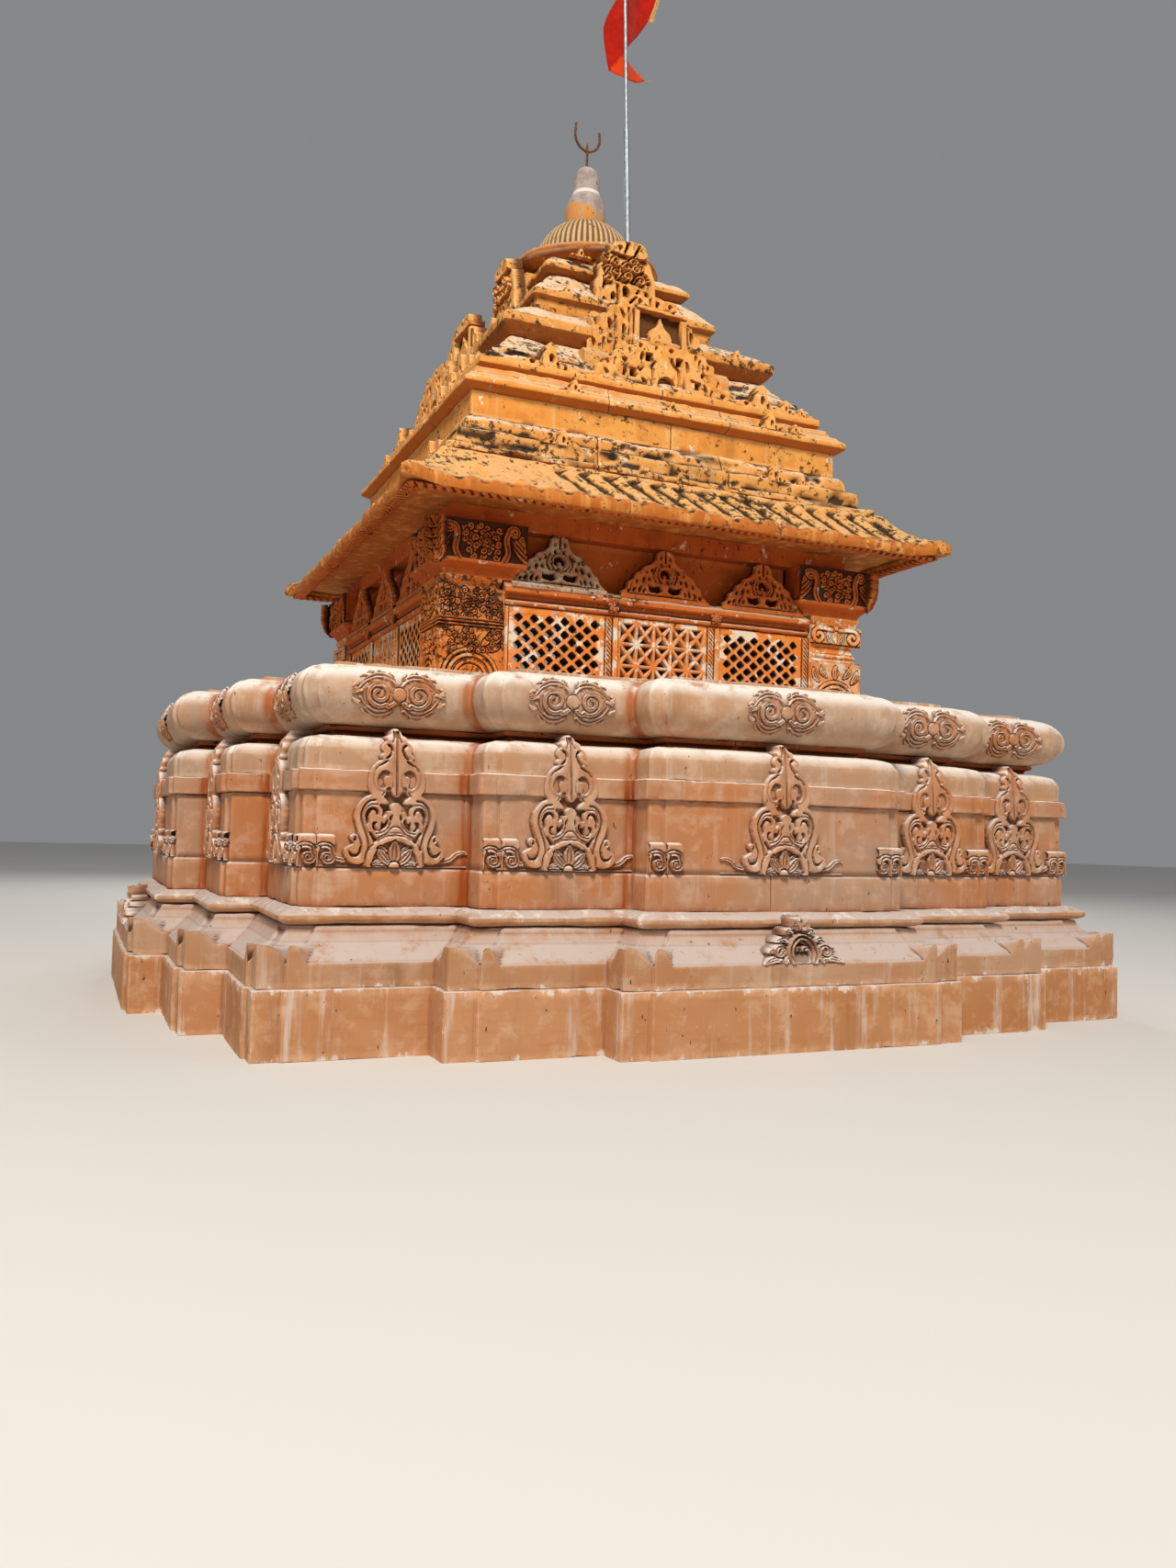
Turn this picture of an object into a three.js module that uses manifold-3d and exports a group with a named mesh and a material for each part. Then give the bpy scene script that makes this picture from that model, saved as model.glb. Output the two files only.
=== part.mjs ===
// A small hindu temple of carved sandstone: a high moulded podium on a stepped plan, and on it a
// square shrine with pierced stone windows, a wide eave and a pyramid of roof slabs that ends in
// a ribbed bell, a pot finial, a trident and a flag.
// Millimetres, +Z up. The origin is at the middle of the podium's foot, and the front is -Y.
import * as THREE from "three";
import { mergeVertices } from "three/addons/utils/BufferGeometryUtils.js";
import Module from "manifold-3d";

const wasm = await Module();
wasm.setup();

const GAP = 0.3; // between a piece and the neighbour that it is let into

// Podium plan: half width at the corner bays, then two projecting bays on each side.
const CORNER_HALF = 2450;
const MIDDLE_BAY_HALF = 1670;
const CENTRE_BAY_HALF = 935;
const MIDDLE_BAY_OUT = 215;
const CENTRE_BAY_OUT = 190;
const STRIP_SET_BACK = 20;
const BASE_STRIP = 140;
const WALL_STRIP = 75;

// Podium levels, from the foot up.
const BASE_TOP = 300;
const SLOPE_TOP = 555;
const KNIFE_TOP = 632;
const WALL_TOP = 1143;
const BELT_TOP = 1240;
const SHOULDER_TOP = 1400;
const RECESS_TOP = 1450;
const ROLL_TOP = 1725;
const PLATFORM_TOP = 1750;
const WALL_INSET = 225;
const BELT_PROUD = 25;
const SHOULDER_ROUND = 90;
const RECESS_INSET = 385;
const ROLL_CORE_INSET = 345;
const ROLL_BULGE = 140;
const ROLL_STEPS = 8;
const PLATFORM_INSET = 400;

// Courses with a moulded edge, as points of [set back from the plan, height].
const SLOPE_PROFILE = [
  [18, BASE_TOP],
  [18, 405],
  [70, 440],
  [125, 485],
  [155, 525],
  [165, SLOPE_TOP],
];
const KNIFE_PROFILE = [
  [185, SLOPE_TOP],
  [150, 570],
  [142, 600],
  [200, KNIFE_TOP],
];
const WALL_PROFILE = [
  [WALL_INSET - 10, KNIFE_TOP],
  [WALL_INSET - 10, 792],
  [WALL_INSET, 800],
  [WALL_INSET, WALL_TOP],
];
const RECESS_PROFILE = [
  [RECESS_INSET, SHOULDER_TOP],
  [RECESS_INSET, 1422],
  [RECESS_INSET - 30, 1430],
  [RECESS_INSET - 30, RECESS_TOP],
];

// Shrine levels and half widths.
const FLOOR_TOP = 1790;
const FLOOR_HALF = 1450;
const PILLAR_OUTER = 1380;
const PILLAR_INNER = 1000;
const PILLAR_BASE_TOP = 2090;
const PILLAR_SHAFT_TOP = 2190;
const PILLAR_TOP = 2370;
const PILLAR_WAIST = 22;
const PILLAR_NECK = 18;
const CAPITAL_TOP = 2670;
const CAPITAL_OUTER = 1420;
const CAPITAL_REACH = 530;
const CAPITAL_DEPTH = 220;
const CAPITAL_STEM = 360;
const SCROLL_OUT = 120;
const SCROLL_RISE = 130;
const SCROLL_RADII = [50, 70];
const JALI_OUTER = 1330;
const JALI_THICK = 80;
const JALI_TOP = 2240;
const LEDGE_OUTER = 1372;
const LEDGE_TOP = PILLAR_TOP;
const FRIEZE_OUTER = 1220;
const FRIEZE_INNER = 1120;
const PANEL_WIDTH = 560;
const PANEL_PITCH = 670;
const PANEL_FOOT = 1835;
const PANEL_HEAD = 2215;
const DIAMOND_COLUMNS = 4;
const DIAMOND_ROWS = 3;
const DIAMOND_BAR = 34;
const PEDIMENT_FRONT = 1352;
const PEDIMENT_THICK = 60;
const DOOR_HALF = 350;
const CEILING_HALF = 1300;
const CEILING_TOP = 2780;

// Half of a small pediment over a window, as points of [out from its middle, above the ledge].
const PEDIMENT_PROFILE = [
  [245, -20],
  [245, 45],
  [176, 75],
  [162, 125],
  [88, 150],
  [68, 215],
  [0, 250],
];

// Roof levels. The roof's slabs lie a little to the right of the podium's middle.
const ROOF_SHIFT = 40;
const EAVE_LIP = 2735;
const EAVE_TOP = 3040;
const BEDDING_TOP = 3310;
const DRUM_TOP = 3460;
const LOWER_CORNICE_TOP = 3620;
const UPPER_CORNICE_TOP = 3700;
const SKIRT_TOP = 3970;
const LOWER_TIER_TOP = 4261;
const MIDDLE_TIER_TOP = 4604;
const UPPER_TIER_TOP = 4740;
const DRUM_HALF = 1220;
const UPPER_CORNICE_HALF = 1160;
const LOWER_TIER_HALF = 937;
const MIDDLE_TIER_HALF = 655;
const UPPER_TIER_HALF = 525;

// Roof slabs, as points of [half width, height].
const EAVE_PROFILE = [
  [1300, CEILING_TOP],
  [1595, CEILING_TOP],
  [1610, EAVE_LIP + 6],
  [1695, EAVE_LIP],
  [1700, EAVE_LIP + 55],
  [1600, EAVE_LIP + 130],
  [1510, EAVE_LIP + 215],
  [1445, EAVE_TOP],
];
const BEDDING_PROFILE = [
  [1415, EAVE_TOP],
  [1415, EAVE_TOP + 40],
  [1335, EAVE_TOP + 60],
  [1335, EAVE_TOP + 150],
  [1275, EAVE_TOP + 165],
  [1275, EAVE_TOP + 225],
  [1235, BEDDING_TOP],
];
const DRUM_PROFILE = [
  [DRUM_HALF, BEDDING_TOP],
  [DRUM_HALF, DRUM_TOP],
];
const LOWER_CORNICE_PROFILE = [
  [DRUM_HALF + 5, DRUM_TOP],
  [1275, DRUM_TOP + 25],
  [1275, DRUM_TOP + 60],
  [1205, DRUM_TOP + 110],
  [1185, LOWER_CORNICE_TOP],
];
const UPPER_CORNICE_PROFILE = [
  [UPPER_CORNICE_HALF - 40, LOWER_CORNICE_TOP],
  [UPPER_CORNICE_HALF, LOWER_CORNICE_TOP + 30],
  [UPPER_CORNICE_HALF, UPPER_CORNICE_TOP],
];
const SKIRT_PROFILE = [
  [1130, UPPER_CORNICE_TOP],
  [1100, UPPER_CORNICE_TOP + 60],
  [1048, UPPER_CORNICE_TOP + 105],
  [880, SKIRT_TOP],
];
const LOWER_TIER_PROFILE = [
  [877, SKIRT_TOP],
  [LOWER_TIER_HALF, SKIRT_TOP + 65],
  [LOWER_TIER_HALF, SKIRT_TOP + 120],
  [685, LOWER_TIER_TOP],
];
const MIDDLE_TIER_PROFILE = [
  [625, LOWER_TIER_TOP],
  [630, LOWER_TIER_TOP + 90],
  [MIDDLE_TIER_HALF, LOWER_TIER_TOP + 112],
  [MIDDLE_TIER_HALF, LOWER_TIER_TOP + 150],
  [475, MIDDLE_TIER_TOP],
];
const UPPER_TIER_PROFILE = [
  [460, MIDDLE_TIER_TOP],
  [UPPER_TIER_HALF, MIDDLE_TIER_TOP + 30],
  [UPPER_TIER_HALF, MIDDLE_TIER_TOP + 62],
  [450, UPPER_TIER_TOP],
];

// The stack of gables in the middle of each side. A gable stands in slots of the slabs, and its
// outline is half of its front, as points of [out from its middle, height].
const LOWER_SLOT_BACK = MIDDLE_TIER_HALF;
const UPPER_SLOT_BACK = 430;
const CREST_BACK = 560;
const LOWER_GABLE = {
  middle: 45,
  front: UPPER_CORNICE_HALF - 40,
  foot: UPPER_CORNICE_TOP,
  outline: [
    [530, 3760],
    [430, 3800],
    [415, 3860],
    [290, 3900],
    [270, 3960],
    [120, 3980],
    [0, 3990],
  ],
};
const MIDDLE_GABLE = {
  middle: 10,
  front: LOWER_TIER_HALF + 15,
  foot: UPPER_CORNICE_TOP,
  outline: [
    [410, 4060],
    [370, 4120],
    [345, 4200],
    [240, 4250],
    [190, 4320],
    [110, 4350],
    [0, 4360],
  ],
};
const UPPER_GABLE = {
  middle: -5,
  front: MIDDLE_TIER_HALF + 5,
  foot: LOWER_TIER_TOP + GAP,
  outline: [
    [250, 4480],
    [230, 4560],
    [200, MIDDLE_TIER_TOP - GAP],
    [0, MIDDLE_TIER_TOP - GAP],
  ],
  crest: [
    [200, 4590],
    [196, 4670],
    [178, 4750],
    [138, 4815],
    [75, 4850],
    [0, 4858],
  ],
};

// Crown levels and round profiles, as points of [radius, height].
const RIM_FOOT = 4835;
const DISC_TOP = 4895;
const BELL_TOP = 5220;
const POT_TOP = 5665;
const ROUND_SIDES = 24;
const DISC_PROFILE = [
  [0, UPPER_TIER_TOP],
  [370, UPPER_TIER_TOP],
  [390, RIM_FOOT - 15],
  [500, RIM_FOOT],
  [515, RIM_FOOT + 10],
  [512, DISC_TOP - 8],
  [500, DISC_TOP],
  [0, DISC_TOP],
];
const BELL_PROFILE = [
  [0, DISC_TOP],
  [335, DISC_TOP],
  [345, DISC_TOP + 55],
  [330, DISC_TOP + 145],
  [285, DISC_TOP + 225],
  [225, DISC_TOP + 285],
  [150, BELL_TOP],
  [0, BELL_TOP],
];
const POT_PROFILE = [
  [0, BELL_TOP],
  [132, BELL_TOP],
  [141, BELL_TOP + 60],
  [138, BELL_TOP + 125],
  [112, BELL_TOP + 195],
  [96, BELL_TOP + 222],
  [92, BELL_TOP + 232],
  [97, BELL_TOP + 245],
  [92, BELL_TOP + 262],
  [88, BELL_TOP + 350],
  [72, BELL_TOP + 405],
  [37, BELL_TOP + 437],
  [0, POT_TOP],
];
const TRIDENT_BAR = 9;
const TRIDENT_REACH = 92;
const FORK_HEIGHT = POT_TOP + 115;
const LEFT_TIP = FORK_HEIGHT + 190;
const RIGHT_TIP = FORK_HEIGHT + 160;
const POLE_X = 152;
const POLE_Y = -385;
const SLEEVE_RADIUS = 19;
const SLEEVE_TOP = 5760;
const POLE_RADIUS = 12;
const POLE_TOP = 7560;
// The pole leans to the left, by this much for each unit of height above the disc.
const POLE_LEAN = 0.036;
const FLAG_THICK = 14;
const FLAG_STEPS = 14;
const FLAG_CLEAR = 0.25;
// The line of the flag's folds in plan, from left to right. It passes just behind the pole.
const FLAG_FOLDS = [
  [-190, 78],
  [-130, 60],
  [-65, 33],
  [0, POLE_RADIUS + FLAG_CLEAR + FLAG_THICK / 2],
  [65, 35],
  [130, 62],
  [195, 52],
  [265, 18],
];
// The flag's outline, as across from the pole and height. Its tail is folded back to the right.
const FLAG_OUTLINE = [
  [-125, 6135],
  [-8, 6131],
  [110, 6138],
  [148, 6156],
  [83, 6195],
  [21, 6222],
  [-12, 6270],
  [22, 6350],
  [107, 6471],
  [185, 6591],
  [229, 6734],
  [250, 6900],
  [245, 7100],
  [200, 7300],
  [90, 7430],
  [14, 7480],
  [-14, 7480],
  [-18, 7100],
  [-48, 6850],
  [-93, 6633],
  [-150, 6500],
  [-172, 6400],
  [-165, 6262],
];

// Shape tools

function squarePlan(half) {
  return [[-half, -half], [half, -half], [half, half], [-half, half]];
}

// A quarter of an outline repeated on the four sides.
function fourSided(side) {
  const turns = [
    ([x, y]) => [x, y],
    ([x, y]) => [-y, x],
    ([x, y]) => [-x, -y],
    ([x, y]) => [y, -x],
  ];
  return turns.flatMap((turn) => side.map(turn));
}

// The podium's plan. Each bay's ends may carry a narrow strip, set back from the bay's face.
function podiumPlan(strip) {
  const corner = -CORNER_HALF;
  const middle = corner - MIDDLE_BAY_OUT;
  const centre = middle - CENTRE_BAY_OUT;
  const back = strip ? STRIP_SET_BACK : 0;
  const bayEnd = (x, face) => (strip ? [[x, face + back], [x + strip, face + back], [x + strip, face]] : [[x, face]]);
  const cornerEnd = strip
    ? [[corner + back, corner + back], [corner + strip, corner + back], [corner + strip, corner]]
    : [[corner, corner]];
  const leftHalf = [
    ...cornerEnd,
    [-MIDDLE_BAY_HALF, corner],
    ...bayEnd(-MIDDLE_BAY_HALF, middle),
    [-CENTRE_BAY_HALF, middle],
    ...bayEnd(-CENTRE_BAY_HALF, centre),
  ];
  const rightHalf = leftHalf.slice(1).reverse().map(([x, y]) => [-x, y]);
  return fourSided([...leftHalf, ...rightHalf]);
}

// A square with a slot in each side, where a gable is let in.
function slottedPlan(half, slot) {
  const left = slot.middle - slot.half;
  const right = slot.middle + slot.half;
  return fourSided([
    [-half, -half],
    [left, -half],
    [left, -slot.back],
    [right, -slot.back],
    [right, -half],
  ]);
}

function solidGeometry(vertices, triangles) {
  const geometry = new THREE.BufferGeometry();
  geometry.setAttribute("position", new THREE.Float32BufferAttribute(vertices.flat(), 3));
  geometry.setIndex(triangles.flat());
  return geometry;
}

// A moulded course: rings of the plan, one for each profile point [offset outwards, height].
// Only the edges that run round the outside move, so a slot keeps its width and its back.
function courseGeometry(plan, profile, moves = () => [1, 1]) {
  const count = plan.length;
  const outward = plan.map(([x, y], i) => {
    const [px, py] = plan[(i + count - 1) % count];
    const [nx, ny] = plan[(i + 1) % count];
    const [mx, my] = moves([x, y]);
    return [(Math.sign(y - py) + Math.sign(ny - y)) * mx, (-Math.sign(x - px) - Math.sign(nx - x)) * my];
  });
  const vertices = profile.flatMap(([offset, z]) =>
    plan.map(([x, y], i) => [x + outward[i][0] * offset, y + outward[i][1] * offset, z]),
  );
  const triangles = [];
  for (let ring = 0; ring < profile.length - 1; ring++) {
    for (let i = 0; i < count; i++) {
      const a = ring * count + i;
      const b = ring * count + ((i + 1) % count);
      triangles.push([a, b, b + count], [a, b + count, a + count]);
    }
  }
  const top = (profile.length - 1) * count;
  const points = plan.map(([x, y]) => new THREE.Vector2(x, y));
  for (const [a, b, c] of THREE.ShapeUtils.triangulateShape(points, [])) {
    triangles.push([a, c, b], [top + a, top + b, top + c]);
  }
  return solidGeometry(vertices, triangles);
}

// A course on a square plan, with its profile given as [half width, height].
function squareCourse(profile) {
  const half = profile[0][0];
  return courseGeometry(squarePlan(half), profile.map(([r, z]) => [r - half, z]));
}

// The same with a slot in each side.
function slottedCourse(profile, slot) {
  const half = profile[0][0];
  const onRim = (v) => (Math.abs(Math.abs(v) - half) < 1 ? 1 : 0);
  const moves = ([x, y]) => [onRim(x), onRim(y)];
  return courseGeometry(slottedPlan(half, slot), profile.map(([r, z]) => [r - half, z]), moves);
}

// A podium course, with its profile given as [set back from the plan, height].
function podiumCourse(strip, profile) {
  return courseGeometry(podiumPlan(strip), profile.map(([back, z]) => [-back, z]));
}

function lathe(profile, sides = ROUND_SIDES) {
  const points = profile.map(([r, z]) => new THREE.Vector2(r, z));
  return new THREE.LatheGeometry(points, sides).rotateX(Math.PI / 2);
}

// An upright outline in X and Z, made thick from y = front to y = back.
function uprightPlate(outline, front, back, holes = []) {
  const shape = new THREE.Shape(outline.map(([x, z]) => new THREE.Vector2(x, z)));
  shape.holes = holes.map((hole) => new THREE.Path(hole.map(([x, z]) => new THREE.Vector2(x, z))));
  const geometry = new THREE.ExtrudeGeometry(shape, { depth: back - front, bevelEnabled: false, steps: 1 });
  return geometry.rotateX(Math.PI / 2).translate(0, back, 0);
}

function block([x0, y0, z0], [x1, y1, z1]) {
  const box = new THREE.BoxGeometry(x1 - x0, y1 - y0, z1 - z0);
  return box.translate((x0 + x1) / 2, (y0 + y1) / 2, (z0 + z1) / 2);
}

function toSolid(geometry) {
  const bare = geometry.clone();
  bare.deleteAttribute("normal");
  bare.deleteAttribute("uv");
  const merged = mergeVertices(bare, 1e-3);
  return new wasm.Manifold(
    new wasm.Mesh({
      numProp: 3,
      vertProperties: merged.attributes.position.array,
      triVerts: new Uint32Array(merged.index.array),
    }),
  );
}

function fromSolid(solid) {
  const mesh = solid.getMesh();
  const geometry = new THREE.BufferGeometry();
  geometry.setAttribute("position", new THREE.BufferAttribute(new Float32Array(mesh.vertProperties), 3));
  geometry.setIndex(new THREE.BufferAttribute(new Uint32Array(mesh.triVerts), 1));
  return geometry;
}

function joined(...geometries) {
  return fromSolid(geometries.map(toSolid).reduce((all, next) => all.add(next)));
}

// Finishes

const finish = (color, roughness, metalness = 0) =>
  new THREE.MeshStandardMaterial({ color, roughness, metalness, flatShading: true });
const SANDSTONE = finish("#c98f68", 0.9);
const DUSTY_STONE = finish("#cdbfb4", 0.95);
const SAFFRON_STONE = finish("#e08430", 0.8);
const WEATHERED_STONE = finish("#c47a3a", 0.92);
const CEMENT = finish("#a08f84", 0.9);
const RUSTY_IRON = finish("#6b4a38", 0.8, 0.4);
const STEEL = finish("#a9b4bd", 0.4, 0.8);
const RED_CLOTH = finish("#c81a00", 0.85);

const temple = new THREE.Group();

function addPiece(name, geometry, material, parent = temple) {
  const mesh = new THREE.Mesh(geometry, material);
  mesh.name = name;
  parent.add(mesh);
  return mesh;
}

// Podium

// A quarter of a round edge at the top of the shoulder.
function shoulderProfile() {
  const quarter = Math.PI / 2;
  const round = [0, quarter / 3, (2 * quarter) / 3, quarter].map((angle) => [
    WALL_INSET + SHOULDER_ROUND * (1 - Math.cos(angle)),
    SHOULDER_TOP - SHOULDER_ROUND * (1 - Math.sin(angle)),
  ]);
  return [[WALL_INSET, BELT_TOP], ...round];
}

// The roll is half an ellipse from its foot to its top.
function rollProfile() {
  const middle = (RECESS_TOP + ROLL_TOP) / 2;
  const rise = (ROLL_TOP - RECESS_TOP) / 2;
  return [...Array(ROLL_STEPS + 1).keys()].map((step) => {
    const angle = (step / ROLL_STEPS - 0.5) * Math.PI;
    return [ROLL_CORE_INSET - ROLL_BULGE * Math.cos(angle), middle + rise * Math.sin(angle)];
  });
}

function buildPodium() {
  const plainBand = (inset, foot, top) => [[inset, foot], [inset, top]];
  const belt = plainBand(WALL_INSET - BELT_PROUD, WALL_TOP, BELT_TOP);
  addPiece("base_course", podiumCourse(BASE_STRIP, plainBand(0, 0, BASE_TOP)), SANDSTONE);
  addPiece("sloped_course", podiumCourse(BASE_STRIP, SLOPE_PROFILE), DUSTY_STONE);
  addPiece("knife_edge_course", podiumCourse(0, KNIFE_PROFILE), DUSTY_STONE);
  addPiece("wall_course", podiumCourse(WALL_STRIP, WALL_PROFILE), SANDSTONE);
  addPiece("belt_course", podiumCourse(WALL_STRIP, belt), SANDSTONE);
  addPiece("shoulder_course", podiumCourse(WALL_STRIP, shoulderProfile()), SANDSTONE);
  addPiece("recess_course", podiumCourse(0, RECESS_PROFILE), WEATHERED_STONE);
  addPiece("roll_course", podiumCourse(0, rollProfile()), SANDSTONE);
  addPiece("platform_slab", podiumCourse(0, plainBand(PLATFORM_INSET, ROLL_TOP, PLATFORM_TOP)), DUSTY_STONE);
}

// Shrine

const SIDES = [
  ["front", 0],
  ["right", 1],
  ["back", 2],
  ["left", 3],
];

function sideGroup(turns, parent = temple) {
  const group = new THREE.Group();
  group.rotation.z = turns * (Math.PI / 2);
  parent.add(group);
  return group;
}

// A pillar's half width steps in from its base block to its shaft and out to its scroll block.
function pillarGeometry() {
  const half = (PILLAR_OUTER - PILLAR_INNER) / 2;
  const middle = -(PILLAR_OUTER + PILLAR_INNER) / 2;
  const profile = [
    [half, FLOOR_TOP],
    [half, PILLAR_BASE_TOP],
    [half - PILLAR_WAIST, PILLAR_BASE_TOP + 12],
    [half - PILLAR_WAIST, PILLAR_SHAFT_TOP - 12],
    [half, PILLAR_SHAFT_TOP],
    [half, PILLAR_TOP - 60],
    [half - PILLAR_NECK, PILLAR_TOP - 45],
    [half - PILLAR_NECK, PILLAR_TOP],
  ];
  return squareCourse(profile).translate(middle, middle, 0);
}

// The same shape mirrored in the diagonal of the plan, with its faces turned back to face out.
function mirroredInDiagonal(geometry) {
  const mirrored = mergeVertices(geometry.clone().rotateZ(Math.PI / 2).scale(-1, 1, 1));
  const corners = mirrored.index.array;
  for (let i = 0; i < corners.length; i += 3) {
    [corners[i + 1], corners[i + 2]] = [corners[i + 2], corners[i + 1]];
  }
  return mirrored;
}

// A corner capital: one bracket along each of its two walls, with a scroll under each end.
function capitalGeometry() {
  const foot = PILLAR_TOP;
  const outer = -CAPITAL_OUTER;
  const scrollCentre = [outer + CAPITAL_STEM + SCROLL_OUT, foot + SCROLL_RISE];
  const scroll = [-2, -1, 0, 1, 2].map((step) => {
    const angle = (step * Math.PI) / 4;
    return [
      scrollCentre[0] + SCROLL_RADII[0] * Math.cos(angle),
      scrollCentre[1] + SCROLL_RADII[1] * Math.sin(angle),
    ];
  });
  const outline = [
    [outer, foot + 45],
    [outer + 25, foot],
    [outer + CAPITAL_STEM, foot],
    ...scroll,
    [outer + CAPITAL_REACH, foot + 215],
    [outer + CAPITAL_REACH, CAPITAL_TOP],
    [outer, CAPITAL_TOP],
  ];
  const along = uprightPlate(outline, outer, outer + CAPITAL_DEPTH);
  return joined(along, mirroredInDiagonal(along));
}

// Diamond holes in staggered rows, clear of the panel's frame.
function diamondHoles(centre, halfWidth) {
  const foot = PANEL_FOOT;
  const pitchX = (2 * halfWidth) / DIAMOND_COLUMNS;
  const pitchZ = (PANEL_HEAD - foot) / DIAMOND_ROWS;
  const reachX = pitchX / 2 - DIAMOND_BAR / 2;
  const reachZ = pitchZ / 2 - DIAMOND_BAR / 2;
  const diamond = (x, z) => [[x - reachX, z], [x, z - reachZ], [x + reachX, z], [x, z + reachZ]];
  const holes = [];
  for (let row = 0; row < DIAMOND_ROWS; row++) {
    for (let column = 0; column < DIAMOND_COLUMNS; column++) {
      const x = centre - halfWidth + (column + 0.5) * pitchX;
      const z = foot + (row + 0.5) * pitchZ;
      holes.push(diamond(x, z));
      if (row < DIAMOND_ROWS - 1 && column < DIAMOND_COLUMNS - 1) {
        holes.push(diamond(x + pitchX / 2, z + pitchZ / 2));
      }
    }
  }
  return holes;
}

// A pierced stone wall from x0 to x1, with one panel of diamonds at each centre.
function jaliGeometry(x0, x1, centres) {
  const outline = [[x0, FLOOR_TOP], [x1, FLOOR_TOP], [x1, JALI_TOP], [x0, JALI_TOP]];
  const holes = centres.flatMap((centre) => diamondHoles(centre, PANEL_WIDTH / 2));
  return uprightPlate(outline, -JALI_OUTER, -JALI_OUTER + JALI_THICK, holes);
}

// An outline that is the same on both sides of its middle, from its right half.
function mirroredOutline(half, middle) {
  const right = half.map(([out, z]) => [middle + out, z]);
  const left = half.filter(([out]) => out > 0).reverse().map(([out, z]) => [middle - out, z]);
  return [...right, ...left];
}

// The ledge over the windows, with a small pediment over each, and the frieze in the shade behind.
// The frieze stops short of the capitals' arms, which lie on the ledge's ends.
function ledgeGeometry(x0, x1, centres) {
  const clear = CAPITAL_OUTER - CAPITAL_REACH - GAP;
  const ledge = block([x0, -LEDGE_OUTER, JALI_TOP], [x1, -FRIEZE_INNER, LEDGE_TOP]);
  const friezeStart = [Math.max(x0, -clear), -FRIEZE_OUTER, JALI_TOP];
  const frieze = block(friezeStart, [Math.min(x1, clear), -FRIEZE_INNER, CAPITAL_TOP]);
  const profile = PEDIMENT_PROFILE.map(([out, rise]) => [out, LEDGE_TOP + rise]);
  const pediments = centres.map((centre) =>
    uprightPlate(mirroredOutline(profile, centre), -PEDIMENT_FRONT, -PEDIMENT_FRONT + PEDIMENT_THICK),
  );
  return joined(ledge, frieze, ...pediments);
}

function buildShrine() {
  const floor = [[FLOOR_HALF, PLATFORM_TOP], [FLOOR_HALF, FLOOR_TOP]];
  addPiece("shrine_floor", squareCourse(floor), SAFFRON_STONE);
  const corners = ["front_left", "front_right", "back_right", "back_left"];
  corners.forEach((name, turns) => {
    const group = sideGroup(turns);
    addPiece("pillar_" + name, pillarGeometry(), SAFFRON_STONE, group);
    addPiece("capital_" + name, capitalGeometry(), SAFFRON_STONE, group);
  });
  const reach = PILLAR_INNER;
  const full = [-PANEL_PITCH, 0, PANEL_PITCH];
  for (const [name, turns] of SIDES) {
    const group = sideGroup(turns);
    if (name === "back") {
      addPiece("jali_back_left", jaliGeometry(DOOR_HALF, reach, [PANEL_PITCH]), SAFFRON_STONE, group);
      addPiece("jali_back_right", jaliGeometry(-reach, -DOOR_HALF, [-PANEL_PITCH]), SAFFRON_STONE, group);
      addPiece("ledge_back_left", ledgeGeometry(DOOR_HALF, reach, [PANEL_PITCH]), SAFFRON_STONE, group);
      addPiece("ledge_back_right", ledgeGeometry(-reach, -DOOR_HALF, [-PANEL_PITCH]), SAFFRON_STONE, group);
    } else {
      addPiece("jali_" + name, jaliGeometry(-reach, reach, full), SAFFRON_STONE, group);
      addPiece("ledge_" + name, ledgeGeometry(-reach, reach, full), SAFFRON_STONE, group);
    }
  }
  const ceiling = [[CEILING_HALF, CAPITAL_TOP], [CEILING_HALF, CEILING_TOP]];
  addPiece("ceiling_slab", squareCourse(ceiling), WEATHERED_STONE);
}

// Roof

function gablePlate({ middle, front, foot, outline }, back) {
  const half = [[outline[0][0], foot], ...outline];
  return uprightPlate(mirroredOutline(half, middle), -front, -back - GAP);
}

// Three gables, one behind and above the other. The upper one's crest stands clear of the disc.
function gableGeometry() {
  const crest = { ...UPPER_GABLE, outline: UPPER_GABLE.crest };
  return joined(
    gablePlate(LOWER_GABLE, LOWER_SLOT_BACK),
    gablePlate(MIDDLE_GABLE, LOWER_SLOT_BACK),
    gablePlate(UPPER_GABLE, UPPER_SLOT_BACK),
    gablePlate(crest, CREST_BACK),
  );
}

function slotFor({ middle, outline }, back) {
  return { middle, half: outline[0][0] + GAP, back };
}

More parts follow.
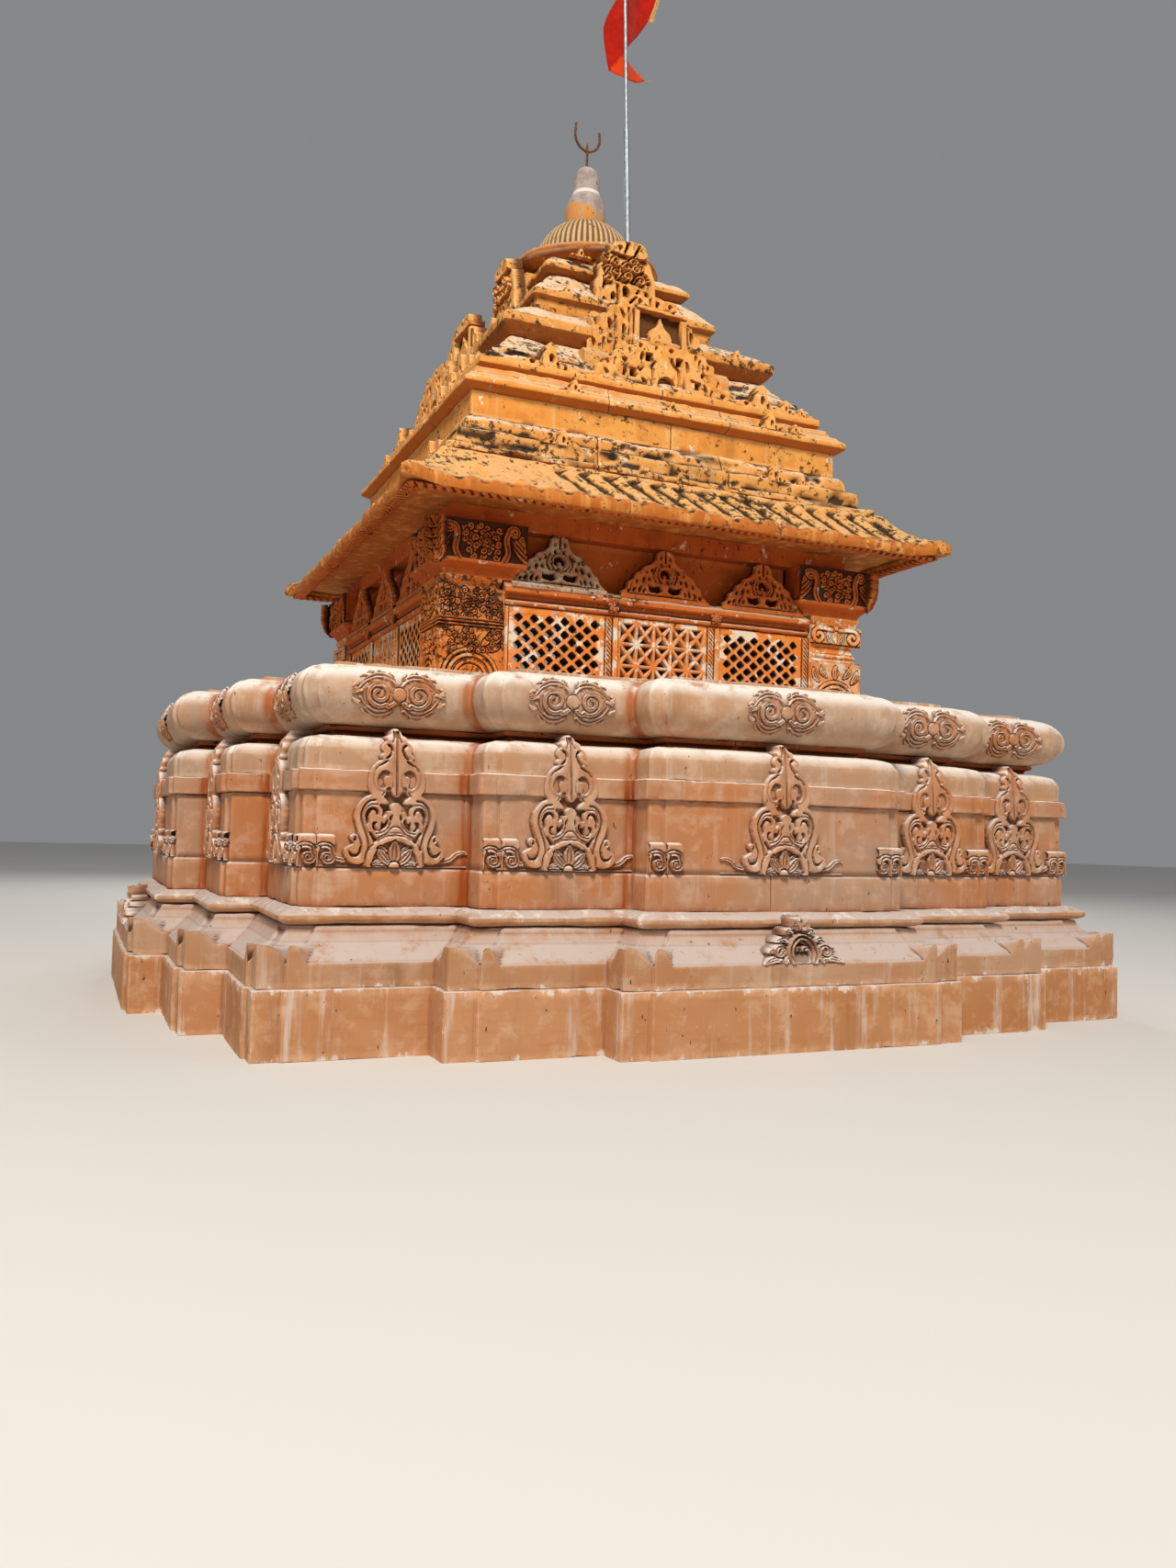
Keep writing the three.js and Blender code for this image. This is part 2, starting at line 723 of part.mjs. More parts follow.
function buildRoof() {
  const roof = new THREE.Group();
  roof.position.x = ROOF_SHIFT;
  temple.add(roof);
  const skirt = slottedCourse(SKIRT_PROFILE, slotFor(LOWER_GABLE, LOWER_SLOT_BACK));
  const lowerTier = slottedCourse(LOWER_TIER_PROFILE, slotFor(MIDDLE_GABLE, LOWER_SLOT_BACK));
  const middleTier = slottedCourse(MIDDLE_TIER_PROFILE, slotFor(UPPER_GABLE, UPPER_SLOT_BACK));
  addPiece("eave_slab", squareCourse(EAVE_PROFILE), SAFFRON_STONE, roof);
  addPiece("bedding_slabs", squareCourse(BEDDING_PROFILE), WEATHERED_STONE, roof);
  addPiece("drum", squareCourse(DRUM_PROFILE), SAFFRON_STONE, roof);
  addPiece("lower_cornice", squareCourse(LOWER_CORNICE_PROFILE), SAFFRON_STONE, roof);
  addPiece("upper_cornice", squareCourse(UPPER_CORNICE_PROFILE), SAFFRON_STONE, roof);
  addPiece("roof_skirt", skirt, WEATHERED_STONE, roof);
  addPiece("lower_roof_tier", lowerTier, WEATHERED_STONE, roof);
  addPiece("middle_roof_tier", middleTier, WEATHERED_STONE, roof);
  addPiece("upper_roof_tier", squareCourse(UPPER_TIER_PROFILE), WEATHERED_STONE, roof);
  for (const [name, turns] of SIDES) {
    addPiece("gable_" + name, gableGeometry(), SAFFRON_STONE, sideGroup(turns, roof));
  }
}

// Crown

function tridentGeometry() {
  const prong = (side, tip) =>
    new THREE.CatmullRomCurve3([
      new THREE.Vector3(0, 0, FORK_HEIGHT),
      new THREE.Vector3(side * 0.62 * TRIDENT_REACH, 0, FORK_HEIGHT + 28),
      new THREE.Vector3(side * TRIDENT_REACH, 0, FORK_HEIGHT + 85),
      new THREE.Vector3(side * 0.97 * TRIDENT_REACH, 0, tip),
    ]);
  const circle = new THREE.Shape().absarc(0, 0, TRIDENT_BAR, 0, 2 * Math.PI, false);
  const bent = (path) =>
    new THREE.ExtrudeGeometry(circle, { extrudePath: path, steps: 8, curveSegments: 4, bevelEnabled: false });
  const stem = [
    [0, POT_TOP],
    [TRIDENT_BAR, POT_TOP],
    [TRIDENT_BAR, FORK_HEIGHT + 45],
    [0, FORK_HEIGHT + 70],
  ];
  return joined(lathe(stem, 8), bent(prong(-1, LEFT_TIP)), bent(prong(1, RIGHT_TIP)));
}

// A piece of the leaning pole, moved over by its height above the disc.
function leaned(geometry) {
  const place = geometry.getAttribute("position");
  for (let i = 0; i < place.count; i += 1) {
    place.setX(i, place.getX(i) - POLE_LEAN * (place.getZ(i) - DISC_TOP));
  }
  return geometry.translate(POLE_X, POLE_Y, 0);
}

// The flag hangs behind its pole in soft folds. It is a folded strip in plan, cut to the flag's outline.
function flagGeometry() {
  const spine = new THREE.CatmullRomCurve3(FLAG_FOLDS.map(([x, y]) => new THREE.Vector3(x, y, 0)));
  const face = (side) =>
    [...Array(FLAG_STEPS + 1).keys()].map((step) => {
      const at = spine.getPoint(step / FLAG_STEPS);
      const along = spine.getTangent(step / FLAG_STEPS);
      const out = (side * FLAG_THICK) / 2;
      return new THREE.Vector2(at.x + along.y * out, at.y - along.x * out);
    });
  const heights = FLAG_OUTLINE.map(([, z]) => z);
  const foot = Math.min(...heights) - 10;
  const depth = Math.max(...heights) + 10 - foot;
  const shape = new THREE.Shape([...face(1), ...face(-1).reverse()]);
  const strip = new THREE.ExtrudeGeometry(shape, { depth, bevelEnabled: false, steps: 1 }).translate(0, 0, foot);
  return leaned(fromSolid(toSolid(strip).intersect(toSolid(uprightPlate(FLAG_OUTLINE, -200, 200)))));
}

function poleGeometry() {
  const profile = [
    [0, DISC_TOP],
    [SLEEVE_RADIUS, DISC_TOP],
    [SLEEVE_RADIUS, SLEEVE_TOP],
    [POLE_RADIUS, SLEEVE_TOP + 4],
    [POLE_RADIUS, POLE_TOP - 6],
    [POLE_RADIUS - 4, POLE_TOP],
    [0, POLE_TOP],
  ];
  return leaned(lathe(profile, 12));
}

function buildCrown() {
  addPiece("crown_disc", lathe(DISC_PROFILE), WEATHERED_STONE);
  addPiece("ribbed_bell", lathe(BELL_PROFILE), SAFFRON_STONE);
  addPiece("finial_pot", lathe(POT_PROFILE), CEMENT);
  addPiece("trident", tridentGeometry(), RUSTY_IRON);
  addPiece("flag_pole", poleGeometry(), STEEL);
  addPiece("flag", flagGeometry(), RED_CLOTH);
}

buildPodium();
buildShrine();
buildRoof();
buildCrown();

export default temple;
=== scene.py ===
# %% [markdown]
# # A small carved sandstone temple
# The real object is a stack: a high moulded podium of sandstone blocks, a square shrine with pierced
# stone windows, a wide eave, a pyramid of roof slabs, and a ribbed bell with a pot finial on top.
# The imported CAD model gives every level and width. This script dresses it: most of its courses are
# built again as worn, carved stone at the same place, because a weathered arris or a carved scroll
# can't be painted on. Everything is in metres, +Z is up, and the front is -Y.

# %% The frame
import math

import bpy
import numpy as np
from mathutils import Matrix, Vector, geometry


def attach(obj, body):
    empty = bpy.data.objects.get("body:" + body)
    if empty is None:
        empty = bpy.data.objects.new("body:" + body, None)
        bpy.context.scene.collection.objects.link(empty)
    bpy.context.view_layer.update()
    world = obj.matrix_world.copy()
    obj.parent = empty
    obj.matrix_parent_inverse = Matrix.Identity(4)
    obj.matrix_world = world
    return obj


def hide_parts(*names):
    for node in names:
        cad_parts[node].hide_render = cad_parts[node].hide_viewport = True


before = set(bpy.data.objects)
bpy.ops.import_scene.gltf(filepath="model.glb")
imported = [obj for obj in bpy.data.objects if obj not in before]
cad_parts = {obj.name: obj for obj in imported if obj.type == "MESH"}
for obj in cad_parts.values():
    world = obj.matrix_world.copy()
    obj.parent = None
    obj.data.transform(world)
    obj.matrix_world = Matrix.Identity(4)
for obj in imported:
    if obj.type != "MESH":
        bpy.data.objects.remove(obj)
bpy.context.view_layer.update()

# %% [markdown]
# ## Camera
# The photograph was taken from the ground, a little left of the front, with a wide lens. Its place
# and turn were worked out from the corners of the podium's lowest course, whose sizes are known.
# A camera in Blender looks along its own -Z, so its matrix is built from three directions.

# %% Camera
CAMERA_PLACE = (-3.14, -7.447, 0.963)
CAMERA_YAW, CAMERA_PITCH, CAMERA_ROLL = 0.4134, 0.0454, 0.0249
FOCAL_PIXELS, PHOTO_HEIGHT = 1282, 1707
SENSOR = 36


def camera_turn(yaw, pitch, roll):
    """The camera's right, up and backward directions as the columns of a matrix."""
    ahead = np.array([math.sin(yaw) * math.cos(pitch), math.cos(yaw) * math.cos(pitch), math.sin(pitch)])
    level_right = np.array([math.cos(yaw), -math.sin(yaw), 0])
    level_up = np.cross(level_right, ahead)
    right = math.cos(roll) * level_right + math.sin(roll) * level_up
    up = math.cos(roll) * level_up - math.sin(roll) * level_right
    return Matrix(np.column_stack([right, up, -ahead]).tolist())


camera_data = bpy.data.cameras.new("photo_camera")
camera_data.sensor_width = SENSOR
camera_data.lens = SENSOR * FOCAL_PIXELS / PHOTO_HEIGHT
camera = bpy.data.objects.new("photo_camera", camera_data)
turn = camera_turn(CAMERA_YAW, CAMERA_PITCH, CAMERA_ROLL)
camera.matrix_world = Matrix.Translation(CAMERA_PLACE) @ turn.to_4x4()
bpy.context.collection.objects.link(camera)
bpy.context.scene.camera = camera
print("lens", round(camera_data.lens, 2), "mm")

# %% [markdown]
# ## Light and floor
# A plain pale floor and three large soft lamps, as in a studio: a warm key high in front, a little to
# the left, so that the eave shades the frieze and each moulding the face below it, a weaker fill from
# the right, and a pale sky all round. Large lamps keep the shadows soft. The photograph's colours are
# strong, so the plain view is used, which shows a colour as it is, where Blender's own one pales it.

# %% Light and floor
FLOOR_HALF_SIZE = 60
KEY_WATTS, FILL_WATTS, BACK_WATTS = 3100, 220, 900
SKY_STRENGTH = 0.27
bpy.context.scene.view_settings.view_transform = "Standard"


def soft_lamp(name, place, target, size, watts, colour):
    """A square area lamp that faces a point."""
    data = bpy.data.lights.new(name, "AREA")
    data.shape, data.size, data.energy, data.color = "SQUARE", size, watts, colour
    lamp = bpy.data.objects.new(name, data)
    ahead = np.array(target, float) - np.array(place, float)
    yaw = math.atan2(ahead[0], ahead[1])
    pitch = math.atan2(ahead[2], math.hypot(ahead[0], ahead[1]))
    lamp.matrix_world = Matrix.Translation(place) @ camera_turn(yaw, pitch, 0).to_4x4()
    bpy.context.collection.objects.link(lamp)
    return lamp


soft_lamp("key_lamp", (-6.5, -12, 14), (0, 0, 2), 4, KEY_WATTS, (1, 0.95, 0.87))
soft_lamp("fill_lamp", (11, -9, 6), (0, 0, 2), 8, FILL_WATTS, (0.94, 0.97, 1))
soft_lamp("back_lamp", (4, 13, 9), (0, 0, 3), 8, BACK_WATTS, (1, 0.98, 0.95))
floor_mesh = bpy.data.meshes.new("floor")
edge = FLOOR_HALF_SIZE
floor_corners = [(-edge, -edge, 0), (edge, -edge, 0), (edge, edge, 0), (-edge, edge, 0)]
floor_mesh.from_pydata(floor_corners, [], [(0, 1, 2, 3)])
floor = bpy.data.objects.new("floor", floor_mesh)
bpy.context.collection.objects.link(floor)
print("lamps:", KEY_WATTS, FILL_WATTS, BACK_WATTS, "W")

# %% [markdown]
# ## Colour and nodes
# Colours are given as sRGB hex values, while Blender's shaders work with linear light, so
# one function turns the one into the other. A second small function adds a node, sets it and links
# its inputs. Every material below is made with these two.

# %% Colour and node helpers
def linear(hex_colour):
    """An sRGB hex colour as linear RGBA."""
    channels = [int(hex_colour[i : i + 2], 16) / 255 for i in (1, 3, 5)]
    return [c / 12.92 if c <= 0.04045 else ((c + 0.055) / 1.055) ** 2.4 for c in channels] + [1]


def add_node(tree, kind, settings=None, inputs=None):
    """Adds a node. An input's value is a plain value to set, or another node's output to link."""
    node = tree.nodes.new(kind)
    for key, value in (settings or {}).items():
        setattr(node, key, value)
    for key, value in (inputs or {}).items():
        if isinstance(value, bpy.types.NodeSocket):
            tree.links.new(value, node.inputs[key])
        else:
            node.inputs[key].default_value = value
    return node


def new_material(name):
    """An empty node material and its tree."""
    material = bpy.data.materials.new(name)
    material.use_nodes = True
    material.node_tree.nodes.clear()
    return material, material.node_tree


SKY = bpy.data.worlds.new("sky")
SKY.use_nodes = True
SKY.node_tree.nodes["Background"].inputs["Color"].default_value = linear("#f1f4f8")
SKY.node_tree.nodes["Background"].inputs["Strength"].default_value = SKY_STRENGTH
bpy.context.scene.world = SKY
floor_finish, tree = new_material("pale_studio_floor")
floor_look = {"Base Color": linear("#d9d6d1"), "Roughness": 0.9}
floor_colour = add_node(tree, "ShaderNodeBsdfPrincipled", None, floor_look)
add_node(tree, "ShaderNodeOutputMaterial", None, {"Surface": floor_colour.outputs[0]})
floor_mesh.materials.append(floor_finish)
print("floor colour in linear light:", [round(v, 3) for v in linear("#d9d6d1")[:3]])

# %% [markdown]
# ## Weathered stone
# The temple is one red sandstone with different histories: rubbed and dusty on the podium, painted
# with saffron limewash on the shrine, and black with lichen on the roof. All have the same layers,
# from the stone outwards: a body that changes slowly over a block and faster within it, sand grains
# of about 2 mm, flakes of old limewash, runs of lime and soot that follow the rain down, dust on what
# faces up, a deeper orange on what faces down that is partly unbleached paint and partly painted
# shade, lichen, rust where iron cramps weep, and a dark colour in the hollows of the carving that is
# partly dirt and partly painted shade. The layers are masks of noise whose scales come from real
# sizes, such as 0.9 m for a block or 45 mm for a patch of lichen. Where a hollow, a rusty corner or a
# rubbed edge is can't come from noise, so each mesh carries that as a colour attribute of stains,
# painted light and painted shade: red for hollows, green for rust and blue for rubbed edges.

# %% Stone finish
STAINS_LIGHT_AND_SHADE = "stains_light_and_shade"
GRAIN = 0.004  # the 2 mm sand grain drawn twice as coarse, so that it shows
LIME_SPLASH, DARK_FLECK = "#e2d9d0", "#2a2019"
SANDSTONE_IOR = 1.5


def stone_finish(
    name,
    body,
    patch,
    dust=("#cfc6c0", 0.6),
    drips=("#d8d0c6", 0.3),
    soot=("#3a2416", 0.3),
    lichen=("#17120f", 0.0),
    peel=("#e6dac6", 0.0),
    rust=("#c05a1a", 0.9),
    hollow=("#4a2a16", 0.8),
    edge=("#e3b48c", 0.35),
    underside_paint_and_shade=("#a0480e", 0.0),
    lime=0.0,
    roughness=0.9,
    bump=0.004,
    seed=0.0,
):
    """A weathered stone. Each layer is a colour and how much of it there is, from 0 to 1."""
    material, tree = new_material(name)
    place = add_node(tree, "ShaderNodeNewGeometry")
    position, normal = place.outputs["Position"], place.outputs["Normal"]
    start = (seed, seed * 1.7, seed * 0.6)
    moved = add_node(tree, "ShaderNodeMapping", None, {"Vector": position, "Location": start}).outputs[0]
    fine = {"Detail": 6.0, "Roughness": 0.65}

    def spots(size, stretch=(1, 1, 1), turn=(0, 0, 0), **more):
        """A pattern with spots of a size in metres, drawn out along an axis where stretch is small."""
        mapped = add_node(
            tree, "ShaderNodeMapping", None, {"Vector": moved, "Scale": stretch, "Rotation": turn},
        )
        settings = {**fine, **more, "Scale": 1 / size, "Vector": mapped.outputs[0]}
        return add_node(tree, "ShaderNodeTexNoise", None, settings).outputs[0]

    def coat(below, colour, *where):
        """Lays a colour over what is below. Each of where is (value, low, high, amount), and it covers more
        as the value climbs from low to high. Where there are two, the coat lies where both say so."""
        covers = []
        for value, low, high, amount in where:
            levels = {"Value": value, "From Min": low, "From Max": high, "To Min": 0.0, "To Max": amount}
            climb = add_node(tree, "ShaderNodeMapRange", {"interpolation_type": "SMOOTHSTEP"}, levels)
            covers.append(climb.outputs[0])
        if len(covers) > 1:
            product = add_node(tree, "ShaderNodeMath", {"operation": "MULTIPLY"}, dict(enumerate(covers)))
            covers = product.outputs
        sockets = {0: covers[0], 6: below, 7: linear(colour)}
        return add_node(tree, "ShaderNodeMix", {"data_type": "RGBA"}, sockets).outputs[2]

    block = spots(0.9, Detail=3.0)
    mottle = spots(0.11)
    grain = spots(GRAIN, Detail=2.0)
    beds = spots(0.05, (0.25, 0.25, 1.6), (0.05, 0.03, 0))
    down = spots(0.07, (1, 1, 0.07))
    down_wide = spots(0.2, (1, 1, 0.09))
    stains_light_and_shade = add_node(tree, "ShaderNodeAttribute", {"attribute_name": STAINS_LIGHT_AND_SHADE}).outputs["Color"]
    in_hollow, rusty, rubbed = add_node(tree, "ShaderNodeSeparateColor", None, {0: stains_light_and_shade}).outputs
    up = add_node(tree, "ShaderNodeSeparateXYZ", None, {0: normal}).outputs["Z"]
    rained_on = (up, -0.8, -0.35, 1.0)

    colour = coat(linear(body[0]), body[1], (block, 0.35, 0.65, 1.0))
    colour = coat(colour, patch[0], (mottle, 0.48, 0.66, patch[1]))
    colour = coat(colour, body[0], (beds, 0.5, 0.7, 0.4))
    colour = coat(colour, edge[0], (mottle, 0.3, 0.6, 1.0), (rubbed, 0.1, 0.7, edge[1]))
    if peel[1]:
        flake = spots(0.085, Detail=8.0, Roughness=0.68)
        colour = coat(colour, peel[0], (flake, 0.66 - 0.25 * peel[1], 0.68 - 0.25 * peel[1], 0.9))
    if drips[1]:
        colour = coat(colour, drips[0], rained_on, (down, 0.53, 0.72, drips[1]))
    if soot[1]:
        colour = coat(colour, soot[0], rained_on, (down_wide, 0.54, 0.74, soot[1]))
    if dust[1]:
        colour = coat(colour, dust[0], (up, 0.25, 0.8, dust[1]), (mottle, 0.25, 0.5, 1.0))
    # Faces that look down get a deeper orange: partly unbleached paint, partly painted shade.
    if underside_paint_and_shade[1]:
        colour = coat(colour, underside_paint_and_shade[0], (up, 0.0, -0.45, underside_paint_and_shade[1]))
    if lichen[1]:
        spot = {0: block, 1: 0.35, 2: spots(0.045, Detail=9.0, Roughness=0.74)}
        where = add_node(tree, "ShaderNodeMath", {"operation": "MULTIPLY_ADD"}, spot).outputs[0]
        low = 0.83 - 0.25 * lichen[1]
        colour = coat(colour, lichen[0], rained_on, (where, low, low + 0.045, 0.9))
    if rust[1]:
        colour = coat(colour, rust[0], (rusty, 0.12, 0.75, rust[1]), (down, 0.3, 0.55, 1.0))
    # Hollows and creases get a dark colour: partly dirt, partly painted shade.
    colour = coat(colour, hollow[0], (in_hollow, 0.1, 0.75, hollow[1]))
    if lime:
        splash = {0: rubbed, 1: 0.16, 2: spots(0.07, (1, 1, 0.5), Detail=9.0, Roughness=0.7)}
        where = add_node(tree, "ShaderNodeMath", {"operation": "MULTIPLY_ADD"}, splash).outputs[0]
        colour = coat(colour, LIME_SPLASH, (where, 0.72 - 0.12 * lime, 0.8 - 0.12 * lime, 0.7))
    fleck = spots(0.026, (1, 1, 0.4), (0.5, 0.4, 0), Detail=3.0)
    colour = coat(colour, DARK_FLECK, (fleck, 0.685, 0.72, 0.85))

    uneven = {0: grain, 1: 0.35, 2: mottle}
    relief = add_node(tree, "ShaderNodeMath", {"operation": "MULTIPLY_ADD"}, uneven).outputs[0]
    rough = add_node(tree, "ShaderNodeBump", None, {"Strength": 0.55, "Distance": bump, "Height": relief})
    look = {"Base Color": colour, "Roughness": roughness, "Normal": rough.outputs[0]}
    look.update({"IOR": SANDSTONE_IOR, "Specular IOR Level": 0.3})
    surface = add_node(tree, "ShaderNodeBsdfPrincipled", None, look)
    add_node(tree, "ShaderNodeOutputMaterial", None, {"Surface": surface.outputs[0]})
    return material


# %% [markdown]
# The podium's sandstone is tooled flat and rubbed by hands, so it stays pinkish brown with pale
# edges. Its sloping and flat tops gather grey dust, and lime runs down from the joints. Dry sandstone
# is rough, about 0.9, and its IOR is that of quartz, near 1.5.

# %% Podium stones
rubbed_sandstone = stone_finish(
    "rubbed_sandstone", ("#b87647", "#ae8a70"), ("#cca68a", 0.5), dust=("#e6dcd2", 0.9),
    drips=("#dccbbb", 0.22), soot=("#7c4a2b", 0.4), rust=("#96460c", 0.95), hollow=("#5a3018", 0.7),
    edge=("#d0a080", 0.3),
)
roll_sandstone = stone_finish(
    "roll_sandstone", ("#b78863", "#ae9078"), ("#cdb098", 0.5), dust=("#ece4da", 0.9),
    drips=("#dccfc2", 0.35), soot=("#8a6248", 0.35), rust=("#a8561a", 0.8), hollow=("#5a3018", 0.7),
    edge=("#d8bca4", 0.35), seed=2.0,
)
dusty_sandstone = stone_finish(
    "dusty_sandstone", ("#b07a50", "#b88f70"), ("#c4a78f", 0.5), dust=("#c3b3ab", 0.92),
    drips=("#dccfc6", 0.3), soot=("#7b5238", 0.45), rust=("#934a16", 0.8), lime=0.25, seed=3.0,
)
base_sandstone = stone_finish(
    "base_course_sandstone", ("#b27748", "#c08a60"), ("#d3ab8a", 0.5), drips=("#dcd4ca", 0.6),
    soot=("#86583a", 0.4), rust=("#934a16", 0.8), lime=0.55, seed=5.0,
)

# %% [markdown]
# The shrine was painted saffron, coat over coat. Sun and rain have bleached the roof's paint towards
# yellow and let black lichen in, while under the eave it is still a deep orange. Faces that look down
# get a deeper orange too, which is partly unbleached paint and partly painted shade. On the windows the
# paint flakes and shows an older cream limewash. Limewash is matt, so the roughness stays high. No iron
# weeps on the windows and the frieze, so their rust layer is the white limewash of the room's inside.

# %% Painted and weathered stones
bleached_saffron = stone_finish(
    "bleached_saffron", ("#dc8d3a", "#e3a04e"), ("#c87228", 0.5), dust=("#e2c8a4", 0.5),
    drips=("#ecca98", 0.3), soot=("#6b3814", 0.42), lichen=("#1e1610", 0.3), peel=("#ecdcc0", 0.12),
    hollow=("#41200c", 0.9), edge=("#f0bd78", 0.5), underside_paint_and_shade=("#a85212", 0.8), roughness=0.85, seed=7.0,
)
sheltered_saffron = stone_finish(
    "sheltered_saffron", ("#c4601c", "#b85216"), ("#963f10", 0.45), dust=("#cfa67c", 0.35),
    drips=("#d88a4c", 0.2), soot=("#4a1f0c", 0.4), lichen=("#1a120d", 0.2), peel=("#d8c4a4", 0.16),
    rust=("#ece4d6", 0.95), hollow=("#260f06", 0.92), edge=("#dc8038", 0.5), roughness=0.85, seed=8.0,
)
ledge_limewash = stone_finish(
    "ledge_limewash", ("#cc641c", "#bc5818"), ("#a04812", 0.45), dust=("#dcc8ac", 0.7),
    drips=("#d88a4c", 0.15), soot=("#4a1f0c", 0.3), lichen=("#1a120d", 0.25), peel=("#e0cdb0", 0.26),
    hollow=("#2c1408", 0.9), edge=("#dc8a48", 0.4), seed=9.5,
)
peeling_limewash = stone_finish(
    "peeling_limewash", ("#e07c28", "#e88c38"), ("#e0a468", 0.5), dust=("#dcc8ac", 0.3),
    soot=("#6b3814", 0.25), lichen=("#1c1613", 0.25), peel=("#ecdcc4", 0.48), rust=("#ece4d6", 0.95),
    hollow=("#351a0c", 0.9), edge=("#f0c898", 0.5), roughness=0.88, seed=9.0,
)
lichen_limewash = stone_finish(
    "lichen_limewash", ("#dc9a4c", "#d48c42"), ("#c07c3c", 0.4), dust=("#e2ccb0", 0.8),
    drips=("#e4cba4", 0.3), soot=("#3a2413", 0.4), lichen=("#17110d", 0.48), peel=("#e0cfb2", 0.2),
    hollow=("#1e120a", 0.92), edge=("#e6ad66", 0.55), underside_paint_and_shade=("#8c420e", 0.85), seed=11.0,
)
# The eave's rust layer gives its lip and underside a deeper orange: unbleached paint, and on the underside
# also painted shade.
eave_limewash = stone_finish(
    "eave_limewash", ("#d88e42", "#e0a054"), ("#c07c3c", 0.4), dust=("#dcb886", 0.5),
    drips=("#e4cba4", 0.2), soot=("#3a2413", 0.45), lichen=("#17110d", 0.46), rust=("#b4601c", 0.9),
    hollow=("#1e120a", 0.92), edge=("#e2a45c", 0.5), seed=10.0,
)
scorched_saffron = stone_finish(
    "scorched_saffron", ("#dc7820", "#c4621c"), ("#84482a", 0.5), dust=("#c8a07c", 0.4),
    drips=("#d8a878", 0.3), soot=("#3c2018", 0.35), lichen=("#2a1812", 0.48), peel=("#d0b090", 0.3),
    hollow=("#1e100c", 0.95), edge=("#ee9440", 0.6), seed=12.0,
)
flaked_limewash = stone_finish(
    "flaked_limewash", ("#b0784a", "#a86a3c"), ("#8a5a38", 0.5), soot=("#4a2c1a", 0.5),
    lichen=("#1c1410", 0.3), peel=("#c8ac88", 0.38), hollow=("#22120a", 0.95), edge=("#ccb498", 0.45),
    seed=14.0,
)
shaded_stone = stone_finish(
    "shaded_roof_stone", ("#a04a18", "#8c3e14"), ("#6c3012", 0.5), dust=("#cfb8a0", 0.75),
    drips=("#b07848", 0.2), soot=("#3a190b", 0.4), lichen=("#1a100b", 0.25), hollow=("#1a0d07", 0.9),
    edge=("#c4783c", 0.5), seed=13.0,
)

# %% [markdown]
# The crown was limed too. Its disc is worn down to the stone at the edge, the bell's ribs are white
# and its grooves orange, and the pot is bare cement that was dipped in paint on one side. On the pot
# the rust layer of the recipe serves for that paint, and the pale hollow layer for a thin painted
# highlight on the neck.

# %% Crown finishes
crown_limewash = stone_finish(
    "crown_limewash", ("#b0601c", "#bc7228"), ("#8e4616", 0.6), dust=("#bb9a6c", 0.5),
    drips=("#c9a070", 0.25), soot=("#4b2814", 0.5), lichen=("#1a130f", 0.35), peel=("#d8c8b4", 0.12),
    hollow=("#6b3a1e", 0.8), edge=("#c9b09a", 0.6), seed=17.0,
)
ribbed_limewash = stone_finish(
    "ribbed_limewash", ("#c6b088", "#b89a66"), ("#bc8844", 0.55), dust=("#b8ab98", 0.3),
    drips=("#cfc5b4", 0.3), soot=("#7a4a2c", 0.35), lichen=("#2a201a", 0.3), hollow=("#7c4718", 0.92),
    edge=("#d2c8b6", 0.6), roughness=0.85, seed=19.0,
)
# The pale hollow colour is a painted highlight on the pot's neck.
dipped_cement = stone_finish(
    "dipped_cement", ("#988880", "#aa9c94"), ("#7c6a60", 0.55), dust=("#c6bdb4", 0.4),
    drips=("#cfc7be", 0.35), soot=("#6e5c50", 0.4), rust=("#cf8634", 0.95), hollow=("#e6ded4", 0.9),
    edge=("#cfc4b8", 0.4), bump=0.002, seed=21.0,
)

# %% [markdown]
# The trident is iron left to rust, so it is rough and shows no metal. The pole is a galvanised tube:
# a metal with a dull zinc skin, rusty at its foot where the sleeve holds it. The flag is thin cotton,
# dyed red, with a little sheen, and its folded tip is painted a paler red, a painted light on the fold.

# %% Iron, zinc and cloth
def streaked(name, dark, light, size, look, bump, painted_light_colour=None):
    """A thin coat whose colour changes between two, in patches of a size. Marked parts get a painted light.
    """
    material, tree = new_material(name)
    position = add_node(tree, "ShaderNodeNewGeometry").outputs["Position"]
    spread = {"Vector": position, "Scale": 1 / size, "Detail": 6.0, "Roughness": 0.65}
    patches = add_node(tree, "ShaderNodeTexNoise", None, spread).outputs[0]
    share = {"Value": patches, "From Min": 0.36, "From Max": 0.64, "To Min": 0.0, "To Max": 1.0}
    sockets = {
        0: add_node(tree, "ShaderNodeMapRange", None, share).outputs[0], 6: linear(dark), 7: linear(light),
    }
    mixed = add_node(tree, "ShaderNodeMix", {"data_type": "RGBA"}, sockets).outputs[2]
    if painted_light_colour:
        stains_light_and_shade = add_node(tree, "ShaderNodeAttribute", {"attribute_name": STAINS_LIGHT_AND_SHADE}).outputs["Color"]
        fold_light = add_node(tree, "ShaderNodeSeparateColor", None, {0: stains_light_and_shade}).outputs[0]
        sockets = {0: fold_light, 6: mixed, 7: linear(painted_light_colour)}
        mixed = add_node(tree, "ShaderNodeMix", {"data_type": "RGBA"}, sockets).outputs[2]
    rough = add_node(tree, "ShaderNodeBump", None, {"Strength": 0.4, "Distance": bump, "Height": patches})
    settings = {"Base Color": mixed, "Normal": rough.outputs[0], **look}
    surface = add_node(tree, "ShaderNodeBsdfPrincipled", None, settings)
    add_node(tree, "ShaderNodeOutputMaterial", None, {"Surface": surface.outputs[0]})
    return material


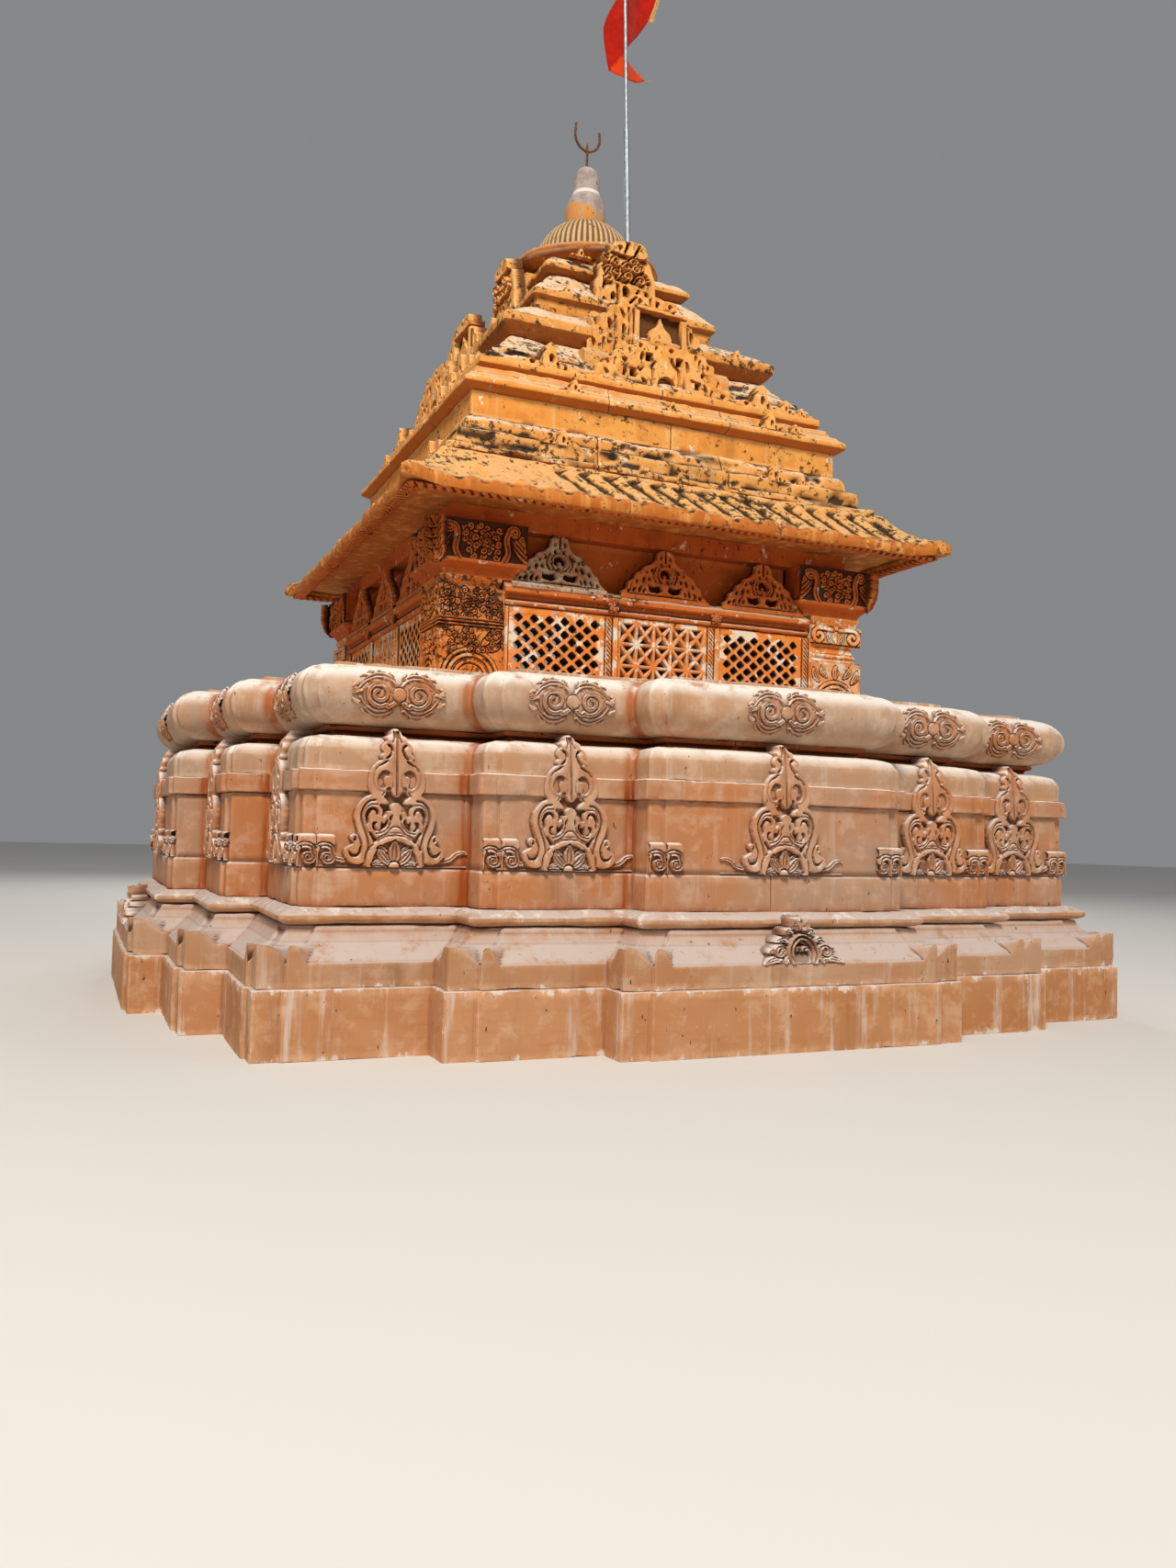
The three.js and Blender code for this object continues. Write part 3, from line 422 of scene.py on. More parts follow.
IRON = {"Roughness": 0.9, "Metallic": 0.0, "IOR": 1.6}
rusty_iron = streaked("rusty_iron", "#2b1a12", "#7a4424", 0.02, IRON, 0.002)
ZINC = {"Roughness": 0.42, "Metallic": 0.85}
galvanised_steel = streaked("galvanised_steel", "#8d959b", "#b9c0c4", 0.03, ZINC, 0.0004)
COTTON = {
    "Roughness": 0.9, "Sheen Weight": 0.1, "Sheen Roughness": 0.5, "IOR": 1.45, "Specular IOR Level": 0.15,
}
red_cotton = streaked("red_cotton", "#8e0c00", "#a81800", 0.08, COTTON, 0.0006, "#c83c0c")
GOLD_THREAD = {"Roughness": 0.55, "Sheen Weight": 0.2, "IOR": 1.5}
gold_thread = streaked("gold_thread", "#c8861e", "#f0c050", 0.006, GOLD_THREAD, 0.001)
print("finishes:", len(bpy.data.materials))

# %% [markdown]
# ## Mesh tools
# Worn stone is never quite flat or straight. Each piece below is first built with clean shapes, from
# the same outline and profile as the CAD model but with many more points, and then every point is
# moved a little along its normal by smooth noise. The edges, where the surface bends outwards, are
# chipped more. How far a point bends outwards or inwards is found by comparing it with its neighbours.

# %% Noise in space
SCATTER = np.array([374761393, 668265263, 974634777])  # large odd numbers, so that neighbouring cells differ


def smooth_noise(points, size, seed):
    """Random values from -1 to 1 that change smoothly over a size in metres."""
    p = np.asarray(points, float) / size + seed * 31.7
    cell = np.floor(p).astype(np.int64)
    f = p - cell
    f = f * f * (3 - 2 * f)
    total = np.zeros(len(p))
    for dx in (0, 1):
        for dy in (0, 1):
            for dz in (0, 1):
                n = ((cell + (dx, dy, dz)) * SCATTER).sum(1)
                n = (n ^ (n >> 13)) * 1274126177
                value = ((n ^ (n >> 16)) & 0xFFFF) / 32767.5 - 1
                weight = (f[:, 0] if dx else 1 - f[:, 0]) * (f[:, 1] if dy else 1 - f[:, 1])
                total += value * weight * (f[:, 2] if dz else 1 - f[:, 2])
    return total


def smooth_step(value, low, high):
    """0 below low, 1 above high, and smooth between."""
    t = np.clip((np.asarray(value, float) - low) / (high - low), 0, 1)
    return t * t * (3 - 2 * t)


# %% Wear and stains of a mesh
def points_of(mesh, kind="co"):
    """The places of a mesh's points as rows, or their normals."""
    values = np.empty(3 * len(mesh.vertices))
    mesh.vertices.foreach_get(kind, values)
    return values.reshape(-1, 3)


def bend_of(mesh, points):
    """For every point, how far it stands out from its neighbours along its normal, in metres."""
    count = len(mesh.vertices)
    ends = np.empty(2 * len(mesh.edges), np.int32)
    mesh.edges.foreach_get("vertices", ends)
    a, b = ends[0::2], ends[1::2]
    number = np.maximum(np.bincount(a, minlength=count) + np.bincount(b, minlength=count), 1)
    normals = points_of(mesh, "normal")
    mean = np.empty((count, 3))
    for axis in range(3):
        sums = np.bincount(a, points[b, axis], count) + np.bincount(b, points[a, axis], count)
        mean[:, axis] = sums / number
    return np.einsum("ij,ij->i", points - mean, normals), normals


def worn(seed, wave, pit, chip, sharp=0.004):
    """How a piece is worn: the depth of its waves, its pits and the chips on its edges, and how far a point
    has to stand out to be an edge, in metres."""
    return {"wave": wave, "pit": pit, "chip": chip, "sharp": sharp, "seed": seed}


def weather(mesh, rust, hollow, wave, pit, chip, sharp, seed):
    """Moves a mesh's points as age does, and stores what the stone finish needs to know of them."""
    points = points_of(mesh)
    bend, normals = bend_of(mesh, points)
    outward = np.clip(bend / sharp, 0, 1)
    inward = np.clip(-bend / sharp, 0, 1)
    move = wave * smooth_noise(points, 0.21, seed) + pit * smooth_noise(points, 0.045, seed + 1)
    bite = smooth_step(smooth_noise(points, 0.06, seed + 2), 0.15, 0.8)
    move -= outward * chip * (0.25 + bite)
    points = points + normals * move[:, None]
    mesh.vertices.foreach_set("co", points.ravel())
    # Points that bend inwards are stored as hollows, so creases get dirt and painted shade.
    store_stains_light_and_shade(
        mesh, inward if hollow is None else np.maximum(inward, hollow), 0 if rust is None else rust, outward,
    )
    mesh.update()


def store_stains_light_and_shade(mesh, *channels):
    """Keeps up to three values for each point in the colour attribute that the finishes read."""
    stains_light_and_shade = mesh.color_attributes.new(STAINS_LIGHT_AND_SHADE, "FLOAT_COLOR", "POINT")
    colours = np.ones((len(mesh.vertices), 4))
    for number, values in enumerate(channels):
        colours[:, number] = values
    stains_light_and_shade.data.foreach_set("color", colours.ravel())


# %% Pieces
made = {}  # the triangles of every piece


def add_piece(name, points, faces, finish, node=None, smooth=38, wear=None, rust=None, hollow=None):
    """A mesh object that rides on the temple, and stands for a CAD node where one is given."""
    mesh = bpy.data.meshes.new(name)
    mesh.from_pydata([tuple(p) for p in points], [], [tuple(f) for f in faces])
    mesh.validate()
    if wear:
        weather(mesh, rust, hollow, **wear)
    mesh.shade_smooth()
    mesh.set_sharp_from_angle(angle=math.radians(smooth))
    mesh.materials.append(finish)
    piece = bpy.data.objects.new(name, mesh)
    bpy.context.collection.objects.link(piece)
    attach(piece, "root")
    if node:
        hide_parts(node)
    made[name] = len(mesh.loops) - 2 * len(mesh.polygons)
    return piece


# %% [markdown]
# ## Courses
# A course is a ring of stone: a plan outline, swept up through a profile. The outline's long sides
# are cut into short steps, with more of them near the corners, so that the corners can be rounded
# and chipped. Each side also gets a few upright joints between its blocks, as narrow dark grooves.

# %% Plan outlines
def four_sided(side):
    """A quarter of an outline, repeated on the four sides."""
    turns = [(1, 0, 0, 1), (0, -1, 1, 0), (-1, 0, 0, -1), (0, 1, -1, 0)]
    return [(a * x + b * y, c * x + d * y) for a, b, c, d in turns for x, y in side]


def square_plan(half):
    """A square about the middle, anticlockwise."""
    return [(-half, -half), (half, -half), (half, half), (-half, half)]


CORNER_HALF, MIDDLE_BAY_HALF, CENTRE_BAY_HALF = 2.45, 1.67, 0.935
MIDDLE_BAY_OUT, CENTRE_BAY_OUT, STRIP_SET_BACK = 0.215, 0.19, 0.02


def podium_plan(strip):
    """The podium's outline, with a narrow strip set back at both ends of every bay."""
    corner = -CORNER_HALF
    middle = corner - MIDDLE_BAY_OUT
    centre = middle - CENTRE_BAY_OUT
    back = STRIP_SET_BACK if strip else 0

    def bay_end(x, face):
        return [(x, face + back), (x + strip, face + back), (x + strip, face)] if strip else [(x, face)]

    first = [(corner + back, corner + back), (corner + strip, corner + back), (corner + strip, corner)]
    left = (first if strip else [(corner, corner)]) + [(-MIDDLE_BAY_HALF, corner)]
    left += bay_end(-MIDDLE_BAY_HALF, middle) + [(-CENTRE_BAY_HALF, middle)]
    left += bay_end(-CENTRE_BAY_HALF, centre)
    return four_sided(left + [(-x, y) for x, y in left[:0:-1]])


print("podium outline:", len(podium_plan(0.14)), "corners")

# %% Stations round an outline
JOINT_HALF = 0.004
EAR_STATIONS = (0.004, 0.012, 0.022, 0.032, 0.042, 0.05, 0.058, 0.066, 0.074, 0.082, 0.088, 0.1, 0.12)


def stations(plan, step, joint_every=0.75, near=(0.006, 0.02, 0.045), ears=False, seed=1):
    """The places round an outline where a course gets a column of points.
    Each is (side, share of the side, distance from its start, distance to its end, joint)."""
    random = np.random.default_rng(seed)
    found = []
    for i, (x, y) in enumerate(plan):
        nx, ny = plan[(i + 1) % len(plan)]
        length = abs(nx - x) + abs(ny - y)
        close = [d for d in (EAR_STATIONS if ears and length > 0.05 else near) if d < length / 2 - 0.004]
        marks = [(0, 0)] + [(d, 0) for d in close] + [(length - d, 0) for d in close]
        blocks = int(length / joint_every + 0.4)
        cuts = [length * (k + random.uniform(-0.12, 0.12)) / blocks for k in range(1, blocks)]
        for cut in cuts:
            marks += [(cut - JOINT_HALF, 0), (cut, 1), (cut + JOINT_HALF, 0)]
        held = [mark[0] for mark in marks]
        inner = np.arange(step, length - step / 2, step)
        marks += [(d, 0) for d in inner if min(abs(d - h) for h in held) > step * 0.45]
        found += [(i, d / length, d, length - d, joint) for d, joint in sorted(marks)]
    return found


def outward_of(plan):
    """For each corner, the way that it moves when the outline grows by 1, and whether it points out."""
    count = len(plan)
    moves, points_out = [], []
    for i, (x, y) in enumerate(plan):
        px, py = plan[i - 1]
        nx, ny = plan[(i + 1) % count]
        before, after = np.sign([x - px, y - py]), np.sign([nx - x, ny - y])
        moves.append((before[1] + after[1], -before[0] - after[0]))
        points_out.append(before[0] * after[1] - before[1] * after[0] > 0)
    return np.array(moves, float), points_out


def fine_profile(profile, longest=0.045, round_by=0.005):
    """A profile with its corners cut by a small round, and its long sides divided."""
    points = [np.array(p, float) for p in profile]
    cut = [points[0]]
    for before, here, after in zip(points, points[1:], points[2:]):
        for other in (before, after):
            reach = min(round_by, 0.4 * np.linalg.norm(other - here))
            cut.append(here + (other - here) / np.linalg.norm(other - here) * reach)
    cut.append(points[-1])
    fine = [cut[0]]
    for before, here in zip(cut, cut[1:]):
        parts = max(1, math.ceil(np.linalg.norm(here - before) / longest))
        fine += [before + (here - before) * k / parts for k in range(1, parts + 1)]
    return [tuple(p) for p in fine]


def ring_faces(rings, count, start=0):
    """The faces between closed rings of points, one above the other."""
    faces = []
    for ring in range(rings - 1):
        for i in range(count):
            a, b = start + ring * count + i, start + ring * count + (i + 1) % count
            faces.append((a, b, b + count, a + count))
    return faces


def course(plan, profile, places, arris=0.004, joint_depth=0.007, lift=None, shift=0.0):
    """Points and faces of a course, and for each point its distance to a re-entrant corner and whether it
    lies in a joint. The profile is (set back from the outline, height). lift() may raise a ring's points."""
    moves, points_out = outward_of(plan)
    corners = np.array(plan, float)
    count = len(places)
    sides = np.array([p[0] for p in places])
    share = np.array([p[1] for p in places])[:, None]
    starts, ends = np.array([p[2] for p in places]), np.array([p[3] for p in places])
    joint = np.array([p[4] for p in places], float)
    after = (sides + 1) % len(plan)
    out_start, out_end = np.array(points_out)[sides], np.array(points_out)[after]
    side_move = np.array([(moves[s] + moves[a]) / 2 for s, a in zip(sides, after)])
    side_out = np.where(np.abs(side_move) > 0.7, side_move, 0)
    at_corner = (share[:, 0] == 0).astype(float)
    pull = arris * at_corner * np.where(out_start, 1.0, -0.6) + joint_depth * joint
    pull_way = np.where(at_corner[:, None] > 0, moves[sides], side_out)
    points = []
    for back, height in profile:
        grown = corners - moves * back
        flat = grown[sides] * (1 - share) + grown[after] * share - pull_way * pull[:, None]
        rise = np.full(count, height) if lift is None else lift(places, out_start, out_end, back, height)
        points.append(np.column_stack([flat[:, 0] + shift, flat[:, 1], rise]))
    faces = ring_faces(len(profile), count)
    top = (len(profile) - 1) * count
    faces.append(tuple(range(count - 1, -1, -1)))
    faces.append(tuple(range(top, top + count)))
    lengths = np.abs(np.roll(corners, -1, axis=0) - corners).sum(1)
    deep = ~np.array(points_out) & (lengths > 0.05) & (np.roll(lengths, 1) > 0.05)
    reach = np.minimum(np.where(deep[sides], starts, 9), np.where(deep[after], ends, 9))
    joint_rows = np.tile(joint, len(profile))
    joint_rows[-count:] = 0
    return np.vstack(points), faces, np.tile(reach, len(profile)), joint_rows


print("columns of points round a square slab:", len(stations(square_plan(1), 0.05)))

# %% [markdown]
# ## Carved relief
# A carver draws the pattern on the stone, cuts the ground away round it, and then models what is
# left. The script does the same on a grid of heights, where 0 is the ground and 1 is the front face.
# A stroke is a ribbon along a smooth curve, and it first sinks a narrow moat round itself, so that
# it stands clear of what lies under it. A leaf is a stroke that ends in points, a fill is a raised
# ground, and a pierced pocket goes down through it. The grid then becomes a mesh, its flat parts are
# thinned, and it is bent onto the stone.

# %% The relief grid
def curve(points, parts=9):
    """A smooth path through points, closely divided (a Catmull-Rom curve)."""
    p = np.array(points, float)
    if len(p) < 3:
        return p
    p = np.vstack([2 * p[0] - p[1], p, 2 * p[-1] - p[-2]])
    t = np.linspace(0, 1, parts, endpoint=False)[:, None]
    out = []
    for a, b, c, d in zip(p, p[1:], p[2:], p[3:]):
        out.append(
            0.5 * (2 * b + (c - a) * t + (2 * a - 5 * b + 4 * c - d) * t**2 + (3 * b - a - 3 * c + d) * t**3)
        )
    return np.vstack(out + [p[-2:-1]])


def arc(x, z, radius, start, end, tall=1.0):
    """Points on a part of a circle, by angles in degrees from the right, anticlockwise."""
    angles = np.radians(np.linspace(start, end, max(3, int(abs(end - start) / 12) + 1)))
    return [(x + radius * math.cos(a), z + radius * tall * math.sin(a)) for a in angles]


def spiral(x, z, outer, inner, start, turn):
    """Points on a spiral that winds in from its outer radius. The turn is in degrees."""
    count = max(6, int(abs(turn) / 22))
    out = []
    for k in range(count + 1):
        radius = outer + (inner - outer) * k / count
        angle = math.radians(start + turn * k / count)
        out.append((x + radius * math.cos(angle), z + radius * math.sin(angle)))
    return out


class Relief:
    """A carved panel. With mirrored set, what is drawn right of the middle also appears on the left."""

    def __init__(self, left, right, low, high, step, mirrored=True, unit=(1.0, 1.0)):
        across, up = np.arange(left, right + step / 2, step), np.arange(low, high + step / 2, step)
        grid_x, grid_z = np.meshgrid(across, up)
        self.step, self.size, self.unit = step, grid_x.shape, np.array(unit)
        self.real_x, self.z = grid_x.ravel(), grid_z.ravel()
        self.x = np.abs(self.real_x) if mirrored else self.real_x
        self.height = np.zeros(grid_x.size)

    def near(self, path, reach):
        """The grid points near a path, their distances to it, and how far along it they are."""
        low, high = path.min(0) - reach, path.max(0) + reach
        inside = (self.x > low[0]) & (self.x < high[0]) & (self.z > low[1]) & (self.z < high[1])
        pick = np.flatnonzero(inside)
        p = np.column_stack([self.x[pick], self.z[pick]])
        a, ab = path[:-1], np.diff(path, axis=0)
        size2 = np.maximum((ab**2).sum(1), 1e-12)
        t = np.clip(((p[:, None] - a) * ab).sum(2) / size2, 0, 1)
        gap2 = ((p[:, None] - a - t[:, :, None] * ab) ** 2).sum(2)
        best = gap2.argmin(1)
        rows = np.arange(len(p))
        lengths = np.sqrt(size2)
        before = np.concatenate([[0], np.cumsum(lengths)])
        return pick, np.sqrt(gap2[rows, best]), (before[best] + t[rows, best] * lengths[best]) / before[-1]

    def path(self, points, smooth=True):
        points = np.array(points, float) * self.unit
        return curve(points) if smooth else points

    def put(self, pick, gap, half, top, moat, floor=0.0):
        """Sinks a moat round a form and then raises the form."""
        soft = 0.55 * self.step
        if moat:
            ditch = floor + (1 - floor) * smooth_step(gap, half + 0.6 * moat, half + moat)
            self.height[pick] = np.minimum(self.height[pick], ditch)
        body = top * (1 - smooth_step(gap, half - soft, half + soft))
        self.height[pick] = np.maximum(self.height[pick], body)

    def stroke(self, points, width, height=1.0, tip=1.0, groove=0.4, moat=0.0, smooth=True):
        """A ribbon with a groove along its middle. Its width goes to tip times itself at its end."""
        path = self.path(points, smooth)
        pick, gap, along = self.near(path, width + moat + 2 * self.step)
        half = width / 2 * (1 + (tip - 1) * smooth_step(along, 0.35, 1.0))
        top = height * (1 - groove * (1 - smooth_step(gap / np.maximum(half, 1e-5), 0.3, 0.62)))
        self.put(pick, gap, half, top, moat)

    def leaf(self, points, width, height=1.0, moat=0.0, rib=0.3, round_start=False):
        """A leaf with pointed ends, a raised rim and a rib."""
        pick, gap, along = self.near(self.path(points), width + moat + 2 * self.step)
        bell = np.sin(math.pi * np.clip(along, 0.0, 1)) ** 0.75
        if round_start:
            bell = np.where(along < 0.5, 1.0, bell)
        half = width / 2 * np.maximum(bell, 0.06)
        share = gap / half
        top = height * (
            0.72 + 0.28 * smooth_step(share, 0.35, 0.8) + rib * (1 - smooth_step(share, 0.05, 0.25))
        )
        self.put(pick, gap, half, np.minimum(top, height * 1.05), moat)

    def boss(self, x, z, radius, height=1.0, moat=0.0, dome=0.5):
        """A round button."""
        centre = np.array([[x, z]], float) * self.unit
        pick, gap, _ = self.near(np.vstack([centre, centre + 1e-6]), radius + moat + 2 * self.step)
        share = np.clip(gap / radius, 0, 1)
        self.put(pick, gap, radius, height * (1 - dome + dome * np.sqrt(1 - share**2)), moat)

    def cover(self, outline, smooth):
        """How much of each grid point a closed outline covers, from 0 to 1, with a soft edge."""
        points = np.array(outline, float) * self.unit
        if smooth:
            points = curve(np.vstack([points[-2:], points, points[:2]]), 4)[8:-8]
        loop = np.vstack([points, points[:1]])
        pick, gap, _ = self.near(loop, 3 * self.step)
        within = np.zeros(len(self.x), bool)
        for (x0, z0), (x1, z1) in zip(loop[:-1], loop[1:]):
            if z0 != z1:
                crosses = (self.z > min(z0, z1)) & (self.z <= max(z0, z1))
                within ^= crosses & (self.x < x0 + (self.z - z0) * (x1 - x0) / (z1 - z0))
        covered = within.astype(float)
        outside = np.where(within[pick], -gap, gap)
        covered[pick] = 1 - smooth_step(outside, -0.55 * self.step, 0.55 * self.step)
        return covered

    def fill(self, outline, level, smooth=False):
        """Raises the ground inside an outline."""
        self.height = np.maximum(self.height, level * self.cover(outline, smooth))

    def pierce(self, outline, level=0.05, smooth=False):
        """Cuts a pocket down to a level."""
        self.height += (np.minimum(self.height, level) - self.height) * self.cover(outline, smooth)

    def line(self, points, width=0.009, depth=0.28, smooth=True):
        """Cuts a fine line into what is there."""
        pick, gap, _ = self.near(self.path(points, smooth), width)
        cut = self.height[pick] - depth * (1 - smooth_step(gap, 0.15 * width, 0.75 * width))
        self.height[pick] = np.where(self.height[pick] > 0.1, np.maximum(cut, 0.05), self.height[pick])

    def mesh(self, depth, keep, all_cells=False):
        """Points of (across, up, height) and faces, thinned where the surface is flat."""
        rows, columns = self.size
        index = np.arange(rows * columns).reshape(rows, columns)
        corners = [index[:-1, :-1], index[:-1, 1:], index[1:, 1:], index[1:, :-1]]
        cells = np.stack(corners, axis=-1).reshape(-1, 4)
        if not all_cells:
            cells = cells[np.abs(self.height[cells]).max(1) > 0.03]
        used, cells = np.unique(cells, return_inverse=True)
        cells = cells.reshape(-1, 4)
        points = np.column_stack([self.real_x[used], -self.height[used] * depth, self.z[used]])
        mesh = bpy.data.meshes.new("relief")
        mesh.from_pydata([tuple(p) for p in points], [], [tuple(c) for c in cells.tolist()])
        mesh = thinned(mesh, keep)
        flat = points_of(mesh)
        faces = [tuple(f.vertices) for f in mesh.polygons]
        bpy.data.meshes.remove(mesh)
        return np.column_stack([flat[:, 0], flat[:, 2], -flat[:, 1] / depth]), faces


def thinned(mesh, keep):
    """A copy of a mesh with only a share of its faces, fewest where it is flat."""
    thing = bpy.data.objects.new("thinning", mesh)
    bpy.context.collection.objects.link(thing)
    modifier = thing.modifiers.new("thin", "DECIMATE")
    modifier.ratio = keep
    graph = bpy.context.evaluated_depsgraph_get()
    copy = bpy.data.meshes.new_from_object(thing.evaluated_get(graph))
    bpy.data.objects.remove(thing)
    bpy.data.meshes.remove(mesh)
    return copy


def quarter_turned(points, turns):
    """Points of the front side turned to another side."""
    cos, sin = round(math.cos(turns * math.pi / 2)), round(math.sin(turns * math.pi / 2))
    x, y = points[:, 0] * cos - points[:, 1] * sin, points[:, 0] * sin + points[:, 1] * cos
    return np.column_stack([x, y, points[:, 2]])


def gather(parts):
    """Joins (points, faces, hollow) of several copies into one."""
    points, faces, hollow = [], [], []
    start = 0
    for part_points, part_faces, part_hollow in parts:
        points.append(part_points)
        hollow.append(part_hollow)
        faces += [tuple(v + start for v in face) for face in part_faces]
        start += len(part_points)
    return np.vstack(points), faces, np.concatenate(hollow)


def plain(points, faces, hollow=0.0):
    """A copy with the same hollow value all over, for gather."""
    return points, faces, np.full(len(points), hollow)


def hollows(height, amount, low, high):
    """How much dirt and painted shade lie in a carving: an amount where it is deep, and none from a height
    on.
    """
    return amount * (1 - smooth_step(height, low, high))


def add_copies(name, copies, turns, finish, node=None, smooth=45, wear=None, shift=0.0, limed=None):
    """One piece made of copies, turned from the front to another side. What lies nearer to the middle than
    limed faces the room, and gets white limewash."""
    points, faces, hollow = gather(copies)
    inside = None if limed is None else (np.abs(points[:, :2]).max(1) < limed).astype(float)
    turned = quarter_turned(points, turns) + (shift, 0, 0)
    return add_piece(name, turned, faces, finish, node, smooth, wear, inside, hollow)


DROP = [(-0.55, -0.8), (0, -1), (0.6, -0.7), (0.85, 0), (0.35, 0.75), (-0.3, 1), (-0.75, 0.4)]
SQUARE = [(-1, -0.9), (1, -1), (0.9, 1), (-1, 1)]


def sawn(relief, shape, x, z, wide, tall, turn=0):
    """A hole of a shape, with half its width and height, turned by an angle in degrees."""
    cos, sin = math.cos(math.radians(turn)), math.sin(math.radians(turn))
    loop = [(x + wide * a * cos - tall * b * sin, z + wide * a * sin + tall * b * cos) for a, b in shape]
    relief.pierce(loop, 0.04, smooth=shape is DROP)


SIDES = [("front", 0), ("right", 1), ("back", 2), ("left", 3)]
print("a spiral of 400 degrees has", len(spiral(0, 0, 1, 0.2, 0, 400)), "points")

# %% [markdown]
# ## The podium's courses
# Nine courses carry the shrine. Their outline steps forward twice on each side, and every bay has a
# narrow strip at each end. Two things are added to the CAD profile here. The sloped course has a thin
# fillet at its foot, which rises into two round-topped ears at the ends of each bay. And rust from
# the iron cramps runs down in the re-entrant corners, so the courses store how near each column of
# points is to one.

# %% Course sizes
BASE_TOP, SLOPE_TOP, KNIFE_TOP, WALL_TOP, BELT_TOP = 0.30, 0.555, 0.632, 1.143, 1.24
SHOULDER_TOP, RECESS_TOP, ROLL_TOP, PLATFORM_TOP = 1.40, 1.45, 1.725, 1.75
BASE_STRIP, WALL_STRIP = 0.14, 0.075
WALL_INSET, ROLL_CORE_INSET, ROLL_BULGE = 0.225, 0.345, 0.14
FILLET_TOP, EAR_HEIGHT = 0.405, 0.082
STEP = 0.043  # between columns of points


def half_ellipse(inset, bulge, low, high, parts=15):
    """The roll's section, from its foot to its top."""
    angles = [(k / parts - 0.5) * math.pi for k in range(parts + 1)]
    middle, rise = (low + high) / 2, (high - low) / 2
    return [(inset - bulge * math.cos(a), middle + rise * math.sin(a)) for a in angles]


def slope_height(back):
    """The height of the sloped course's face at a distance behind the outline."""
    backs, heights = (0.018, 0.07, 0.125, 0.155, 0.165), (0.405, 0.44, 0.485, 0.525, SLOPE_TOP)
    return np.interp(back, backs, heights)


def ear_shape(distance, on_strip):
    """An ear's rise from 0 to 1. On a strip it falls slowly, and on a bay it is round and ends in a cusp."""
    slow = 1 - 0.78 * smooth_step(distance, 0.05, 0.135)
    fall = np.sin(np.clip((distance - 0.03) / 0.058, 0, 1) * 0.43 * math.pi) / math.sin(0.43 * math.pi)
    return np.where(on_strip, slow, (1 - fall**2) * (0.75 + 0.25 * smooth_step(distance, 0, 0.012)))


def raise_ears(places, out_start, out_end, back, height):
    """Lifts the fillet's top into ears near the corners of the bays, and blends them into the slope."""
    if height < FILLET_TOP - 0.05:
        return np.full(len(places), height)
    start, end = np.array([p[2] for p in places]), np.array([p[3] for p in places])
    long_enough, on_strip = (start + end) > 0.05, (start + end) < 0.25
    start_ear, end_ear = ear_shape(start, on_strip) * out_start, ear_shape(end, on_strip) * out_end
    rise = np.maximum(start_ear, end_ear) * long_enough
    ear_top = FILLET_TOP + EAR_HEIGHT * rise
    if back < 0.02:
        return height + (ear_top - FILLET_TOP) * smooth_step(height, FILLET_TOP - 0.05, FILLET_TOP)
    ear_top = ear_top - 0.2 * (back - 0.018) - 0.005
    return 0.5 * (height + ear_top + np.sqrt((height - ear_top) ** 2 + 0.014**2 * rise))


print("the slope's face stands", slope_height(0.1), "m up where it is 0.1 m behind the outline")

# %% Courses of the podium
SLOPE_FACE = [(0.018, height) for height in (BASE_TOP, 0.34, 0.358, 0.374, 0.388, FILLET_TOP - 0.003)]
SLOPE_FACE += [(0.021, FILLET_TOP), (0.028, FILLET_TOP + 0.003)]
SLOPE_BACKS = (0.04, 0.055, 0.07, 0.085, 0.1, 0.112, 0.125, 0.136, 0.147, 0.156, 0.162)
SLOPE_FACE += [(back, float(slope_height(back))) for back in SLOPE_BACKS]
SLOPE_FACE += [(0.166, SLOPE_TOP - 0.004), (0.2, SLOPE_TOP)]
KNIFE_FACE = [
    (0.2, SLOPE_TOP), (0.172, 0.5585), (0.15, 0.569), (0.141, 0.58), (0.141, 0.596), (0.146, 0.604),
    (0.2, KNIFE_TOP),
]
WALL_FACE = [(0.215, KNIFE_TOP), (0.215, 0.792), (0.225, 0.8), (0.225, WALL_TOP), (0.26, WALL_TOP)]
BELT_FACE = [(0.24, WALL_TOP), (0.2, WALL_TOP), (0.2, BELT_TOP), (0.24, BELT_TOP)]
SHOULDER_FACE = [
    (WALL_INSET, BELT_TOP - 0.002), (WALL_INSET, 1.335), (0.25, 1.38), (0.31, 1.398), (0.38, SHOULDER_TOP),
]
RECESS_FACE = [(0.385, SHOULDER_TOP), (0.385, 1.422), (0.355, 1.43), (0.355, RECESS_TOP), (0.4, RECESS_TOP)]
ROLL_FACE = [(0.4, RECESS_TOP)] + half_ellipse(ROLL_CORE_INSET, ROLL_BULGE, RECESS_TOP, ROLL_TOP)
ROLL_FACE += [(0.42, ROLL_TOP)]
PLATFORM_FACE = [(0.40, ROLL_TOP), (0.40, PLATFORM_TOP - 0.003), (0.408, PLATFORM_TOP), (0.75, PLATFORM_TOP)]
BASE_FACE = [(0, 0), (0, BASE_TOP - 0.001), (0.06, BASE_TOP)]
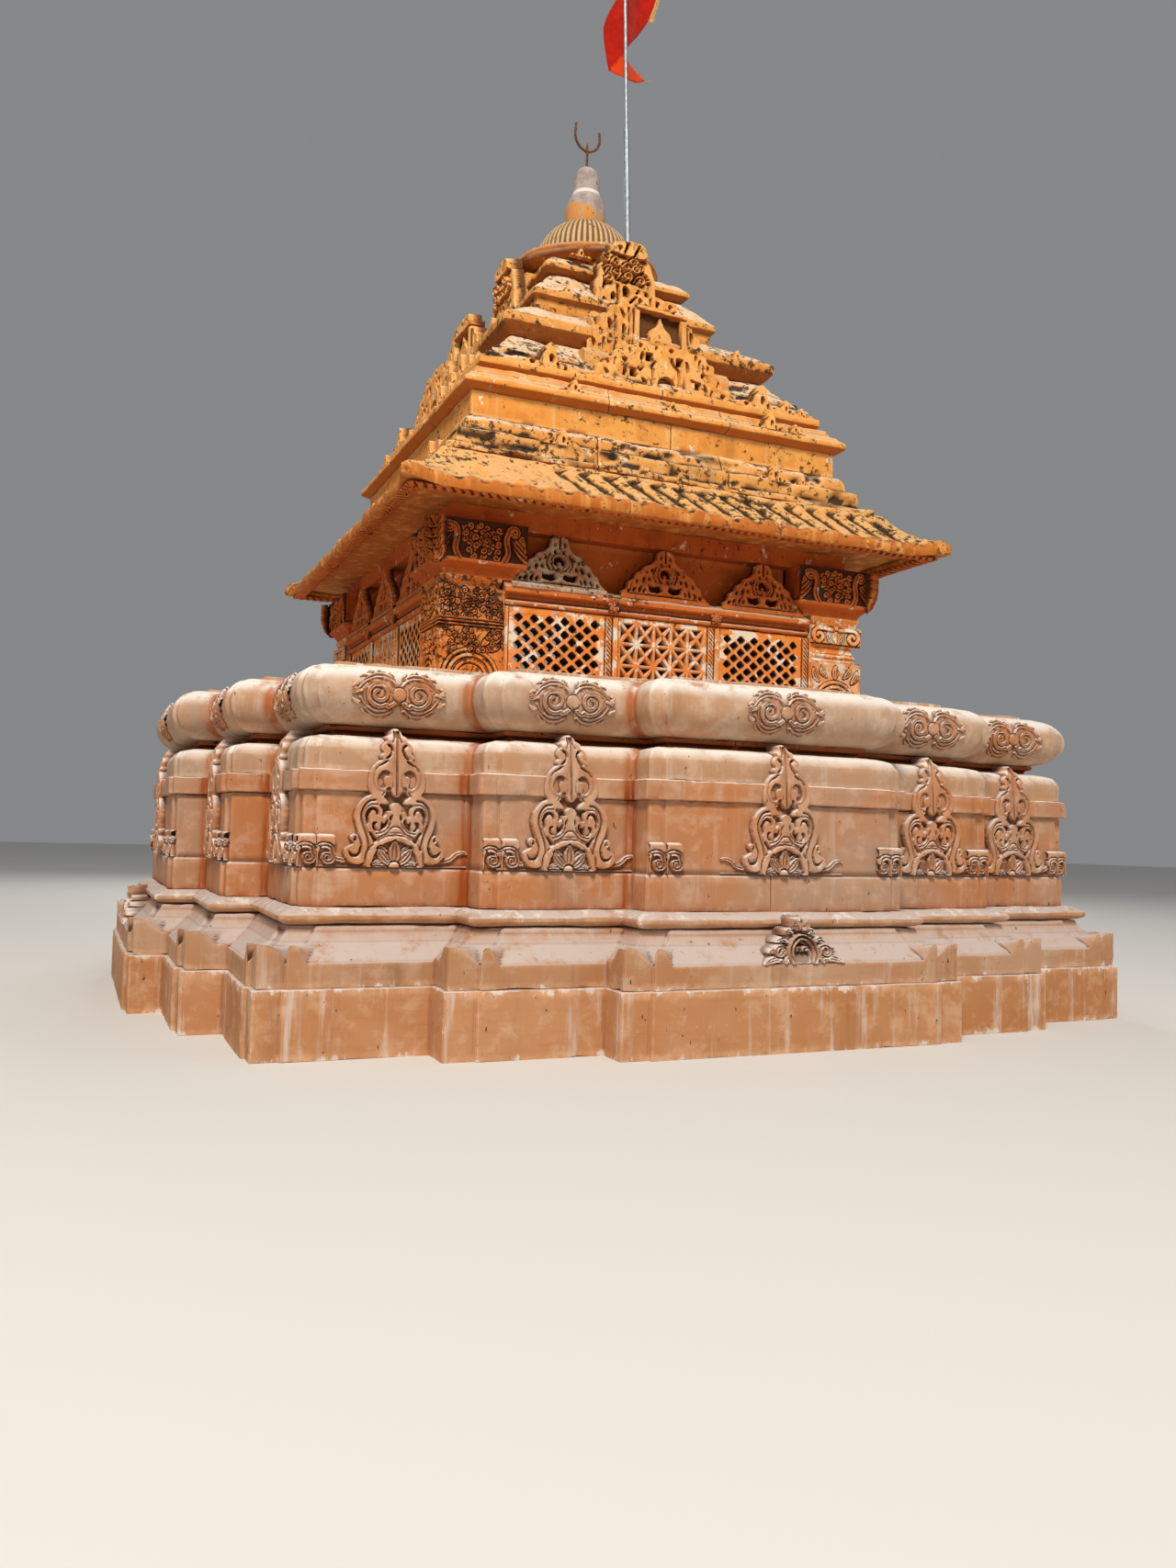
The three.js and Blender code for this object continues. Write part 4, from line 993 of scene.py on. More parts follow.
PODIUM = [  # node, strip, section, finish, and the length of a block
    ("base_course", BASE_STRIP, fine_profile(BASE_FACE), base_sandstone, 1.15),
    ("sloped_course", BASE_STRIP, SLOPE_FACE, dusty_sandstone, 1.1),
    ("knife_edge_course", 0, KNIFE_FACE, dusty_sandstone, 1.2),
    ("wall_course", WALL_STRIP, fine_profile(WALL_FACE), rubbed_sandstone, 0.95),
    ("belt_course", WALL_STRIP, fine_profile(BELT_FACE), rubbed_sandstone, 1.1),
    ("shoulder_course", WALL_STRIP, fine_profile(SHOULDER_FACE), roll_sandstone, 1.0),
    ("recess_course", 0, fine_profile(RECESS_FACE), shaded_stone, 0.6),
    ("roll_course", WALL_STRIP, ROLL_FACE, roll_sandstone, 1.2),
    ("platform_slab", 0, PLATFORM_FACE, dusty_sandstone, 0.9),
]


def rusty(reach, heights):
    """Rust in the re-entrant corners and along the foot of the wall."""
    corner = np.exp(-(reach / 0.045) ** 2)
    on_wall = (heights > KNIFE_TOP - 0.01) * (heights < WALL_TOP)
    foot = 0.55 * np.exp(-np.clip(heights - KNIFE_TOP, 0, 9) / 0.03) * on_wall
    return np.clip(np.maximum(corner, foot), 0, 1)


RUBBED = (0.0025, 0.0012, 0.006, 0.0035)  # the podium's waves, pits and chips, and what counts as an edge
for number, (node, strip, profile, finish, block) in enumerate(PODIUM):
    plan = podium_plan(strip)
    ears = node == "sloped_course"
    places = stations(plan, STEP, block, ears=ears, seed=number)
    points, faces, reach, joint = course(plan, profile, places, lift=raise_ears if ears else None)
    below_rust = node in ("base_course", "sloped_course", "knife_edge_course", "platform_slab")
    rust = np.exp(-reach / 0.02) * 0.5 if below_rust else rusty(reach, points[:, 2])
    add_piece(node + "_stone", points, faces, finish, node, 38, worn(number, *RUBBED), rust, joint * 0.8)
print("podium triangles:", sum(made.values()))

# %% [markdown]
# ## The scrolls on the wall
# One carving stands in the middle of every bay: an onion over a heart, and a half lotus under a round
# arch. It is a flat plate of stone with its pattern cut into it, deep pockets round the curls and fine
# lines between the ribbons, so it is drawn the same way: an outline, pockets, lines and buttons. It
# is drawn once, on its right half, and set twenty times, and each copy is weathered by its own place.

# %% Outline of the wall scroll
MIDDLE_PLANE = CORNER_HALF + MIDDLE_BAY_OUT
CENTRE_PLANE = MIDDLE_PLANE + CENTRE_BAY_OUT
BAY_CENTRES = (
    (-1.80, CORNER_HALF), (-1.04, MIDDLE_PLANE), (0, CENTRE_PLANE), (1.04, MIDDLE_PLANE), (1.80, CORNER_HALF)
)
SCROLL_FOOT = 0.808
SCROLL_UNIT = (0.00494, 0.00457)  # the drawing's unit, across and up
scroll = Relief(-0.345, 0.345, 0, 0.626, 0.0042, unit=SCROLL_UNIT)
VOLUTE_EDGE = [
    (-4, 0), (26, 0), (28, 4), (32, 2.4), (37, 2.6), (42, 5), (45.6, 9.2), (47, 14), (45.6, 18), (41.5, 20.6)
]
VOLUTE_EDGE += [(38, 22.6), (39.6, 24.8), (41.6, 27.6), (40.6, 30.6), (37.4, 32.2), (34.4, 31.4)]
HEART_EDGE = [
    (36.2, 39.2), (37.9, 45.7), (38.2, 50.7), (37, 55.9), (35, 60.3), (31.4, 65.2), (26.9, 69), (23.6, 71),
]
ONION_EDGE = [(26.2, 76), (26.8, 83), (26, 89.4), (24, 95.3), (20.9, 100.2), (17.4, 103.6), (13.8, 105.6)]
NECK_EDGE = [
    (15.6, 107.2), (15.2, 110), (13.2, 112.4), (14.9, 116), (13.9, 119.5), (11.4, 122.6), (9.4, 124),
    (10, 126.8),
]
NECK_EDGE += [(8.5, 129.4), (5.6, 130.7), (5, 134), (2.4, 136.4), (-4, 136.8)]
scroll.fill(VOLUTE_EDGE + HEART_EDGE + ONION_EDGE + NECK_EDGE, 1.0, smooth=True)
scroll.stroke([(27, 0.5), (76, 0.5)], 0.009, 0.3, groove=0, smooth=False)
scroll.stroke([(46, 6), (53, 8), (60, 14), (68, 15), (76, 11)], 0.020, 0.55, tip=0.4, groove=0.3, moat=0.004)
print("the scroll's grid:", scroll.size)

# %% Pockets, from the top down
for pocket in (
    [(4.2, 114.7), (4.7, 118.2), (6.7, 120.7), (9.4, 120.8), (8.4, 118.4), (6.9, 117.4), (6.2, 115),
     (7, 111.6), (8.9, 108.9), (11.6, 106), (8, 106.6), (5.5, 109.7)],
    [(8.4, 105.6), (12.3, 103.1), (16.6, 99.4), (14.8, 99.6), (11.3, 101.6), (8.6, 103.6)],
    [(6.5, 92.2), (9.5, 94.6), (13.5, 94.4), (16.6, 91.2), (18.1, 86), (17.5, 81.3), (15.6, 78),
     (13.3, 76.8), (11.2, 78.2), (11.1, 81), (12.4, 84), (11.9, 87), (10.2, 88.9), (8.2, 88.9), (7, 90.2)],
    [(-4, 68.6), (0, 68.6), (3.3, 70.2), (5.3, 74.4), (5.2, 77), (6.3, 78.6), (8.1, 78.5), (9.4, 76.7),
     (9, 74.2), (10.3, 70.8), (11.8, 69), (8.8, 65.8), (6.8, 62), (10.3, 61.4), (14.4, 61.5), (15.3, 60),
     (12.8, 57), (12.3, 53), (12.8, 49.8), (10.4, 49.8), (9.4, 51.8), (8.9, 54.2), (6.7, 54.8),
     (4.8, 55.2), (6, 57.6), (4.3, 60.9), (1.2, 63), (-4, 63.2)],
    [(16.4, 51.2), (16.9, 55.7), (20.1, 58.3), (24.2, 57.6), (27, 54), (28.1, 50), (27.2, 45.4),
     (26.4, 41), (24.8, 44.5), (24.9, 49.4), (23.6, 52.6), (22, 55.4), (19.6, 55.4), (18.2, 53.2),
     (17.9, 51)],
    [(18.1, 44.6), (20.8, 43.6), (21.6, 40.7), (20.9, 37.5), (18.5, 35.5), (15.8, 35.3), (17.8, 37),
     (19.1, 39.5), (18.8, 41.8), (17.4, 43)],
    [(8, 46.8), (7.5, 43.2), (9, 39.7), (11.7, 36.8), (14.8, 35.2), (13.9, 38.6), (13.8, 42), (13.2, 44.6),
     (12.3, 43), (10.7, 42.8), (9.3, 44.2), (9, 46.6)],
    [(3.6, 51.4), (5.2, 49.6), (5.8, 47.3), (4.8, 45.4), (3.6, 48)],
    [(16.6, 26.7), (19, 29.4), (21.3, 32.6), (24, 34.2), (22.6, 30.2), (20.6, 25.6), (19.2, 23.2)],
    [(30.6, 20.4), (31, 15.1), (33.4, 10.9), (37.4, 9.4), (40.9, 11.2), (42.4, 15.8), (40.6, 13.9),
     (38.4, 12.3), (35.4, 12.4), (33.1, 14.8), (32.4, 18.8)],
    [(36.2, 29.4), (38, 28.2), (37.8, 25.5), (35.6, 26)],
):
    scroll.pierce(pocket, 0.06, smooth=True)
print("pockets cut to", scroll.height[scroll.height > 0].min())

# %% Lines between the ribbons, buttons and the lotus
for points, width, depth, smooth in (
    ([(0, 71), (0, 134)], 0.007, 0.2, False),
    ([(2.2, 134), (2, 129), (4.2, 123)], 0.008, 0.28, True),
    ([(16.6, 99.4), (19.8, 94.8), (21.6, 88.7), (21.5, 83.3), (19.9, 78.7), (16.6, 75.2),
     (12, 73.4)], 0.009, 0.28, True),
    ([(5, 92), (4, 86), (4.2, 79)], 0.007, 0.2, True),
    ([(19.6, 65.4), (24.6, 64.2), (28.9, 59.5), (31.3, 53), (31.3, 46.5), (29.2, 39), (26.6, 31.4),
     (24.8, 24.2), (24, 17)], 0.011, 0.45, True),
    ([(17, 61), (23.6, 60.8), (27.8, 56.4), (29.4, 50.6), (28.6, 45), (26.2, 37),
     (23.8, 31)], 0.007, 0.18, True),
    ([(34.2, 31.6), (31.6, 25), (30.8, 20)], 0.009, 0.35, True),
    ([(8, 75), (10.6, 73), (13, 70)], 0.009, 0.3, True),
    ([(27.3, 0), (26.4, 12), (23.2, 18.8), (17, 25), (9, 29.8), (0, 31.4)], 0.010, 0.32, True),
    ([(0, 39.8), (3.5, 38.8), (7, 34.6), (11, 31.4), (16.4, 28.4)], 0.009, 0.3, True),
    ([(0, 33.6), (5.4, 33.2), (9, 31.4)], 0.007, 0.22, True),
    ([(4.6, 45), (7, 38.6), (12, 34), (18, 32.6)], 0.008, 0.25, True),
):
    scroll.line(points, width, depth, smooth)
scroll.pierce(arc(0, 0, 21.5, 0, 90, 1.2) + [(-4, 25.8), (-4, 0)], 0.3)
for points, width, height in (
    ([(7, 11), (11, 17.5), (15, 20)], 0.030, 0.62),
    ([(6, 1.5), (14, 4.6), (21.5, 2)], 0.026, 0.78),
    ([(3, 2), (10, 9.5), (16, 18.5)], 0.042, 0.85),
    ([(0, 2), (0, 13), (0, 26)], 0.052, 0.98),
):
    scroll.leaf(points, width, height, moat=0.005)
scroll.boss(0, 0, 0.026, 1.0, moat=0.005)
for x, z, radius in (
    (9.3, 86.4, 0.0125), (6.4, 81, 0.011), (14.6, 108, 0.0085), (20.6, 52.9, 0.0125), (16.4, 39.4, 0.0105),
    (10.7, 45.5, 0.008), (6.6, 52, 0.0095), (38.6, 28, 0.009),
):
    scroll.boss(x, z, radius, 1.06, dome=0.35)
scroll_mesh = scroll.mesh(depth=0.038, keep=0.27)
print("one wall scroll:", len(scroll_mesh[1]), "faces")

# %% The wall behind the carving
WALL_HEIGHTS = (0.6, 1.138, 1.148, 1.237, 1.243, 1.31, 1.34, 1.37, 1.39, 1.40, 1.45)
WALL_BACKS = (0.228, 0.228, 0.203, 0.203, 0.228, 0.228, 0.234, 0.251, 0.277, 0.322, 0.36)
SCROLL_FRONT = (0.6, 1.30, 1.38, 1.44), (0.187, 0.187, 0.207, 0.25)


def set_on_wall(carving, centre, plane, foot):
    """Bends a carving onto the wall of a bay, and finds its hollows, for dirt and painted shade."""
    points, faces = carving
    across, up, height = points.T
    level = foot + up
    ground = np.interp(level, WALL_HEIGHTS, WALL_BACKS)
    front = np.interp(level, *SCROLL_FRONT)
    back = ground + (front - ground) * height
    return np.column_stack([centre + across, back - plane, level]), faces, hollows(height, 0.85, 0.1, 0.45)


for name, turns in SIDES:
    copies = [set_on_wall(scroll_mesh, centre, plane, SCROLL_FOOT) for centre, plane in BAY_CENTRES]
    wear = worn(31, 0.0012, 0.0012, 0.0012, 0.0035)
    add_copies("wall_scrolls_" + name, copies, turns, rubbed_sandstone, None, 50, wear)
print("wall scrolls:", made["wall_scrolls_front"], "triangles on a side")

# %% [markdown]
# ## Medallions, corner leaves and palmettes
# The roll carries a flat medallion over each wall scroll: a button between two spirals, with flames
# above and below. It is bent round the roll. Each end of a bay has a small curled leaf at the scroll's
# foot, and the middle of each side has a thick palmette that stands on the sloped course's fillet.

# %% Medallions on the roll
ROLL_MIDDLE, ROLL_RISE, MEDALLION_HEIGHT, MEDALLION_RAISED = 1.5875, 0.1375, 1.584, 0.02
medallion = Relief(-0.215, 0.215, -0.118, 0.125, 0.0042, unit=SCROLL_UNIT)
medallion.fill(
    [(0, 12), (14, 19), (28, 16), (37, 8), (40, 0), (36, -9), (26, -17), (12, -18), (0, -12)], 0.35,
)
for points, width in (
    ([(3, 15), (6, 20), (9, 25)], 0.016),
    ([(10, 21), (15, 25), (20, 26)], 0.015),
    ([(18, 20), (24, 24), (29, 23)], 0.014),
    ([(27, 17), (32, 19), (36, 16)], 0.013),
    ([(3, -14), (8, -21), (13, -26)], 0.016),
    ([(12, -20), (19, -24), (24, -22)], 0.014),
    ([(24, -19), (30, -20), (35, -15)], 0.014),
    ([(34, 9), (40, 8), (44, 4)], 0.017),
    ([(33, -8), (39, -9), (45, -4)], 0.017),
):
    medallion.leaf(points, width, 0.85, moat=0.004)
medallion.leaf([(33, 2), (40, 2), (47, -1)], 0.026, 0.95, moat=0.004)
for rise, fall in ((21.5, -21), (17, -16.5)):
    above = [(2, 8), (8, rise * 0.86), (19, rise), (30, rise * 0.72), (37, 5)]
    below = [(2, -9), (9, fall * 0.86), (20, fall), (30, fall * 0.7), (36, -4)]
    for points in (above, below):
        medallion.stroke(points, 0.012, 0.85, groove=0, tip=0.7, moat=0.004)
medallion.stroke(
    [(4, -8), (10, -12)] + spiral(18.5, 0, 12, 3.6, 235, 560), 0.0185, 1.0, groove=0.2, tip=0.85, moat=0.006,
)
medallion.boss(0, 0, 0.031, 1.0, moat=0.006, dome=0.25)
medallion_mesh = medallion.mesh(depth=MEDALLION_RAISED, keep=0.28)
print("one medallion:", len(medallion_mesh[1]), "faces")


def set_on_roll(centre, plane):
    """Bends a medallion round the roll."""
    points, faces = medallion_mesh
    across, up, height = points.T
    angle = (up + MEDALLION_HEIGHT - ROLL_MIDDLE) / ROLL_RISE
    out = MEDALLION_RAISED * height - 0.003
    back = ROLL_CORE_INSET - (ROLL_BULGE + out) * np.cos(angle)
    level = ROLL_MIDDLE + (ROLL_RISE + out) * np.sin(angle)
    return np.column_stack([centre + across, back - plane, level]), faces, hollows(height, 0.8, 0.05, 0.5)


# %% Corner leaves
LEAF_HALF, LEAF_FOOT = 0.04, 0.805
corner_leaf = Relief(-LEAF_HALF, LEAF_HALF, 0, 0.17, 0.0042, mirrored=False, unit=(0.001, 0.001))
corner_leaf.stroke([(-24, 118), (24, 118)], 0.052, 0.75, groove=0, smooth=False)
corner_leaf.boss(8, 128, 0.007, 0.05)
curl = [(-34, 78), (-22, 92), (2, 94), (22, 84), (27, 62)] + spiral(8, 44, 26, 9, 30, -430)
corner_leaf.stroke(curl, 0.024, 0.95, groove=0.3, tip=0.7, moat=0.008)
corner_leaf.stroke([(-38, 8), (-38, 60), (-30, 84)], 0.014, 0.7, groove=0, moat=0.004)
leaf_points, leaf_faces = corner_leaf.mesh(depth=0.03, keep=0.35)
print("one corner leaf:", len(leaf_faces), "faces")
STRIP_MIDDLE, BESIDE_STRIP = 0.038, 0.118


def corner_leaves():
    """The centres, planes and directions of the curled leaves at the ends of the bays of one side."""
    for half, plane in (
        (CORNER_HALF, CORNER_HALF), (MIDDLE_BAY_HALF, MIDDLE_PLANE), (CENTRE_BAY_HALF, CENTRE_PLANE),
    ):
        end = half - WALL_INSET
        for way in (-1, 1):
            yield way * (end - STRIP_MIDDLE), plane - STRIP_SET_BACK, way
            yield way * (end - BESIDE_STRIP), plane, way


# %% Palmettes on the sloped course
palmette = Relief(-0.235, 0.235, 0, 0.215, 0.0045, unit=(0.0047, 0.0042))
palmette.fill([(48, 0), (41, 7), (36, 13), (27, 22), (18, 24), (11, 33), (8, 49), (0, 50), (0, 0)], 0.72)
palmette.leaf([(22, 3), (34, 5), (48, 0)], 0.030, 0.95, moat=0.006)
palmette.leaf([(22, 8), (33, 14), (41, 11)], 0.030, 0.95, moat=0.006)
palmette.stroke([(22, 2), (17, 10)] + spiral(26.5, 13, 7, 2.4, 190, -380), 0.020, 1.0, groove=0.2, moat=0.007)
for points, width, height in (
    ([(14, 22), (22, 26), (30, 22)], 0.028, 0.95),
    ([(8, 31), (14, 35), (18, 30)], 0.026, 0.95),
    ([(2, 34), (7, 42), (8, 50)], 0.030, 1.0),
    ([(0, 33), (0, 40), (0, 49)], 0.024, 0.9),
):
    palmette.leaf(points, width, height, moat=0.006)
palmette.pierce([(0, 0), (7, 2), (9, 10), (6, 19), (0, 22)], 0.2)
palmette.stroke([(12, 1), (15, 10), (12, 21), (6, 27), (0, 29)], 0.028, 1.0, groove=0.3, moat=0.007)
palmette.stroke(spiral(4.5, 15, 4, 1.2, 200, -280), 0.012, 0.8, groove=0, moat=0.004)
palmette_points, palmette_faces = palmette.mesh(depth=0.1, keep=0.4)
GROUND_HEIGHTS = (0.405, 0.44, 0.485, 0.525, 0.555, 0.56, 0.64)
GROUND_BACKS = (0.022, 0.072, 0.127, 0.157, 0.17, 0.15, 0.15)


def set_on_slope(plane):
    """Sets a palmette on the sloped course, with an upright front above the fillet."""
    across, up, height = palmette_points.T
    level = FILLET_TOP + up
    ground = np.interp(level, GROUND_HEIGHTS, GROUND_BACKS)
    front = np.interp(level, (0.405, 0.62), (0.006, 0.045))
    back = ground + (front - ground) * height
    return np.column_stack([across, back - plane, level]), palmette_faces, hollows(height, 0.85, 0.15, 0.7)


for name, turns in SIDES:
    copies = [set_on_roll(centre, plane) for centre, plane in BAY_CENTRES]
    wear = worn(41, 0.001, 0.0008, 0.0008, 0.003)
    add_copies("roll_medallions_" + name, copies, turns, rubbed_sandstone, None, 50, wear)
    copies = []
    for centre, plane, way in corner_leaves():
        turned_faces = leaf_faces if way < 0 else [face[::-1] for face in leaf_faces]
        copies.append(set_on_wall((leaf_points * (-way, 1, 1), turned_faces), centre, plane, LEAF_FOOT))
    add_copies("corner_leaves_" + name, copies, turns, rubbed_sandstone, None, 50, wear)
    wear = worn(43, 0.002, 0.002, 0.003)
    add_copies("palmette_" + name, [set_on_slope(CENTRE_PLANE)], turns, rubbed_sandstone, None, 50, wear)
print("carvings:", {k: v for k, v in made.items() if k.endswith("_front")})

# %% [markdown]
# ## The shrine's pillars
# A short pillar stands at each corner: a base block with half a rosette, a plain shaft between two
# fillets, and a block with two volutes under its neck. The core is a course on a small square plan,
# and each outer face carries a carved panel. The pillar on the photograph's left is cut deeper, with
# leaves all over its upper block, and it has lost most of its paint.

# %% Shrine sizes
FLOOR_TOP, FLOOR_HALF = 1.79, 1.45
PILLAR_OUTER, PILLAR_INNER, PILLAR_TOP = 1.38, 1.0, 2.37
CAPITAL_OUTER, CAPITAL_REACH, CAPITAL_DEPTH, CAPITAL_TOP = 1.42, 0.53, 0.22, 2.67
CARVED = 0.02  # the depth of the panels' carving
CORNERS = ["front_left", "front_right", "back_right", "back_left"]

FLOOR_PLAN, FLOOR_FACE = square_plan(FLOOR_HALF), [(0, PLATFORM_TOP), (0, FLOOR_TOP), (0.1, FLOOR_TOP)]
floor_points, floor_faces, _, _ = course(
    FLOOR_PLAN, fine_profile(FLOOR_FACE), stations(FLOOR_PLAN, 0.05, seed=51),
)
wear = worn(51, *RUBBED)
add_piece("shrine_floor_stone", floor_points, floor_faces, peeling_limewash, "shrine_floor", wear=wear)


def on_face(carving, plane, depth, turns, middle, foot, dirt_and_shade, mirror=False):
    """Sets a carved panel on an upright plane of one side. Height 0 is the plane, and the argument before
    mirror says how much dirt and painted shade lie in hollows, between which heights."""
    points, faces = carving
    across, up, height = points.T
    placed = np.column_stack([middle + (-across if mirror else across), -(plane + depth * height), foot + up])
    turned_faces = [face[::-1] for face in faces] if mirror else faces
    return quarter_turned(placed, turns), turned_faces, hollows(height, *dirt_and_shade)


def foliage(relief, left, right, low, high, count, seed, size=0.03):
    """Fills a field with small curled leaves, as carved scrollwork is after long wear."""
    random = np.random.default_rng(seed)
    spots = []
    while len(spots) < count:
        x, z = random.uniform(left, right), random.uniform(low, high)
        gap = min([math.hypot(x - a, z - b) for a, b in spots] + [9])
        if gap > size * 0.85 or random.uniform() < 0.02:
            spots.append((x, z))
            turn, way = random.uniform(0, 360), random.choice([-1, 1])
            curl = spiral(x, z, size * 0.55, size * 0.12, turn, way * 400)
            relief.stroke(curl, size * 0.3, 0.95, groove=0, moat=0.006)


print("pillars stand", PILLAR_OUTER, "m out, and their capitals", CAPITAL_OUTER)


# %% Carved faces of a pillar
PANEL_HALF, PANEL_FOOT = 0.186, 1.80
BLOCK_TOP, SHAFT_TOP, VOLUTE_TOP = 0.29, 0.405, 0.515


def half_rosette(relief):
    """Half a lotus under three arches, at the foot of a block."""
    relief.fill([(-0.2, 0), (0.2, 0), (0.2, BLOCK_TOP), (-0.2, BLOCK_TOP)], 0.55)
    for radius, width in ((0.155, 0.018), (0.125, 0.02), (0.09, 0.018)):
        relief.stroke(arc(0, 0.012, radius, 0, 180), width, 1.0, groove=0, moat=0.006)
    for angle in (30, 60, 90):
        x, z = math.cos(math.radians(angle)), math.sin(math.radians(angle))
        petal = [(0.02 * x, 0.02 + 0.02 * z), (0.05 * x, 0.012 + 0.05 * z), (0.078 * x, 0.012 + 0.078 * z)]
        relief.leaf(petal, 0.024, 0.9)
    relief.leaf([(0.118, 0.16), (0.15, 0.2), (0.165, 0.25)], 0.04, 0.95, moat=0.007)
    relief.leaf([(0.06, 0.19), (0.1, 0.23), (0.105, 0.265)], 0.035, 0.9, moat=0.007)
    relief.leaf([(0, 0.18), (0, 0.22), (0, 0.27)], 0.045, 0.95, moat=0.007)


def pillar_panel(leafy):
    """The carved face of a pillar, from its foot to its neck."""
    relief = Relief(-PANEL_HALF, PANEL_HALF, 0, VOLUTE_TOP, 0.0048, mirrored=not leafy)
    half_rosette(relief)
    if leafy:
        relief.fill([(-0.2, BLOCK_TOP), (0.2, BLOCK_TOP), (0.2, VOLUTE_TOP), (-0.2, VOLUTE_TOP)], 0.5)
        foliage(relief, -0.17, 0.17, 0.345, 0.5, 40, 3)
        foliage(relief, -0.17, 0.17, 0.16, 0.28, 26, 4, 0.026)
        for level in (0.3, 0.318, 0.336):
            relief.stroke([(-0.2, level), (0.2, level)], 0.011, 0.9, groove=0, moat=0.004, smooth=False)
        return relief.mesh(CARVED * 1.25, keep=0.34, all_cells=True)
    relief.fill([(-0.2, SHAFT_TOP), (0.2, SHAFT_TOP), (0.2, VOLUTE_TOP), (-0.2, VOLUTE_TOP)], 0.5)
    relief.stroke([(0, VOLUTE_TOP - 0.012), (0.2, VOLUTE_TOP - 0.012)], 0.024, 0.9, groove=0, smooth=False)
    relief.leaf([(0, SHAFT_TOP), (0, 0.44), (0, 0.485)], 0.06, 0.8, moat=0.006)
    relief.leaf([(0.01, SHAFT_TOP), (0.045, 0.44), (0.06, 0.485)], 0.04, 0.7, moat=0.005)
    volute = [(0.03, 0.495), (0.1, 0.498)] + spiral(0.125, 0.45, 0.048, 0.012, 80, -420)
    relief.stroke(volute, 0.024, 1.0, groove=0, moat=0.008)
    return relief.mesh(CARVED, keep=0.3)


PILLAR_FACE = [
    (0.018, FLOOR_TOP), (0.018, 2.086), (0.03, 2.092), (0.03, 2.104), (0.04, 2.108), (0.04, 2.118),
    (0.028, 2.124),
]
PILLAR_FACE += [
    (0.028, 2.136), (0.042, 2.142), (0.042, 2.165), (0.042, 2.188), (0.03, 2.196), (0.018, 2.204),
    (0.018, PILLAR_TOP - 0.06),
]
PILLAR_FACE += [
    (0.026, PILLAR_TOP - 0.052), (0.022, PILLAR_TOP - 0.03), (0.012, PILLAR_TOP - 0.012), (0.012, PILLAR_TOP)
]
pillar_half, pillar_middle = (PILLAR_OUTER - PILLAR_INNER) / 2, -(PILLAR_OUTER + PILLAR_INNER) / 2
small_square = [(x + pillar_middle, y + pillar_middle) for x, y in square_plan(pillar_half)]
panels = {True: pillar_panel(True), False: pillar_panel(False)}
for turns, corner in enumerate(CORNERS):
    leafy = corner == "front_left"
    core = course(small_square, fine_profile(PILLAR_FACE), stations(small_square, 0.04, 9, seed=turns))
    copies = [plain(core[0], core[1])]
    for more, shift in ((0, pillar_middle), (3, -pillar_middle)):
        place = (PILLAR_OUTER - CARVED, CARVED, more, shift, PANEL_FOOT)
        copies.append(on_face(panels[leafy], *place, (0.9, 0.15, 0.75)))
    finish = scorched_saffron if leafy else peeling_limewash
    wear = worn(53 + turns, 0.0025, 0.002, 0.002, 0.003)
    add_copies("pillar_stone_" + corner, copies, turns, finish, "pillar_" + corner, 45, wear)
print("pillars:", made["pillar_stone_front_left"], "and", made["pillar_stone_front_right"], "triangles")

# %% [markdown]
# ## The capitals
# A bracket lies on each pillar, with an arm along both of its walls. Below it hollows out towards the
# pillar's neck. Its faces are carved with a ribbed leaf at each end, two tall C scrolls and a field of
# leaves between them, and at the corner a leaf grows out along the diagonal. The core is a course on an
# L-shaped plan, which hollows on all of its sides at once.

# %% Capital core, faces and corner leaf
CAPITAL_FACE = [
    (0.062, PILLAR_TOP), (0.058, 2.385), (0.045, 2.405), (0.018, 2.424), (0.004, 2.43), (0.0, 2.446),
    (0.012, 2.454),
]
CAPITAL_FACE += [(0.02, 2.462), (0.02, CAPITAL_TOP)]
arm = CAPITAL_OUTER - CAPITAL_REACH  # how far the arms reach, which is also where the frieze begins
inner = CAPITAL_OUTER - CAPITAL_DEPTH
bracket_plan = [(-CAPITAL_OUTER, -CAPITAL_OUTER), (-arm, -CAPITAL_OUTER), (-arm, -inner), (-inner, -inner)]
bracket_plan += [(-inner, -arm), (-CAPITAL_OUTER, -arm)]
FIELD_HALF, FIELD_FOOT = CAPITAL_REACH / 2, 2.444
FIELD_HIGH = CAPITAL_TOP - FIELD_FOOT
field = Relief(-FIELD_HALF, FIELD_HALF, 0, FIELD_HIGH, 0.0045, mirrored=False)
field.fill([(-0.3, -0.1), (0.3, -0.1), (0.3, 0.3), (-0.3, 0.3)], 0.35)
foliage(field, -0.1, 0.1, 0.02, 0.2, 30, 7, 0.036)
for way in (-1, 1):
    for inward in (0, 0.032, 0.064, 0.096):
        low = [
            (way * (0.262 - inward * 0.1), 0.005 + inward),
            (way * (0.235 - inward * 0.2), 0.05 + inward * 1.1),
        ]
        field.leaf(low + [(way * (0.18 - inward * 0.2), 0.1 + inward * 1.1)], 0.036, 1.0, moat=0.01)
    tall_curl = [(way * 0.125, 0.0), (way * 0.15, 0.06), (way * 0.14, 0.13), (way * 0.155, 0.18)]
    tall_curl += spiral(way * 0.185, 0.175, 0.03, 0.01, 150, -way * 330)
    field.stroke(tall_curl, 0.034, 1.0, groove=0.2, tip=0.7, moat=0.012)
field_mesh = field.mesh(CARVED * 1.5, keep=0.36, all_cells=True)


